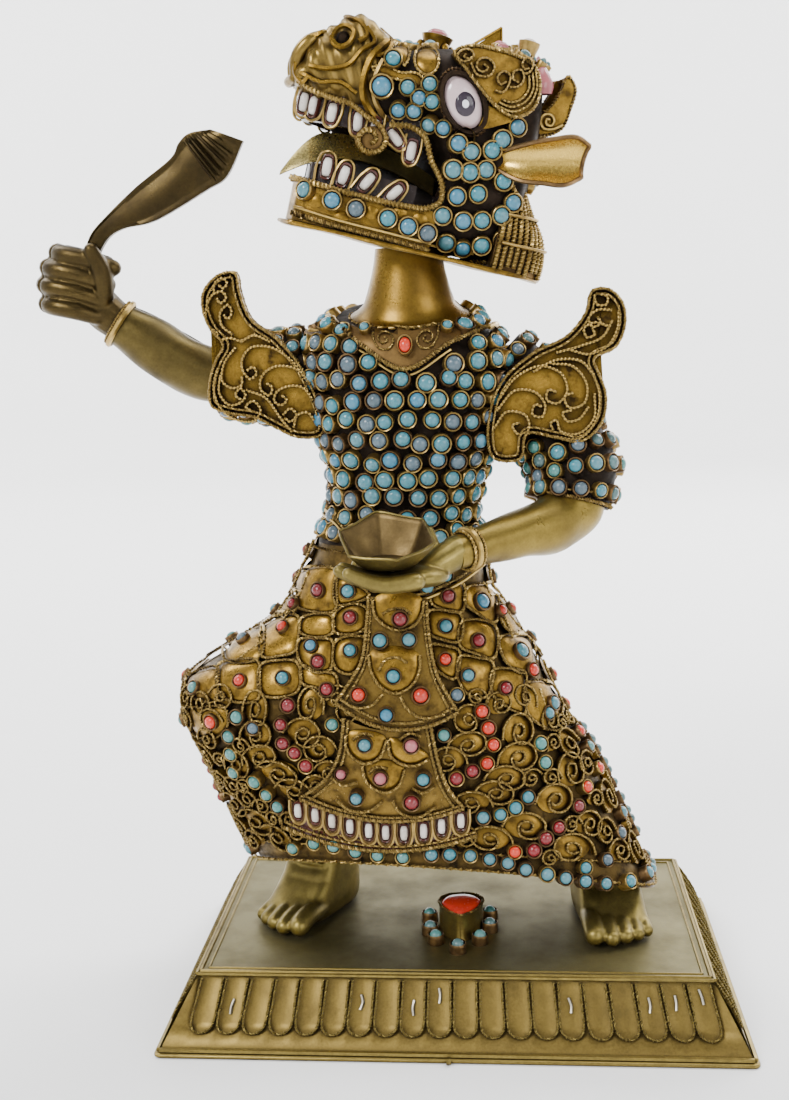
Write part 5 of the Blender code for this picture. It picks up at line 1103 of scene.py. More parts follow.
def bulge(plates, chart, outline, rise, finish="gilt_sheet"):
    """A bulged plate on an outline in a close view."""
    line = smooth_line(outline, 8, closed=True)
    centre = line.mean(0)
    ahead = np.roll(line, -1, 0)
    if (line[:, 0] * ahead[:, 1] - line[:, 1] * ahead[:, 0]).sum() > 0:
        line = line[::-1]
    rings = []
    for share, lift in ((1.0, 0.1), (0.88, 0.55), (0.62, 0.9), (0.3, 1.0), (0.03, 1.0)):
        spots = [chart(*point) for point in centre + (line - centre) * share]
        points = evened(np.array([place for place, _ in spots]))
        normals = unit(evened(np.array([normal for _, normal in spots])))
        rings.append(points + normals * (0.15 + lift * rise))
    plates.add_grid(rings, finish, closed=True, caps=(False, True))


def set_plate(chart, plates, wires, outline, rise=1.3, radius=None):
    """A bulged plate inside a twisted wire, on an outline in a close view."""
    bulge(plates, chart, outline, rise)
    lay(wires, chart, outline, radius or sizes().wire, closed=True, lift=1.9, step=7)


def set_curl(skin, plates, wires, place, normal, width, height, turn, flip):
    """An oval cell of wire whose end curls inward over a golden plate."""
    chart = pinned_chart(skin, place, normal)
    pillow(plates, chart, width * 0.96, height * 0.96, "gilt_sheet", 0.7, base=0.1)
    raise_wire(wires, chart, scaled(CURL_CELL, width, height, turn, flip), 1.7, step=0.8)


def make_skirt():
    """A bell of set plates above curls and chains of stones, with a row of stones along the hem."""
    skin = skirt_skin()
    draw = random.Random(7)
    ground, cells, stones = Shape(), Shape(), Shape()
    skin.sheet(ground, "skirt_ground", inset=0.8)
    view = close_chart(skin)
    taken = []
    for outline, gem in SKIRT_PLATES:
        set_plate(view, cells, cells, outline)
        if gem:
            a, b, finish, radius = gem
            set_stone(stones, *view(a, b), radius * 0.96, finish, rim="bezel_brown", out=1.0)
    for a, b, width, height, turn, flip in SKIRT_CURLS:
        place, normal = view(a, b)
        width, height = width * CURL_GROWTH / CLOSE_MM, height * CURL_GROWTH / CLOSE_MM
        set_curl(skin, cells, cells, place, normal, width, height, turn, flip)
        taken.append((place, 0.22 * (width + height)))
    for finish, spots in SKIRT_CHAINS.items():
        for a, b in spots:
            place, normal = view(a, b)
            rim = draw.choice(("gilt_rim", "bezel_brown"))
            set_stone(stones, place + normal * 0.4, normal, draw.uniform(2.3, 2.6), finish, 1.05, rim=rim)
            taken.append((place, 2.4))
    fill_gaps(skin, taken, draw)
    for row, (z, tall) in enumerate(SKIRT_SCALE_ROWS):
        girth = skin.girth(rise_at(skin, 0.0, z))
        count = max(8, round(girth / 12.6))
        for k in range(count):
            turn = (k + (0.5 if row % 2 else 0.0)) / count
            rise = rise_at(skin, turn, z)
            place, normal = skin.place(turn, rise)
            if in_view(place, normal):
                continue
            chart = skin.chart(turn, rise)
            width = girth / count
            lean = draw.uniform(-0.07, 0.07)
            pillow(cells, chart, width * 1.08, tall * 1.12, "gilt_sheet", 0.9, foot=1.0)
            lay(cells, chart, scaled(SCALE_LINE, width * 0.98, tall, lean), 0.66, lift=1.9)
            finish = draw.choice(("coral", "dull_turquoise", "coral", "green_turquoise", "crimson",
                "turquoise"))
            set_stone(stones, place + normal * 0.8, normal, draw.uniform(2.3, 2.6), finish, 1.0,
                rim="bezel_brown")
    for row, z in enumerate(SKIRT_CURL_ROWS):
        girth = skin.girth(rise_at(skin, 0.0, z))
        count = 3 * round(girth / 25.5)
        for k in range(count):
            turn = (k + 0.3 * row) / count
            rise = rise_at(skin, turn, z)
            place, normal = skin.place(turn, rise)
            if in_view(place, normal) or place[2] < hem_height(place[0], place[1]) + 7.5:
                continue
            chart = skin.chart(turn, rise)
            if k % 3 == 0:
                finish = CHAIN_STONES[(k // 3) % 4]
                for b in (-2.1, 2.3):
                    spot = chart(draw.uniform(-0.5, 0.5), b)
                    radius = draw.uniform(2.1, 2.4)
                    set_stone(stones, *spot, radius, finish, 1.2, rim="bezel_brown", out=0.6)
                continue
            flip, lean = (1 if k % 3 == 1 else -1), draw.uniform(-0.3, 0.3)
            set_curl(skin, cells, cells, place, normal, 8.8, 8.0, lean, flip)
    hem_stones(skin, cells, stones, draw)
    ground.build("skirt_ground", ("skirt",), slot="aged_brass")
    cells.build("skirt_filigree", slot="gilt_brass")
    stones.build("skirt_stones", slot="turquoise_work")


def inside(a, b, outline):
    """Whether a place lies inside a closed outline."""
    within = False
    for (a0, b0), (a1, b1) in zip(outline, (*outline[1:], outline[0])):
        if (b0 > b) != (b1 > b) and a < a0 + (a1 - a0) * (b - b0) / (b1 - b0):
            within = not within
    return within


def fill_gaps(skin, taken, draw):
    """Small curls, each over a golden plate, in the gaps that larger curls and stones leave on the skirt's
    front.
    """
    covers = [tuple(left) + tuple(reversed(right)) for left, right, _, _ in APRON_TIERS.values()]
    covers += [outline for outline, _ in SKIRT_PLATES]
    cells = Shape()
    for reach in FILLER_REACHES:
        for b in range(470, 1010, 20):
            for a in range(60, 1440, 20):
                if any(inside(a, b, outline) for outline in covers):
                    continue
                place, normal = skin.cast(*close_ray(a, b))
                low = place[2] < hem_height(place[0], place[1]) + 7.0
                if low or place[2] > 92 or not in_view(place, normal, 0.05):
                    continue
                if any(np.linalg.norm(place - other) < reach + room for other, room in taken):
                    continue
                taken.append((place, reach * 0.9))
                flip = draw.choice((-1, 1))
                turn = draw.uniform(-0.6, 0.6)
                set_curl(skin, cells, cells, place, normal, reach * 2.8, reach * 2.3, turn, flip)
    cells.build("skirt_fillers", slot="gilt_brass")


def hem_stones(skin, cells, stones, draw):
    """A close row of stones between two wires along the hem."""
    for rise, radius in ((0.008, 0.6), (0.075, 0.5)):
        wire_round(cells, skin, rise, radius, 200, 0.3)
    count = round(skin.girth(0.04) / 6.4)
    for k in range(count):
        place, normal = skin.place(k / count, 0.042)
        if in_view(place, normal, 0.2):
            continue
        finish = draw.choice(("green_turquoise", "turquoise", "dull_turquoise"))
        set_stone(stones, place, normal, draw.uniform(2.1, 2.5), finish, 1.1, rim="bezel_brown")


# Apron

# Each tier in the close view: its left and right edges from top to foot, the sag of its top and of its foot.
APRON_TIERS = {
    "upper": (
        ((600, 172), (594, 250), (575, 370), (500, 488)),
        ((765, 180), (772, 270), (796, 400), (858, 515)),
        0,
        61),
    "lower": (
        ((524, 530), (515, 620), (480, 700), (400, 762)),
        ((778, 545), (800, 650), (832, 735), (880, 796)),
        30,
        54),
    "fringe": (((398, 764), (380, 800), (360, 852)), ((880, 798), (892, 840), (905, 884)), 54, 54),
}
APRON_WIRES = (
    ((612, 178), (618, 225), (650, 258), (690, 270), (735, 252), (755, 215), (758, 180)),
    ((598, 345), (608, 400), (640, 445), (675, 460), (720, 440), (746, 395), (748, 345)),
    ((628, 392), (648, 360), (680, 352), (712, 368)),
    ((640, 222), (665, 208), (700, 206), (725, 222)),
    ((515, 478), (560, 502), (610, 494), (640, 462)),
    ((690, 470), (710, 505), (760, 530), (820, 520)),
    ((530, 578), (535, 620), (560, 650), (592, 662), (630, 645), (652, 592)),
    ((655, 592), (665, 640), (700, 665), (738, 668), (776, 650)),
    ((552, 592), (575, 574), (612, 578)),
    ((690, 592), (715, 574), (752, 582)),
    ((580, 668), (590, 710), (620, 738), (652, 746), (690, 725), (706, 680)),
    ((600, 690), (622, 672), (656, 676)),
    ((490, 700), (520, 724), (566, 716)),
    ((728, 735), (760, 748), (795, 728)),
    ((505, 765), (540, 795), (600, 802), (642, 772)),
    ((670, 770), (690, 805), (740, 822), (800, 790)))
APRON_STONES = (
    (692, 237, "crimson", 2.7), (633, 305, "turquoise", 2.7), (717, 300, "turquoise", 2.6),
    (671, 408, "turquoise", 2.6), (570, 464, "coral", 2.6), (750, 466, "coral", 2.9),
    (651, 522, "blue_turquoise", 2.5), (588, 604, "turquoise", 2.5), (724, 608, "pink_stone", 2.6),
    (520, 688, "pink_stone", 2.0), (635, 702, "pink_stone", 2.5), (760, 706, "turquoise", 2.5),
    (565, 759, "turquoise", 2.4), (727, 772, "crimson", 2.8))
INLAYS = (
    (393, 806), (443, 820), (492, 838), (545, 855), (600, 868), (650, 874), (704, 876), (762, 870),
    (815, 856), (872, 840))
INLAY_CELL = (5.0, 8.2)


def tier_place(tier, share, across):
    """A place of an apron tier in the close view, by shares down and across."""
    left, right, top_sag, foot_sag = APRON_TIERS[tier]
    edges = []
    for edge in (left, right):
        points = np.array(edge, float)
        edges.append(hermite(np.linspace(0, 1, len(points)), points, np.array([share]))[0])
    sag = (top_sag + (foot_sag - top_sag) * share) * 4 * across * (1 - across)
    return tuple(edges[0] + (edges[1] - edges[0]) * across + (0, sag))


def make_apron():
    """Two tiers of half-round scales and a fringe of pale inlays, laid over the skirt's front."""
    skin = skirt_skin()
    plate, wires, stones = Shape(), Shape(), Shape()
    chart = close_chart(skin, 2.0)
    shares, across = np.linspace(0, 1, 14), np.linspace(0, 1, 25)
    for tier, out in (("upper", 2.4), ("lower", 2.0), ("fringe", 1.4)):
        face = close_chart(skin, out)
        grid = [[face(*tier_place(tier, share, a))[0] for a in across] for share in shares]
        border = np.array((0, 2.2, 0))
        rows = [[point + border for point in grid[0]], *grid, [point + border for point in grid[-1]]]
        rows = [[row[0] + border, *row, row[-1] + border] for row in rows]
        plate.add_grid(rows[::-1], "red_brown" if tier == "fringe" else "apron_ground")
    for tier in ("upper", "lower"):
        for a, inner in ((0.0, 0.045), (1.0, 0.955)):
            for side, radius in ((a, 0.8), (inner, 0.6)):
                lay(wires, chart, [tier_place(tier, s, side) for s in np.linspace(0, 1, 7)], radius, lift=1.2,
                    step=7)
        for share, radius in ((1.0, 0.85), (0.955, 0.62)):
            lay(wires, chart, [tier_place(tier, share, a) for a in np.linspace(0, 1, 9)], radius, lift=1.4,
                step=7)
    lay(wires, chart, [tier_place("upper", 0, a) for a in (0, 0.5, 1)], 0.6, step=7)
    for share, radius in ((1.0, 0.9), (0.88, 0.5)):
        lay(wires, chart, [tier_place("fringe", share, a) for a in np.linspace(-0.02, 1.02, 9)], radius,
            lift=1.1, step=7)
    for line in APRON_WIRES:
        lay(wires, chart, line, 0.62, lift=2.4, step=7)
        if len(line) > 4:
            bulge(plate, close_chart(skin, 2.2), line, 1.1)
    for a, b, finish, radius in APRON_STONES:
        set_stone(stones, *chart(a, b), radius, finish, 1.2, rim="bezel_brown", out=1.1)
    for a, b in INLAYS:
        place, normal = skin.cast(*close_ray(a, b))
        cell = pinned_chart(skin, place, normal, 1.6)
        lay(wires, cell, scaled(TOOTH_CELL, *INLAY_CELL), 0.5, "gilt_rim", False, lift=1.4)
        lay(wires, cell, scaled(TOOTH_CELL, INLAY_CELL[0] * 0.74, INLAY_CELL[1] * 0.8), 0.34, "bezel_brown",
            False, lift=1.6)
        set_stone(stones, *cell(0, 0.4), 1.5, "white_inlay", 1.1, 2.0, "red_brown", square=4, out=-0.7)
    plate.build("apron_plates", ("apron_upper", "apron_lower", "apron_fringe"), slot="gilt_brass")
    wires.build("apron_wires", slot="gilt_brass")
    stones.build("apron_stones", slot="turquoise_work")


def front_chart(skin, x, z, out=0.0):
    """A chart of a skin seen from the front, about X and Z."""
    def chart(a, b):
        place, normal = skin.front(x + a, z + b)
        return place + normal * out, normal
    return chart


# Bodice, neckline and neck

# Each section: its height, left and right edges, and half depth.
BODICE_SECTIONS = (
    (127, -42.6, 8.9, 20.0), (135, -38.5, 7.5, 19.0), (141, -37.0, 8.6, 19.0), (149, -37.0, 11.0, 20.0),
    (158, -39.5, 14.0, 22.0), (168, -40.5, 15.5, 22.5), (178, -42.5, 17.5, 21.5), (186, -43.5, 18.5, 20.0),
    (191.5, -42.0, 14.5, 18.5), (197.5, -34.0, 7.5, 15.5))
BODICE_POWER = 2.3


def bodice_skin():
    rings = []
    for z, left, right, depth in BODICE_SECTIONS:
        x, y = superellipse(RING_ANGLES, (right - left) / 2, depth, BODICE_POWER)
        lean = max(0.0, (z - 178) / 19.5) ** 2
        rings.append(np.stack([x + (left + right) / 2, y, z + 4.5 * lean * y / depth], axis=1))
    return Skin([row[0] for row in BODICE_SECTIONS], rings, 140, 60)


NECKLACE = ((-35.8, 195.3), (-25.5, 188.3), (-12.1, 180.6), (1.4, 187.7), (14.0, 192.0))
NECKLINE = ((-27.8, 198.7), (-19.9, 194.9), (-10, 192.9), (-1.7, 194.5), (3.5, 197.4))
WAIST_WIRE = ((-38.5, 136.5), (-35.9, 136.1), (-26.0, 122.0), (-14.2, 112.4), (0.0, 116.0), (9.7, 121.5))


def inside_neckline(x, z):
    """Whether a place is between the necklace and the neck."""
    return -27 < x < 5 and z > np.interp(x, [p[0] for p in NECKLACE], [p[1] for p in NECKLACE]) - 2.0


def make_bodice():
    """Close-set turquoise over a dark ground."""
    skin = bodice_skin()
    draw = random.Random(5)
    shape, stones, wires = Shape(), Shape(), Shape()
    skin.sheet(shape, "bodice_ground", inset=0.6, caps=(False, True))
    rows = 12
    for row in range(rows):
        rise = (row + 0.55) / rows
        girth = skin.girth(rise)
        count = round(girth / 6.35)
        for k in range(count):
            turn = (k + 0.37 * row) / count + draw.uniform(-0.14, 0.14) / count
            place, normal = skin.place(turn, rise + draw.uniform(-0.013, 0.013))
            if place[1] < 0 and inside_neckline(place[0], place[2]):
                continue
            if place[2] > 195.5 + 0.25 * place[1] and abs(place[0] + 11.6) < 17:
                continue
            finish = draw.choice(("turquoise", "turquoise", "blue_turquoise", "dull_blue", "turquoise"))
            radius = sizes().stone * draw.uniform(0.88, 1.04)
            tilt = np.array([draw.uniform(-0.12, 0.12) for _ in range(3)])
            rim = draw.choice(("gilt_rim", "gilt_rim", "bezel_brown"))
            set_stone(stones, place - normal * draw.uniform(-0.3, 0.3), unit(normal + tilt), radius, finish,
                1.15, rim=rim)
    chart = front_chart(skin, 0, 0, 0.3)
    lay(wires, chart, NECKLACE, 1.0, lift=1.9)
    lay(wires, chart, [(x, z - 1.7) for x, z in NECKLACE[1:4]], 0.4, "gilt_wire", False, lift=1.5)
    plate = []
    for share in np.linspace(0, 1, 7):
        line = []
        for x in np.linspace(-28.5, 4.5, 24):
            top = np.interp(x, [p[0] for p in NECKLINE], [p[1] for p in NECKLINE]) - 1.0
            foot = np.interp(x, [p[0] for p in NECKLACE], [p[1] for p in NECKLACE])
            line.append(chart(x, top + (min(foot, top) - top) * share)[0] + np.array((0, -0.9, 0)))
        plate.append(line)
    wires.add_grid(plate[::-1], "brown_sheet")
    set_stone(stones, *chart(-11.9, 187.2), 2.3, "coral", tall=1.1, stretch=1.35, out=1.0)
    for flip in (-1, 1):
        spot = front_chart(skin, -11.9 + flip * 6.8, 189.2, 1.2)
        lay(wires, spot, scaled(CURL_LINE, 8.0, 7.0, 0.3 * flip, -flip), 0.42, lift=0.8)
        set_stone(stones, *chart(-11.9 + flip * 12.0, 191.8), 1.9, "turquoise", out=0.9)
    lay(wires, chart, [(x, z - 0.6) for x, z in NECKLINE], 0.6, lift=1.6)
    shape.build("bodice_ground", ("bodice", "neckline_plate"), slot="turquoise_work")
    stones.build("bodice_stones", slot="turquoise_work")
    wires.build("neckline_wires", slot="gilt_brass")


def make_waist():
    """The wire along the bodice's lower edge, with its pointed coral."""
    bodice, skirt = bodice_skin(), skirt_skin()
    wires = Shape()

    def chart(a, b):
        upper, lower = bodice.front(a, max(b, 127.5)), skirt.front(a, min(b, 126.5))
        place, normal = upper if b > 127 else lower
        return place + normal * 1.6, normal

    lay(wires, chart, WAIST_WIRE, 0.7, lift=0.8)
    lay(wires, chart, [(x, z - 1.8) for x, z in WAIST_WIRE], 0.5, "gilt_wire", False, lift=0.6)
    wire_round(wires, skirt, 0.985, 0.7, 120, 0.6)
    set_stone(wires, *chart(-14.0, 117.2), 2.6, "coral", stretch=1.2, towards=(0, 0, -1))
    wires.build("waist_wires", slot="gilt_brass")


# Each ring: its height, middle, half width, half depth, and how far it leans out.
NECK_RINGS = (
    (197.6, -11.6, 17.2, 13.8, 1.0), (199.5, -11.6, 15.0, 12.8, 0.8), (203.0, -11.6, 13.4, 12.0, 0.5),
    (207.0, -11.6, 12.2, 11.2, 0.2), (212.0, -11.6, 11.0, 10.4, 0.0), (217.0, -11.4, 10.5, 10.0, 0.0))


def make_neck():
    """The polished neck flares to a crescent lip over the bodice."""
    shape = Shape()
    angles = np.linspace(0, TAU, 64, endpoint=False)
    rings = []
    for z, x, w, d, lean in NECK_RINGS:
        ring_y = d * np.sin(angles)
        rings.append(np.stack([x + w * np.cos(angles), ring_y, z + 4.5 / 15.5 * lean * ring_y], axis=1))
    rings = np.array(rings)
    lip = rings[0] + np.stack([1.6 * np.cos(angles), 1.6 * np.sin(angles), np.full(64, -0.7)], axis=1)
    shape.add_grid(np.array([lip + (0, 0, -0.5), lip,
        *hermite([r[0] for r in NECK_RINGS], rings, np.linspace(197.6, 217.0, 20))]),
                   "neck_sheet", closed=True)
    add_wire(shape, lip, (0, 0, 1), 0.6, closed=True)
    shape.build("neck", ("neck",), slot="gilt_brass")


# Cast and beaten forms

def oval(centre, radius, across, beside, angles, flat):
    """A ring about a centre, narrowed by flat along the second of its two axes."""
    c, s = np.cos(angles)[:, None], np.sin(angles)[:, None]
    return centre + radius * (c * across + flat * s * beside)


def add_tube(shape, path, radii, finish, sides=16, step=1.0, flat=1.0):
    """A closed tube with rounded ends along a smooth path; flat narrows it in Y."""
    path, radii = np.asarray(path, float), np.asarray(radii, float)
    chords = reaches(path)
    count = max(6, int(chords[-1] / step))
    at = np.linspace(0, chords[-1], count)
    centres, widths = hermite(chords, path, at), hermite(chords, radii, at)
    along = unit(np.gradient(centres, axis=0))
    for end, sign in ((0, -1), (-1, 1)):
        tips = []
        sizes_at = []
        for angle in (0.45, 0.9, 1.3):
            tips.append(centres[end] + along[end] * sign * widths[end] * math.sin(angle))
            sizes_at.append(widths[end] * math.cos(angle))
        if sign > 0:
            centres, widths = np.vstack([centres, tips]), np.concatenate([widths, sizes_at])
            along = np.vstack([along, [along[-1]] * 3])
        else:
            centres = np.vstack([tips[::-1], centres])
            widths = np.concatenate([sizes_at[::-1], widths])
            along = np.vstack([[along[0]] * 3, along])
    rings = []
    for centre, width, way in zip(centres, widths, along):
        reference = np.array((0.0, 1.0, 0.0)) if abs(way[1]) < 0.8 else np.array((0.0, 0.0, 1.0))
        across = unit(np.cross(way, reference))
        beside = np.cross(across, way)
        angles = -TAU * np.arange(sides) / sides
        rings.append(oval(centre, width, across, beside, angles, flat))
    shape.add_grid(rings, finish, closed=True, caps=(True, True))


def add_ball(shape, centre, radii, finish, turns=10, sides=18):
    """A closed oval."""
    rings = []
    for i in range(turns + 1):
        tilt = math.pi * (0.04 + 0.92 * i / turns)
        angles = TAU * np.arange(sides) / sides
        rings.append(np.stack([
            centre[0] + radii[0] * math.sin(tilt) * np.cos(angles),
            centre[1] + radii[1] * math.sin(tilt) * np.sin(angles),
            np.full(sides, centre[2] - radii[2] * math.cos(tilt))], axis=1))
    shape.add_grid(rings, finish, closed=True, caps=(True, True))


def build_melted(shape, name, replaced, slot, voxel=0.6, smooth=4, matrix=None):
    """Join overlapping closed forms into one skin, as hammered and soldered sheet."""
    piece = shape.build(name, replaced, matrix, slot)
    melt = piece.modifiers.new("join", "REMESH")
    melt.mode = "VOXEL"
    melt.voxel_size = voxel * MM
    soften = piece.modifiers.new("soften", "SMOOTH")
    soften.iterations = smooth
    graph = bpy.context.evaluated_depsgraph_get()
    mesh = bpy.data.meshes.new_from_object(piece.evaluated_get(graph))
    material = piece.data.materials[0]
    piece.modifiers.clear()
    piece.data = mesh
    mesh.materials.clear()
    mesh.materials.append(material)
    mesh.shade_smooth()
    return piece


# Each toe: how far across it lies, how far forward it reaches, and its radius.
TOES = ((8.0, 41.0, 3.3), (2.9, 41.6, 2.6), (-1.6, 40.2, 2.5), (-5.6, 38.4, 2.3), (-9.0, 35.8, 2.2))
# Each foot: its place, its turn in degrees, its side and its ankle's height.
FEET = {"foot_near": (-40.0, 16.0, -27, 1, 34.0), "foot_far": (47.0, 13.0, 8, -1, 27.0)}
# Each ring: its height, its back and front, and its half width.
FOOT_RINGS = (
    (0.5, 0, -32.0, 9.8), (2.5, 1, -34.0, 10.6), (5.5, 1, -33.0, 10.9), (8.5, 1, -28.5, 10.7),
    (12.5, 1, -23.8, 10.4), (17.0, 0, -21.0, 10.1), (24.0, 0, -19.8, 9.8))
INSTEP_FOLDS = ((17.6, -21.2), (20.6, -20.6))


def make_feet():
    """Feet of boxed sheet, with five toes along the front edge and folds at the instep."""
    angles = np.linspace(0, TAU, 48, endpoint=False)
    for name, (x, y, turn, side, ankle) in FEET.items():
        shape = Shape()
        rings = []
        for z, back, front, half in (*FOOT_RINGS, (ankle, 0, -19.8, 9.6)):
            a, b = superellipse(angles, half, (back - front) / 2, 3.6)
            rings.append(np.stack([a - 0.6, b + (back + front) / 2, np.full(48, z)], axis=1))
        shape.add_grid(rings, "foot_sheet", closed=True, caps=(True, True))
        for across, tip, radius in TOES:
            knuckle = (across, -tip + 7.5, radius + 1.6)
            path = ((across * 0.96, -24, 4.6), knuckle, (across * 1.03, -tip + radius, radius + 0.3))
            add_tube(shape, path, (2.6, radius * 1.02, radius), "foot_sheet")
        for z, front in INSTEP_FOLDS if name == "foot_near" else ():
            add_tube(shape, ((-5.6, front + 0.7, z - 0.5), (0, front, z + 0.3), (6.0, front + 0.8, z)),
                (0.7, 0.9, 0.7), "foot_sheet")
        place = (
            Matrix.Translation((x, y, 0.4)) @ Matrix.Rotation(math.radians(turn), 4, "Z")
            @ Matrix.Scale(side, 4, (1, 0, 0)))
        build_melted(shape, name, (name,), "aged_brass", 0.54, 3, place)


def tube_skin(path, radii, around=72, up=48, flat=1.0):
    path = np.asarray(path, float)
    chords = reaches(path)
    along = unit(np.gradient(hermite(chords, path, chords), axis=0))
    rings = []
    for centre, radius, way in zip(path, radii, along):
        across = unit(np.cross(way, (0.0, 1.0, 0.0)))
        beside = np.cross(across, way)
        angles = -np.linspace(0, TAU, 96, endpoint=False)
        rings.append(oval(centre, radius, across, beside, angles, flat))
    return Skin(chords, rings, around, up)


# Each tube: its path, and its radii along that.
SLEEVES = {
    "sleeve_near": (
        ((-33, 4, 179), (-52, 4.5, 178.5), (-66, 4, 178.3), (-73, 3.5, 178.5)),
        (14.5, 13.6, 12.4, 10.4)),
    "sleeve_far": (
        ((15, 4, 181), (26, 3, 172), (34.5, 0, 158), (39.3, -4.4, 146), (37.5, -6, 138.5)),
        (12.5, 13.0, 13.2, 13.4, 12.4)),
}
FOREARMS = {
    "forearm_near": (
        ((-70, 3.6, 178.4), (-75, 3.4, 179.2), (-82, 3, 181.8), (-94, 1.5, 189.8), (-104.5, 0, 197.0)),
        (8.0, 8.3, 8.6, 8.2, 6.6)),
    "forearm_far": (
        (
            (38.2, -5, 142), (37.0, -8.5, 137.5), (33.0, -14.5, 133.8), (20.0, -27.0, 131.4),
            (2.2, -41.5, 128.6)),
        (11.0, 10.6, 8.8, 6.8, 4.8)),
}


# Each bracelet's wires: how far along the arm they lie, and their radius.
BRACELETS = {
    "forearm_near": ((0.955, 1.0), (0.985, 0.6)),
    "forearm_far": ((0.9, 1.0), (0.93, 0.6), (0.87, 0.55)),
}


def behind_flame(sleeve, place):
    """Whether a flame covers a place on the front of a sleeve."""
    flame = FLAMES[sleeve.replace("sleeve", "flame")]
    return inside(place[0], place[2], flame["outline"]) and place[1] < flame["front"][0] + 7.0


def make_sleeves():
    """Short sleeves of set turquoise with a wire rim at the arm."""
    bodice = bodice_skin()
    draw = random.Random(21)
    for name, (path, radii) in SLEEVES.items():
        skin = tube_skin(path, radii)
        shape, stones = Shape(), Shape()
        skin.sheet(shape, "bodice_ground", inset=0.5, caps=(True, True))
        rows = max(4, round(skin.length / 5.8))
        for row in range(rows):
            rise = (row + 0.5) / rows
            count = round(skin.girth(rise) / 6.2)
            for k in range(count):
                turn = (k + (0.5 if row % 2 else 0.0)) / count
                place, normal = skin.place(turn, rise)
                nearest = bodice.tree.find_nearest(Vector(place))
                if (Vector(place) - nearest[0]).dot(nearest[1]) < 1.0 or behind_flame(name, place):
                    continue
                finish = draw.choice(("turquoise", "dull_turquoise", "green_turquoise", "dull_blue"))
                set_stone(stones, place, normal, 2.75 * draw.uniform(0.9, 1.05), finish,
                    rim=draw.choice(("gilt_rim", "bezel_brown")))
        for rise, radius in ((0.99, 0.8), (0.955, 0.5)):
            wire_round(stones, skin, rise, radius, 90, 0.4)
        shape.build(name, (name,), slot="turquoise_work")
        stones.build(name + "_stones", slot="turquoise_work")


def make_forearms():
    """Plain tubes of sheet with a soldered seam, each with a twisted bracelet."""
    for name, (path, radii) in FOREARMS.items():
        skin = tube_skin(path, radii, 64, 60)
        shape = Shape()
        grid = skin.grid
        turns = np.arange(64)[None, :] / 64 * TAU
        rises = np.linspace(0, 1, 60)[:, None]
        dents = 0.18 * np.sin(3 * turns + 6 * rises) * np.sin(7 * rises + turns)
        dents = dents - 0.12 * np.cos(2 * turns + 14 * rises)
        finish = "raised_arm_sheet" if name == "forearm_near" else "arm_sheet"
        shape.add_grid(grid + grid_normals(grid) * dents[..., None], finish, closed=True, caps=(True, True))
        if name == "forearm_near":
            line = [skin.place(0.55 + 0.02 * math.sin(k), 0.12 + 0.85 * k / 14) for k in range(15)]
            add_wire(shape, [p for p, _ in line], [n for _, n in line], 0.32, "dark_gap", False)
        for rise, radius in BRACELETS[name]:
            wire_round(shape, skin, rise, radius, 60, 0.6, twisted=radius < 1)
        shape.build(name, (name, name.replace("forearm", "bracelet")), slot="aged_brass")


FIST_TURN = math.radians(22)


def make_raised_hand():
    """A fist of four curled fingers with the thumb laid over the grip."""
    shape = Shape()
    add_ball(shape, (-113.8, -0.5, 207.5), (8.6, 6.0, 9.6), "fist_sheet")
    add_tube(shape, ((-103.6, 0.1, 196.6), (-107.5, -0.4, 199.8), (-111, -0.6, 204)), (6.0, 6.4, 6.2),
        "fist_sheet")
    centre = np.array((-113.8, -0.5, 207.5))
    turn = np.array(Matrix.Rotation(FIST_TURN, 3, "Y"))
    for i in range(4):
        z = 200.2 + 5.35 * i
        shift = -1.1 * i + (0, -1.4, -1.0, 1.4)[i]
        path = (
            (-107.5, -5.2, z + 1.6), (-113 + shift, -7.6, z + 1.4), (-121.5 + shift, -6.2, z),
            (-124.8 + shift, -0.5, z - 0.4), (-120 + shift, 5.2, z + 0.4), (-111 + shift, 6.2, z + 1.4))
        path = (np.array(path) - centre) @ turn.T + centre + (1.0, 0, -1.5)
        add_tube(shape, path, (2.6, 2.9, 3.0, 3.0, 2.9, 2.6), "fist_sheet", 12)
    add_tube(shape, ((-106.2, -5.4, 205.5), (-106.0, -8.0, 212.0), (-108.6, -9.2, 218.6)), (3.1, 3.1, 2.3),
        "fist_sheet", 12)
    build_melted(shape, "hand_near", ("hand_near",), "aged_brass", 0.5, 3)


def make_open_hand():
    """The lowered hand lies under the cup, its fingers side by side."""
    shape = Shape()
    add_ball(shape, (-7.5, -48.0, 123.4), (8.8, 7.8, 3.4), "foot_sheet")
    add_tube(shape, ((3.0, -40.8, 128.9), (-1.2, -44.0, 126.6), (-5.0, -46.5, 124.6)), (4.9, 4.5, 3.8),
        "foot_sheet")
    for y, tip in ((-43.8, -25.5), (-48.4, -29.0), (-52.9, -29.6), (-57.2, -26.6)):
        path = ((-8, y * 0.98, 123.2), (-17, y, 122.6), (tip + 3, y - 0.6, 124.6), (tip, y - 0.8, 126.0))
        add_tube(shape, path, (2.7, 2.5, 2.2, 1.8), "foot_sheet", 12)
    add_tube(shape, ((-4.0, -42.4, 125.6), (-3.9, -39.8, 130.0), (-4.8, -38.6, 134.6)), (2.8, 2.4, 1.6),
        "foot_sheet", 12)
    build_melted(shape, "hand_far", ("hand_far",), "aged_brass", 0.42, 3)


CUP_CENTRE = (-16.4, -50.0)
CUP_LEAN = 0.45
CUP_TURN = 0.25


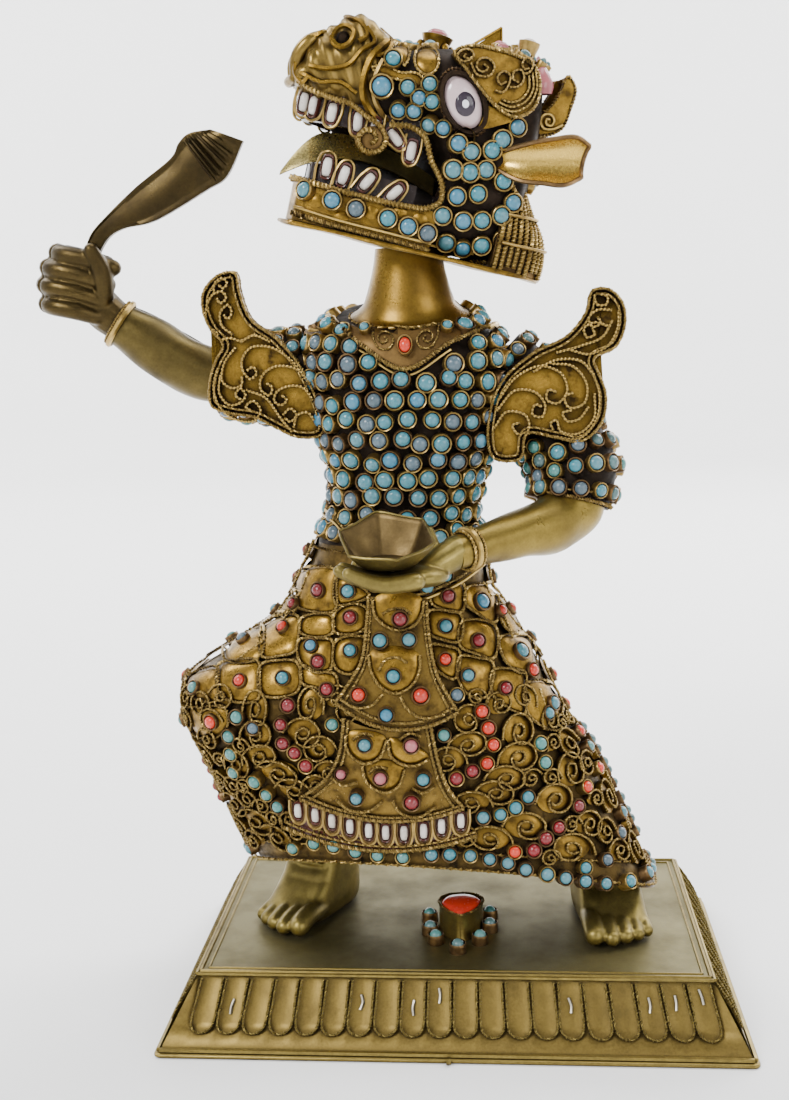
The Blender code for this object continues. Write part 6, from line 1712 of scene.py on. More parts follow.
def make_cup():
    """A beaten six-sided bowl that leans well to the viewer, browned inside."""
    shape = Shape()
    angles = np.linspace(0, TAU, 72, endpoint=False)
    facet = (angles + CUP_TURN) % (TAU / 6) - TAU / 12
    flats = math.cos(TAU / 12) / np.cos(facet)

    def ring(share, inset):
        flare = share ** 0.62
        w, d = 6.6 + 7.0 * flare - inset, 5.8 + 5.6 * flare - inset
        beat = 1 + (flats - 0.93) * min(1.0, 1.6 * share) + 0.012 * np.sin(5 * angles + 4 * share) * share
        x, y = w * beat * np.cos(angles), d * beat * np.sin(angles)
        z = 126.2 + 8.9 * share + CUP_LEAN * y * share + 0.35 * share * np.sin(4 * angles + 1.0)
        return np.stack([CUP_CENTRE[0] + x, CUP_CENTRE[1] + y, z], axis=1)

    outside = [ring(share, 0.0) for share in (0.001, 0.15, 0.35, 0.55, 0.75, 0.9, 1.0)]
    inside = [ring(share, 0.6) for share in (0.99, 0.9, 0.75, 0.55, 0.35, 0.2)]
    shape.add_grid(outside, "cup_sheet", closed=True, caps=(True, False))
    shape.add_grid([outside[-1], *inside], "cup_inside", closed=True, caps=(False, True))
    rim = ring(1.0, 0.3)
    add_wire(shape, rim, (0, 0, 1), 0.4, "cup_sheet", False, closed=True)
    shape.build("cup", ("cup",), slot="aged_brass")


KNIFE_BACK = (
    (-112.5, 214.0), (-111.8, 217.5), (-109.2, 223.5), (-104.3, 228.6), (-94.3, 237.1), (-83.0, 245.1),
    (-80.1, 249.5), (-76.6, 252.3), (-70.0, 253.2))
KNIFE_EDGE = (
    (-107.5, 214.0), (-107.0, 217.5), (-103.5, 222.5), (-98.4, 225.0), (-90.8, 226.3), (-83.9, 229.1),
    (-72.1, 235.5), (-65.5, 239.5), (-60.1, 249.5))


def make_knife():
    """A flared blade of brown sheet with a folded edge and small ridges near its broad end."""
    shape = Shape()
    rows, columns = 160, 18
    at = np.linspace(0, 1, rows)
    back = hermite(np.linspace(0, 1, len(KNIFE_BACK)), KNIFE_BACK, at)
    edge = hermite(np.linspace(0, 1, len(KNIFE_EDGE)), KNIFE_EDGE, at)
    rings = []
    for t, first, last in zip(at, back, edge):
        front, rear = [], []
        for j in range(columns):
            s = j / (columns - 1)
            x, z = first + (last - first) * s
            y = -5.0 - 0.06 * (x + 111.8) - 1.4 * math.sin(math.pi * s) * t - 0.25 * math.sin(9 * t + 3 * s)
            ridge = 0.9 * max(0.0, math.sin((t - 0.80) * 190)) if 0.80 < t < 0.95 and 0.1 < s < 0.9 else 0.0
            fold = 0.55 if s < 0.06 or s > 0.94 or t > 0.97 else 0.0
            front.append((x, y - 0.55 - ridge - fold, z))
            rear.append((x, y + 0.5 + fold * 0.6, z))
        rings.append(front + rear[::-1])
    shape.add_grid(rings[::-1], "knife_sheet", closed=True, caps=(True, True))
    shape.build("knife", ("knife",), slot="aged_brass")


# Shoulder flames

# Each flame: its outline in X and Z, its front's Y and lean, a close view's corner and enlargement, and its
# inner wires in that view.
FLAMES = {
    "flame_near": {
        "outline": (
            (-64.0, 210.6), (-62.9, 205.4), (-59.9, 197.0), (-51.5, 190.2), (-44.6, 181.6), (-40.8, 173.7),
            (-38.8, 161.0), (-46.6, 160.5), (-53.0, 163.5), (-59.2, 166.7), (-67.2, 168.2), (-72.5, 170.3),
            (-72.8, 178.3), (-70.5, 184.7), (-68.3, 188.7), (-72.1, 194.0), (-74.2, 199.9), (-74.0, 204.4),
            (-71.4, 208.2), (-68.0, 210.4)),
        "front": (-11.9, 0.02),
        "view": ((20, 150), 4.0),
        "wires": (
            ((775, 575), (780, 530), (808, 512), (828, 532), (812, 552), (794, 540)),
            ((795, 740), (748, 690), (748, 620), (775, 575), (808, 566), (824, 592), (800, 612), (786, 594)),
            ((850, 738), (806, 700), (806, 640), (832, 620), (846, 650), (830, 675), (814, 660)),
            (
                (1150, 925), (1075, 832), (990, 786), (920, 792), (888, 840), (895, 890), (922, 915),
                (946, 893), (930, 868), (908, 882)),
            (
                (1150, 900), (1085, 868), (1012, 868), (965, 910), (966, 962), (998, 980), (1008, 950),
                (986, 932)),
            (
                (1172, 1000), (1130, 950), (1070, 945), (1022, 975), (1018, 1005), (1045, 1020),
                (1066, 1000), (1046, 980)),
            ((1052, 1060), (1080, 1034), (1106, 1060), (1080, 1086), (1058, 1072)),
            ((860, 790), (814, 860), (812, 930), (850, 952), (886, 940), (888, 905)),
            (
                (790, 872), (774, 950), (800, 1030), (870, 1080), (940, 1080), (962, 1040), (930, 1004),
                (904, 1026), (930, 1046)),
            (
                (800, 900), (800, 980), (840, 1020), (882, 1010), (902, 980), (880, 954), (862, 980),
                (886, 1000)),
            ((905, 960), (980, 990), (1040, 1070), (1088, 1128)),
            ((1095, 1110), (1110, 1060), (1150, 1050), (1176, 1080)),
            ((940, 735), (880, 762), (840, 752), (800, 760)),
            ((1000, 765), (930, 742), (880, 770))),
    },
    "flame_far": {
        "outline": (
            (44.2, 202.5), (42.4, 196.6), (37.2, 189.8), (25.8, 183.9), (17.0, 176.2), (13.4, 168.3),
            (15.0, 152.7), (22.1, 153.0), (23.9, 160.2), (32.8, 159.1), (39.8, 157.7), (46.0, 162.5),
            (47.7, 172.1), (45.5, 178.3), (44.2, 181.8), (51.1, 186.0), (53.7, 192.9), (52.8, 198.9),
            (48.5, 202.8)),
        "front": (-14.9, 0.13),
        "view": ((180, 260), 3.0),
        "wires": (
            ((1242, 104), (1252, 134), (1280, 132), (1282, 108), (1262, 102)),
            ((1296, 150), (1252, 150), (1226, 176), (1238, 200), (1262, 188), (1252, 170)),
            ((1290, 200), (1240, 188), (1212, 206), (1222, 232), (1244, 222), (1236, 204)),
            ((1165, 268), (1230, 282), (1285, 256), (1314, 200), (1316, 150)),
            ((1130, 278), (1200, 258), (1270, 228), (1298, 180)),
            (
                (955, 420), (1010, 350), (1090, 318), (1150, 348), (1160, 400), (1130, 430), (1100, 418),
                (1106, 390), (1130, 396)),
            ((1110, 310), (1180, 320), (1222, 380), (1212, 430), (1166, 442), (1154, 410), (1180, 398)),
            (
                (950, 452), (1010, 390), (1070, 400), (1096, 440), (1086, 470), (1058, 464), (1066, 434),
                (1086, 440)),
            ((942, 505), (980, 456), (1040, 470), (1046, 510), (1014, 522), (998, 496), (1020, 488)),
            ((1244, 400), (1240, 480), (1190, 522), (1140, 512), (1128, 480), (1112, 490), (1120, 510)),
            ((1226, 440), (1195, 478), (1160, 482), (1148, 460), (1176, 450)),
            ((1240, 340), (1258, 400), (1252, 470), (1200, 535), (1120, 530)),
            ((1060, 335), (1130, 300), (1205, 305), (1245, 350))),
    },
}
FLAME_DEPTH = 2.4
FLAME_LEVEL = 170


def filled(shape, outline, place, thickness, finish):
    """A flat plate with an outline, placed by a function of its two coordinates and depth."""
    bm = bmesh.new()
    corners = [bm.verts.new((a, 0, b)) for a, b in outline]
    bm.faces.new(corners)
    bmesh.ops.triangulate(bm, faces=bm.faces)
    bm.verts.index_update()
    faces = [tuple(vert.index for vert in face.verts) for face in bm.faces]
    bm.free()
    front = [place(a, b, 0.0) for a, b in outline]
    back = [place(a, b, thickness) for a, b in outline]
    shape.add(front, faces, finish)
    shape.add(back, [tuple(reversed(face)) for face in faces], finish)
    shape.add_grid([front + front[:1], back + back[:1]], finish)


def flame_view(flame):
    """A chart of a flame's face by places in its close view."""
    front, lean = flame["front"]
    corner, scale = flame["view"]
    normal = unit(np.array((0, -1.0, lean)))

    def chart(a, b):
        start, way = view_ray(corner[0] + a / scale, corner[1] + b / scale)
        reach = (front + lean * (start[2] - FLAME_LEVEL) - start[1]) / (way[1] - lean * way[2])
        return np.array(start + way * reach) - normal * FLAME_DEPTH, normal

    return chart


def make_flames():
    """A gilt leaf on each shoulder, with curls of wire on walls of sheet inside twisted wires."""
    for name, flame in FLAMES.items():
        front, lean = flame["front"]
        shape, wires = Shape(), Shape()

        def place(x, z, depth, front=front, lean=lean):
            return np.array((x, front + lean * (z - FLAME_LEVEL) + depth, z))

        def chart(x, z, front=front, lean=lean):
            return place(x, z, FLAME_DEPTH, front, lean), np.array((0, -1.0, lean))

        def rear(x, z, front=front, lean=lean):
            return place(x, z, FLAME_DEPTH + 0.6, front, lean), np.array((0, 1.0, -lean))

        outline = smooth_line(flame["outline"], 1.6, closed=True)
        filled(shape, outline, lambda x, z, depth: place(x, z, depth + FLAME_DEPTH), 0.6, "flame_ground")
        normal = np.stack([np.gradient(outline[:, 1]), -np.gradient(outline[:, 0])], axis=1)
        centre = outline.mean(0)
        side = 1 if np.dot(normal[0], centre - outline[0]) >= 0 else -1
        for inset, height, radius in ((0.0, FLAME_DEPTH + 0.2, 0.62), (1.5, FLAME_DEPTH - 0.1, 0.5)):
            line = outline + unit(normal) * side * inset
            raise_wire(wires, chart, line, height, radius, closed=True, step=0.8)
            lay(wires, rear, line, radius, closed=True, lift=0.8, step=0.8)
        view = flame_view(flame)
        for line in flame["wires"]:
            raise_wire(wires, view, line, FLAME_DEPTH, step=2.4)
            spots = [view(a, b)[0] for a, b in line]
            lay(wires, rear, [(spot[0], spot[2]) for spot in spots], 0.42, lift=0.7, step=0.9)
        shape.build(name, (name,), slot="gilt_brass")
        wires.build(name + "_wires", slot="gilt_brass")


# Head, in its own frame of U, W and V

HEAD_MATRIX = (
    Matrix.Translation((-12.5, 0.0, 215.9)) @ Matrix.Rotation(math.pi + math.radians(12), 4, "Z")
    @ Matrix.Rotation(math.radians(-14), 4, "Y") @ Matrix.Rotation(math.radians(-4), 4, "X"))
# Each section: its U, its low and high V, and its half width.
SKULL_SECTIONS = (
    (-31.5, 12, 44, 8), (-29.5, 6, 54, 13.5), (-24, 1.8, 61.5, 17.5), (-16, 1.6, 64, 19.2),
    (-10, 1.6, 63, 19.8), (-4.3, 1.6, 61, 20))
MUZZLE_SECTIONS = (
    (-4.3, 25, 61, 19.6), (2, 32, 60, 18.6), (8, 34.5, 58.4, 17), (14, 34, 57, 15.6), (20, 33, 58.5, 14.6),
    (26, 34.4, 61.8, 14.2), (31.5, 35.6, 61.6, 13.8), (37, 36.8, 57.6, 13), (42, 38, 52.4, 11),
    (45, 39.6, 47.5, 7))
# Half outlines from back to front: U and the half width.
JAW_HALF = (
    (-4, 19.6), (0, 19.2), (6, 18.4), (13, 17.2), (20, 16), (27, 14.8), (33, 12.8), (36.6, 9), (38, 3.4))
JAW_LOW, JAW_HIGH = 1.5, 13.0
CHIN_HALF = (
    (-41, 0), (-40, 9), (-34, 16), (-24, 19.6), (-4, 20.2), (14, 18.4), (28, 15.6), (36.6, 12.4), (38.6, 8),
    (37.6, 0))
NOSE_START = 20.0
CHEEK_GAP = 3.9


def head_skin(sections, around, up, power=3.0):
    """A skin that runs to the snout through sections of low, high and half width."""
    rings = []
    for u, low, high, half in sections:
        w, v = superellipse(RING_ANGLES, half, (high - low) / 2, power)
        rings.append(np.stack([np.full_like(w, u), w, v + (low + high) / 2], axis=1))
    return Skin([row[0] for row in sections], rings, around, up)


def nose_row(rows):
    """The row of the muzzle's grid at which the nose starts."""
    start, end = MUZZLE_SECTIONS[0][0], MUZZLE_SECTIONS[-1][0]
    return int((NOSE_START - start) / (end - start) * (rows - 1))


def side_chart(skin, side, out=0.0):
    """A chart of one side of the head, by U and V."""
    def chart(u, v):
        place, normal = skin.cast((u, side * OUTSIDE, v), (0, -side, 0))
        return place + normal * out, normal
    return chart


def shifted(chart, u, v):
    return lambda a, b: chart(u + a, v + b)


def mirrored(half):
    """A closed outline from its half on the viewer's side, front to back and round."""
    near = list(reversed(half))
    return near + [(u, -w) for u, w in half if w > 0]


# The near side of the head in a close view: the view's corner and enlargement, the places of its stones, and
# the outlines of the forehead's plates. The far side mirrors the near one.
HEAD_VIEW = ((270, 10), 4.0)
CHEEK_STONES = (
    (690, 545), (750, 535), (802, 568), (885, 562), (926, 520), (730, 640), (797, 650), (860, 640),
    (930, 685), (745, 745), (828, 735), (905, 730), (968, 770), (688, 820), (770, 842), (845, 840),
    (920, 820), (925, 915), (845, 938), (770, 948), (703, 925), (985, 470))
JAW_STONES = ((148, 722), (250, 762), (345, 797), (472, 835), (553, 867), (630, 894))
MUZZLE_STONES = (
    (447, 308), (490, 205), (553, 312), (515, 395), (580, 398), (645, 452), (700, 470), (642, 300),
    (600, 352), (652, 368))
FOREHEAD_PLATES = (
    ((585, 176), (622, 158), (664, 172), (676, 214), (660, 250), (622, 262), (590, 238), (578, 205)),
    ((408, 232), (456, 222), (520, 252), (600, 262), (622, 290), (590, 318), (520, 282), (450, 262)),
    ((480, 160), (520, 140), (556, 168), (540, 225), (500, 180)))
BORDER_WIRE = (
    (36.4, 3.4), (24.4, 2.5), (7.9, 2.2), (-5.5, 2.0), (-18.8, 2.4), (-26.1, 5.1), (-29.2, 10.6),
    (-29.6, 16.4), (-27.5, 21.6), (-23.0, 26.3))


def head_ray(a, b):
    """The line of sight through a place in the head's close view, in the head's own frame."""
    (left, top), scale = HEAD_VIEW
    start, way = view_ray(left + a / scale, top + b / scale)
    back = HEAD_MATRIX.inverted()
    return back @ start, (back.to_3x3() @ way).normalized()


def view_chart(skin, side):
    """A chart of a skin of the head by the close view, mirrored for the far side."""
    def chart(a, b):
        place, normal = skin.cast(*head_ray(a, b))
        return place * (1, side, 1), normal * (1, side, 1)
    return chart


def make_skull():
    """The cheeks, crown and muzzle of close-set stones, and the plates on the forehead."""
    draw = random.Random(31)
    skull, upper = head_skin(SKULL_SECTIONS, 96, 30), head_skin(MUZZLE_SECTIONS, 96, 60)
    ground, stones, plates = Shape(), Shape(), Shape()
    skull.sheet(ground, "bodice_ground", inset=0.5, caps=(True, False))
    # The skull's front end, behind the open mouth, is closed in near-black painted as the shade inside the
    # mouth.
    ground.add_grid(skull.grid[-2:] * (1, 0.96, 0.96) + (0, 0, 1.2), "mouth_dark", closed=True,
        caps=(False, True))
    muzzle = upper.grid[:nose_row(60) + 1] * (1, 0.98, 1)
    ground.add_grid(muzzle, "bodice_ground", closed=True, caps=(True, False))
    for side in (1, -1):
        cheek, jowl = view_chart(skull, side), view_chart(upper, side)
        taken = []
        for a, b in CHEEK_STONES:
            finish = draw.choice(("turquoise", "blue_turquoise", "turquoise"))
            place, normal = cheek(a, b)
            if any(np.linalg.norm(place - other) < CHEEK_GAP for other in taken):
                continue
            taken.append(place)
            set_stone(stones, place, unit(normal + (0, 0.6 * side, 0)), 3.0 * draw.uniform(0.96, 1.03),
                finish)
        for i, (a, b) in enumerate(MUZZLE_STONES):
            radius = (3.6, 2.8)[i] if i < 2 else 2.6
            set_stone(stones, *jowl(a, b), radius, draw.choice(("turquoise", "blue_turquoise")), tall=1.3)
        for outline in FOREHEAD_PLATES:
            set_plate(jowl, plates, plates, outline, 0.8, 0.5)
    for w in (-4.2, 4.2):
        for v in (28.0, 34.5, 41.0):
            set_stone(stones, np.array((-31.5, w, v)), (-1, 0, 0), 2.7,
                draw.choice(("turquoise", "dull_turquoise")))
    for u in (-20.0, -13.5):
        for w in (-9.5, -3.2, 3.2, 9.5):
            finish = draw.choice(("dull_turquoise", "pink_stone", "turquoise"))
            set_stone(stones, *skull.cast((u, w, OUTSIDE), (0, 0, -1)), 2.4, finish)
    for u, v in ((4.0, 0.0), (10.5, 0.0), (16.5, 0.0), (7.0, 6.0), (13.5, 6.5), (7.0, -6.0), (13.5, -6.5)):
        finish = draw.choice(("turquoise", "blue_turquoise", "dull_turquoise"))
        set_stone(stones, *upper.cast((u, v, OUTSIDE), (0, 0, -1)), 2.5, finish)
    ground.build("head_ground", ("skull", "muzzle"), HEAD_MATRIX, "turquoise_work")
    stones.build("head_stones", (), HEAD_MATRIX, "turquoise_work")
    plates.build("forehead_plates", (), HEAD_MATRIX, "gilt_brass")


MOUTH_LINING = (
    (-3.8, 9.0), (4.0, 6.5), (22.0, 6.5), (28.0, 10.0), (26.0, 22.0), (30.0, 30.0), (36.0, 34.0),
    (33.0, 39.5), (20.0, 38.5), (6.0, 38.5), (-3.8, 36.0))


def make_mouth_lining():
    """The dark sheet that closes the mouth behind the tongue, painted as the shade inside the mouth."""
    shape = Shape()
    outline = smooth_line(MOUTH_LINING, 1.5, closed=True)
    filled(shape, outline, lambda u, v, depth: np.array((u, -4.0 - depth, v)), 0.8, "mouth_dark")
    shape.build("mouth_lining", (), HEAD_MATRIX, "aged_brass")


LIP_WIRE = (
    (43.0, 8.6, 40.4), (38.6, 12.4, 38.4), (32.0, 14.2, 37.4), (27.0, 14.9, 37.0), (22.6, 15.4, 35.0),
    (17.2, 16.2, 32.6), (15.0, 16.6, 29.6), (16.6, 16.8, 26.0), (20.6, 16.8, 25.2), (23.0, 16.8, 28.0),
    (21.4, 16.8, 30.8), (18.8, 16.8, 30.6), (18.0, 16.8, 28.6), (19.4, 16.8, 27.6))
NOSE_COLLAR = ((20.6, 56.0), (23.9, 51.5), (25.0, 46.5), (24.6, 42.0), (21.6, 37.6), (17.2, 35.0))
NOSTRIL = ((30.6, 56.8), (31.2, 53.0), (34.0, 51.6), (36.0, 53.0), (35.2, 55.6), (33.0, 57.4))
NOSE_SCROLLS = (
    ((38.6, 54.6), (42.6, 50.6), (44.2, 46.0), (43.6, 41.8), (41.4, 40.4), (40.4, 42.4)),
    ((27.0, 58.6), (24.2, 55.0), (27.0, 52.4), (30.0, 47.6), (36.0, 45.0), (40.6, 44.6)),
    ((22.8, 60.0), (19.0, 56.4), (20.6, 52.6), (24.8, 52.0)),
    ((33.0, 60.6), (28.8, 59.2), (26.6, 56.6), (28.6, 54.2)),
    ((26.0, 40.6), (31.0, 42.4), (37.0, 41.4), (42.4, 42.4)))


def make_nose():
    """The hammered snout with folds, nostrils and a scrolled lip."""
    upper = head_skin(MUZZLE_SECTIONS, 120, 72)
    shape = Shape()
    grid = upper.grid[nose_row(72):]
    u, w, v = grid[..., 0], grid[..., 1], grid[..., 2]
    top = np.clip((v - 46) / 10, 0, 1)
    folds = 0.65 * np.sin(0.62 * u + 0.5 * v + 1.0) * np.cos(0.35 * np.abs(w))
    folds = folds + 0.45 * np.sin(1.3 * u - 0.7 * v)
    sunk = -1.5 * np.exp(-(w / 3.2) ** 2) * top + 0.9 * np.exp(-((np.abs(w) - 8.0) / 3.0) ** 2) * top
    pit = -3.2 * np.exp(-((u - 33.4) / 2.6) ** 2 - ((v - 54.4) / 2.8) ** 2)
    worked = grid + grid_normals(grid) * (folds + sunk + pit)[..., None]
    shape.add_grid(worked, "nose_sheet", closed=True, caps=(True, True))
    for side in (1, -1):
        chart = side_chart(upper, side)
        lay(shape, chart, NOSTRIL, 0.8, "gilt_sheet", False, closed=True, lift=1.0)
        place, normal = chart(33.3, 54.5)
        # A dark ball sunk in the nostril, painted as the shade inside it.
        add_ball(shape, place - normal * 1.4, (1.9, 1.2, 2.3), "dark_gap")
        for line in NOSE_SCROLLS:
            lay(shape, chart, line, 0.75, "gilt_sheet", False, lift=0.9)
        lay(shape, chart, NOSE_COLLAR, 1.1, "gilt_sheet", False, lift=0.9)
        lay(shape, chart, [(a - 3.2, b * 0.96 + 1.6) for a, b in NOSE_COLLAR[1:]], 0.8, "gilt_rim", False,
            lift=0.9)
        lip = smooth_line([(a, b * side, c) for a, b, c in LIP_WIRE], 0.6)
        add_wire(shape, lip, (0, side, 0.2), 1.05)
        curl = [(a, b * side * 0.99, c) for a, b, c in LIP_WIRE[5:]]
        add_ball(shape, (18.8, side * 15.8, 28.6), (4.0, 0.9, 4.0), "brown_sheet")
        inward = smooth_line(curl, 0.6) - (0, side * 1.2, 0)
        add_wire(shape, inward, (0, side, 0), 0.9, "gilt_sheet", False)
        add_tube(shape, ((38.5, side * 7.5, 55.0), (42.4, side * 8.2, 51.5), (44.6, side * 7.2, 46.4),
            (44.2, side * 6.4, 41.6)),
                 (1.2, 2.0, 2.1, 1.5), "nose_sheet")
    add_tube(shape, ((44.4, -6.4, 41.0), (45.3, 0, 40.2), (44.4, 6.4, 41.0)), (1.3, 1.6, 1.3), "nose_sheet")
    shape.build("nose", ("nose",), HEAD_MATRIX, "gilt_brass")


MOUTH_WIRE = (
    (14.9, 16.2, 34.0), (8.5, 17.4, 34.7), (4.6, 18.5, 33.0), (1.2, 19.4, 27.0), (-3.6, 20.3, 20.4),
    (-4.0, 20.5, 16.2), (-0.6, 20.0, 13.4), (4.5, 19.3, 12.7), (16.5, 17.2, 12.4), (26.3, 15.4, 12.6),
    (33.0, 13.2, 13.0), (36.9, 9.2, 13.4), (38.4, 3.4, 13.6))
JAW_PLATES = ((14.6, 8.6), (31.0, 8.2), (22.9, 5.2), (6.6, 10.4), (0.4, 9.8))


def make_jaw():
    """The open lower jaw with its band of stones, its inside painted dark as shade, and the mouth's thick
    wire.
    """
    loop = np.array(mirrored(JAW_HALF))
    rings = [np.column_stack([loop, np.full(len(loop), v)]) for v in (JAW_LOW, 7.0, JAW_HIGH)]
    jaw = Skin((JAW_LOW, 7.0, JAW_HIGH), rings, 132, 12)
    shape, stones = Shape(), Shape()
    jaw.sheet(shape, "gilt_sheet", caps=(True, False))
    centre = np.array((12.0, 0, 0))

    def inner(share, v):
        ring = (jaw.grid[-1] - centre) * (share, share, 1) + centre
        ring[:, 2] = v
        return ring

    shape.add_grid([jaw.grid[-1], inner(0.97, 13.2), inner(0.93, 12.6)], "gilt_sheet", closed=True)
    # The jaw's inside, near-black as painted shade.
    shape.add_grid([inner(0.93, 12.6), inner(0.90, 5.0)], "mouth_dark", closed=True, caps=(False, True))
    skull = head_skin(SKULL_SECTIONS, 96, 30)
    for side in (1, -1):
        chart, cheek = side_chart(jaw, side), side_chart(skull, side)
        view = view_chart(jaw, side)
        for i, (a, b) in enumerate(JAW_STONES):
            set_stone(stones, *view(a, b), 3.0, ("turquoise", "blue_turquoise", "dull_blue")[i % 3], tall=1.1)
        for u, v in JAW_PLATES:
            pillow(shape, shifted(chart, u, v), 4.4, 4.0, "gilt_sheet", 0.6, base=0.1)

        def border(u, v, chart=chart, cheek=cheek):
            return chart(u, v) if u > -4 else cheek(u, v)

        lay(shape, border, BORDER_WIRE, 1.0, lift=0.9)
        lay(shape, border, [(u, v + 1.9) for u, v in BORDER_WIRE[:5]], 0.5, "gilt_wire", False, lift=0.6)
        wire = smooth_line([(a, b * side, c) for a, b, c in MOUTH_WIRE], 0.6)
        add_wire(shape, wire, (0, side, 0.3), 1.15)
    front = smooth_line(((38.4, 3.4, 13.6), (38.8, 0, 13.7), (38.4, -3.4, 13.6)), 0.6)
    add_wire(shape, front, (1, 0, 0.3), 1.15)
    shape.build("jaw_band", ("lower_jaw",), HEAD_MATRIX, "gilt_brass")
    stones.build("jaw_stones", (), HEAD_MATRIX, "turquoise_work")


UPPER_TOOTH_PATH = ((3.0, 14.6), (11, 13.2), (17, 12.5), (23, 12.0), (29, 11.2), (34.8, 9.0), (38.6, 4.6))
LOWER_TOOTH_PATH = (
    (3.0, 16.0), (11.5, 14.9), (18, 13.9), (24.5, 12.8), (30.5, 11.4), (34.0, 8.0), (35.0, 3.0))
# Each tooth: its U, its V and its lean.
UPPER_TEETH = (
    (40.0, 35.2, 0.0), (36.4, 34.8, 0.0), (31.3, 33.8, 0.0), (23.7, 32.9, 0.1), (18.6, 32.0, 0.0),
    (12.2, 31.0, 0.9), (6.7, 28.4, 0.0))
LOWER_TEETH = ((29.6, 18.4, 0.0), (24.4, 17.2, -0.15), (17.4, 17.0, -0.5), (9.0, 15.6, -0.6))


def wall_chart(path, side):
    """A chart of a wall that stands on one side of the mouth, by U and V."""
    points = np.array(path)
    order = np.argsort(points[:, 0])
    points = points[order]

    def chart(u, v):
        w = float(np.interp(u, points[:, 0], points[:, 1]))
        behind, ahead = np.interp((u - 0.6, u + 0.6), points[:, 0], points[:, 1])
        normal = unit(np.array((-(ahead - behind) / 1.2, side * 1.0, 0.0)))
        return np.array((u, side * w, v)), normal

    return chart


def make_teeth():
    """Pale tubes set in red-brown cells above and below the mouth."""
    shape = Shape()
    full = list(UPPER_TOOTH_PATH) + [(u, -w) for u, w in reversed(UPPER_TOOTH_PATH)]
    path = smooth_line(full, 1.2)
    inner = path - unit(path - (12.0, 0)) * 2.2
    # A near-black strip behind the upper teeth, painted as the shade in the mouth.
    strip = []
    for line, v in ((path, 40.8), (path, 30.6), (inner, 30.4), (inner, 40.8)):
        strip.append(np.column_stack([line, np.full(len(line), v)]))
    shape.add_grid(strip, "mouth_dark")
    for side in (1, -1):
        low = smooth_line([(u, w * side) for u, w in LOWER_TOOTH_PATH], 1.2)
        back = low - unit(low - (12.0, 0)) * 2.0
        # A near-black strip behind the lower teeth, painted as the shade in the mouth.
        levels = ((low, 19.0), (low, 12.6), (back, 12.6), (back, 19.0), (low, 19.0))
        strip = [np.column_stack([line, np.full(len(line), v)]) for line, v in levels]
        shape.add_grid(strip[::-1] if side > 0 else strip, "mouth_dark")
        for path_used, teeth, flip in ((UPPER_TOOTH_PATH, UPPER_TEETH, 1),
                (LOWER_TOOTH_PATH, LOWER_TEETH, -1)):
            wall = wall_chart(path_used, side)
            for u, v, lean in teeth:
                spot = shifted(wall, u, v)
                towards = (math.sin(lean) * side, 0, math.cos(lean))
                set_stone(shape, *spot(0, 0), 1.8, "white_inlay", 1.0, 2.0, "red_brown", towards, 4, -0.3)
                cell = scaled(TOOTH_CELL, 4.9, 9.0 * flip, -lean)
                lay(shape, spot, cell, 0.42, "gilt_rim", False, lift=2.2)
    shape.build("teeth", ("upper_teeth", "lower_teeth_near", "lower_teeth_far"), HEAD_MATRIX, "bone_white")


# Each section: its U, its V and its half width.
TONGUE_SECTIONS = (
    (-3.7, 20.5, 3.0), (10, 24.6, 3.4), (22, 25.6, 3.8), (29, 24.6, 4.8), (35, 22.2, 4.8), (39.6, 17.8, 2.8),
    (42.6, 13.9, 0.5))
TONGUE_TWIST = math.radians(58)
TONGUE_OFFSET = 2.0


def make_tongue():
    """A plain bright leaf of sheet, twisted towards the viewer, that hangs between the teeth."""
    knots = [row[0] for row in TONGUE_SECTIONS]
    rows = hermite(knots, TONGUE_SECTIONS, np.linspace(knots[0], knots[-1], 40))
    s = np.linspace(-1, 1, 13)
    rings = []
    for u, v, half in rows:
        half = max(half, 0.3)
        ring = []
        for sheet, order in ((0.45, s), (-0.45, s[::-1])):
            for share in order:
                across, up = share * half, 0.16 * half * share ** 2 + sheet * (1 - 0.35 * share ** 2)
                w = across * math.cos(TONGUE_TWIST) + up * math.sin(TONGUE_TWIST) + TONGUE_OFFSET
                ring.append((u, w, v - across * math.sin(TONGUE_TWIST) + up * math.cos(TONGUE_TWIST)))
        rings.append(ring)
    shape = Shape()
    shape.add_grid(rings[::-1], "tongue_sheet", closed=True, caps=(True, True))
    shape.build("tongue", ("tongue",), HEAD_MATRIX, "gilt_brass")


def make_chin():
    """The flat sheet under the head, with a rolled edge."""
    shape = Shape()
    outline = [(u, w) for u, w in mirrored(CHIN_HALF[1:-1])]
    smooth = smooth_line(outline, 1.4, closed=True)

    def place(u, w, depth):
        return np.array((u, w, depth - 0.05 + 0.25 * math.sin(u * 0.2) * math.cos(w * 0.2)))

    filled(shape, smooth, place, 1.0, "aged_brass")
    ring = np.column_stack([smooth, np.full(len(smooth), 0.7)])
    add_wire(shape, ring, (0, 0, 1), 0.6, "gilt_sheet", False, closed=True)
    shape.build("chin_plate", ("chin_plate",), HEAD_MATRIX, "aged_brass")


BROW_OUTLINE = (
    (1.7, 57.4), (-2.3, 60.0), (-9.0, 60.8), (-16.0, 60.6), (-22.0, 58.8), (-24.8, 53.6), (-24.0, 47.4),
    (-20.0, 44.2), (-14.0, 45.4), (-8.4, 49.0), (-3.0, 53.2))
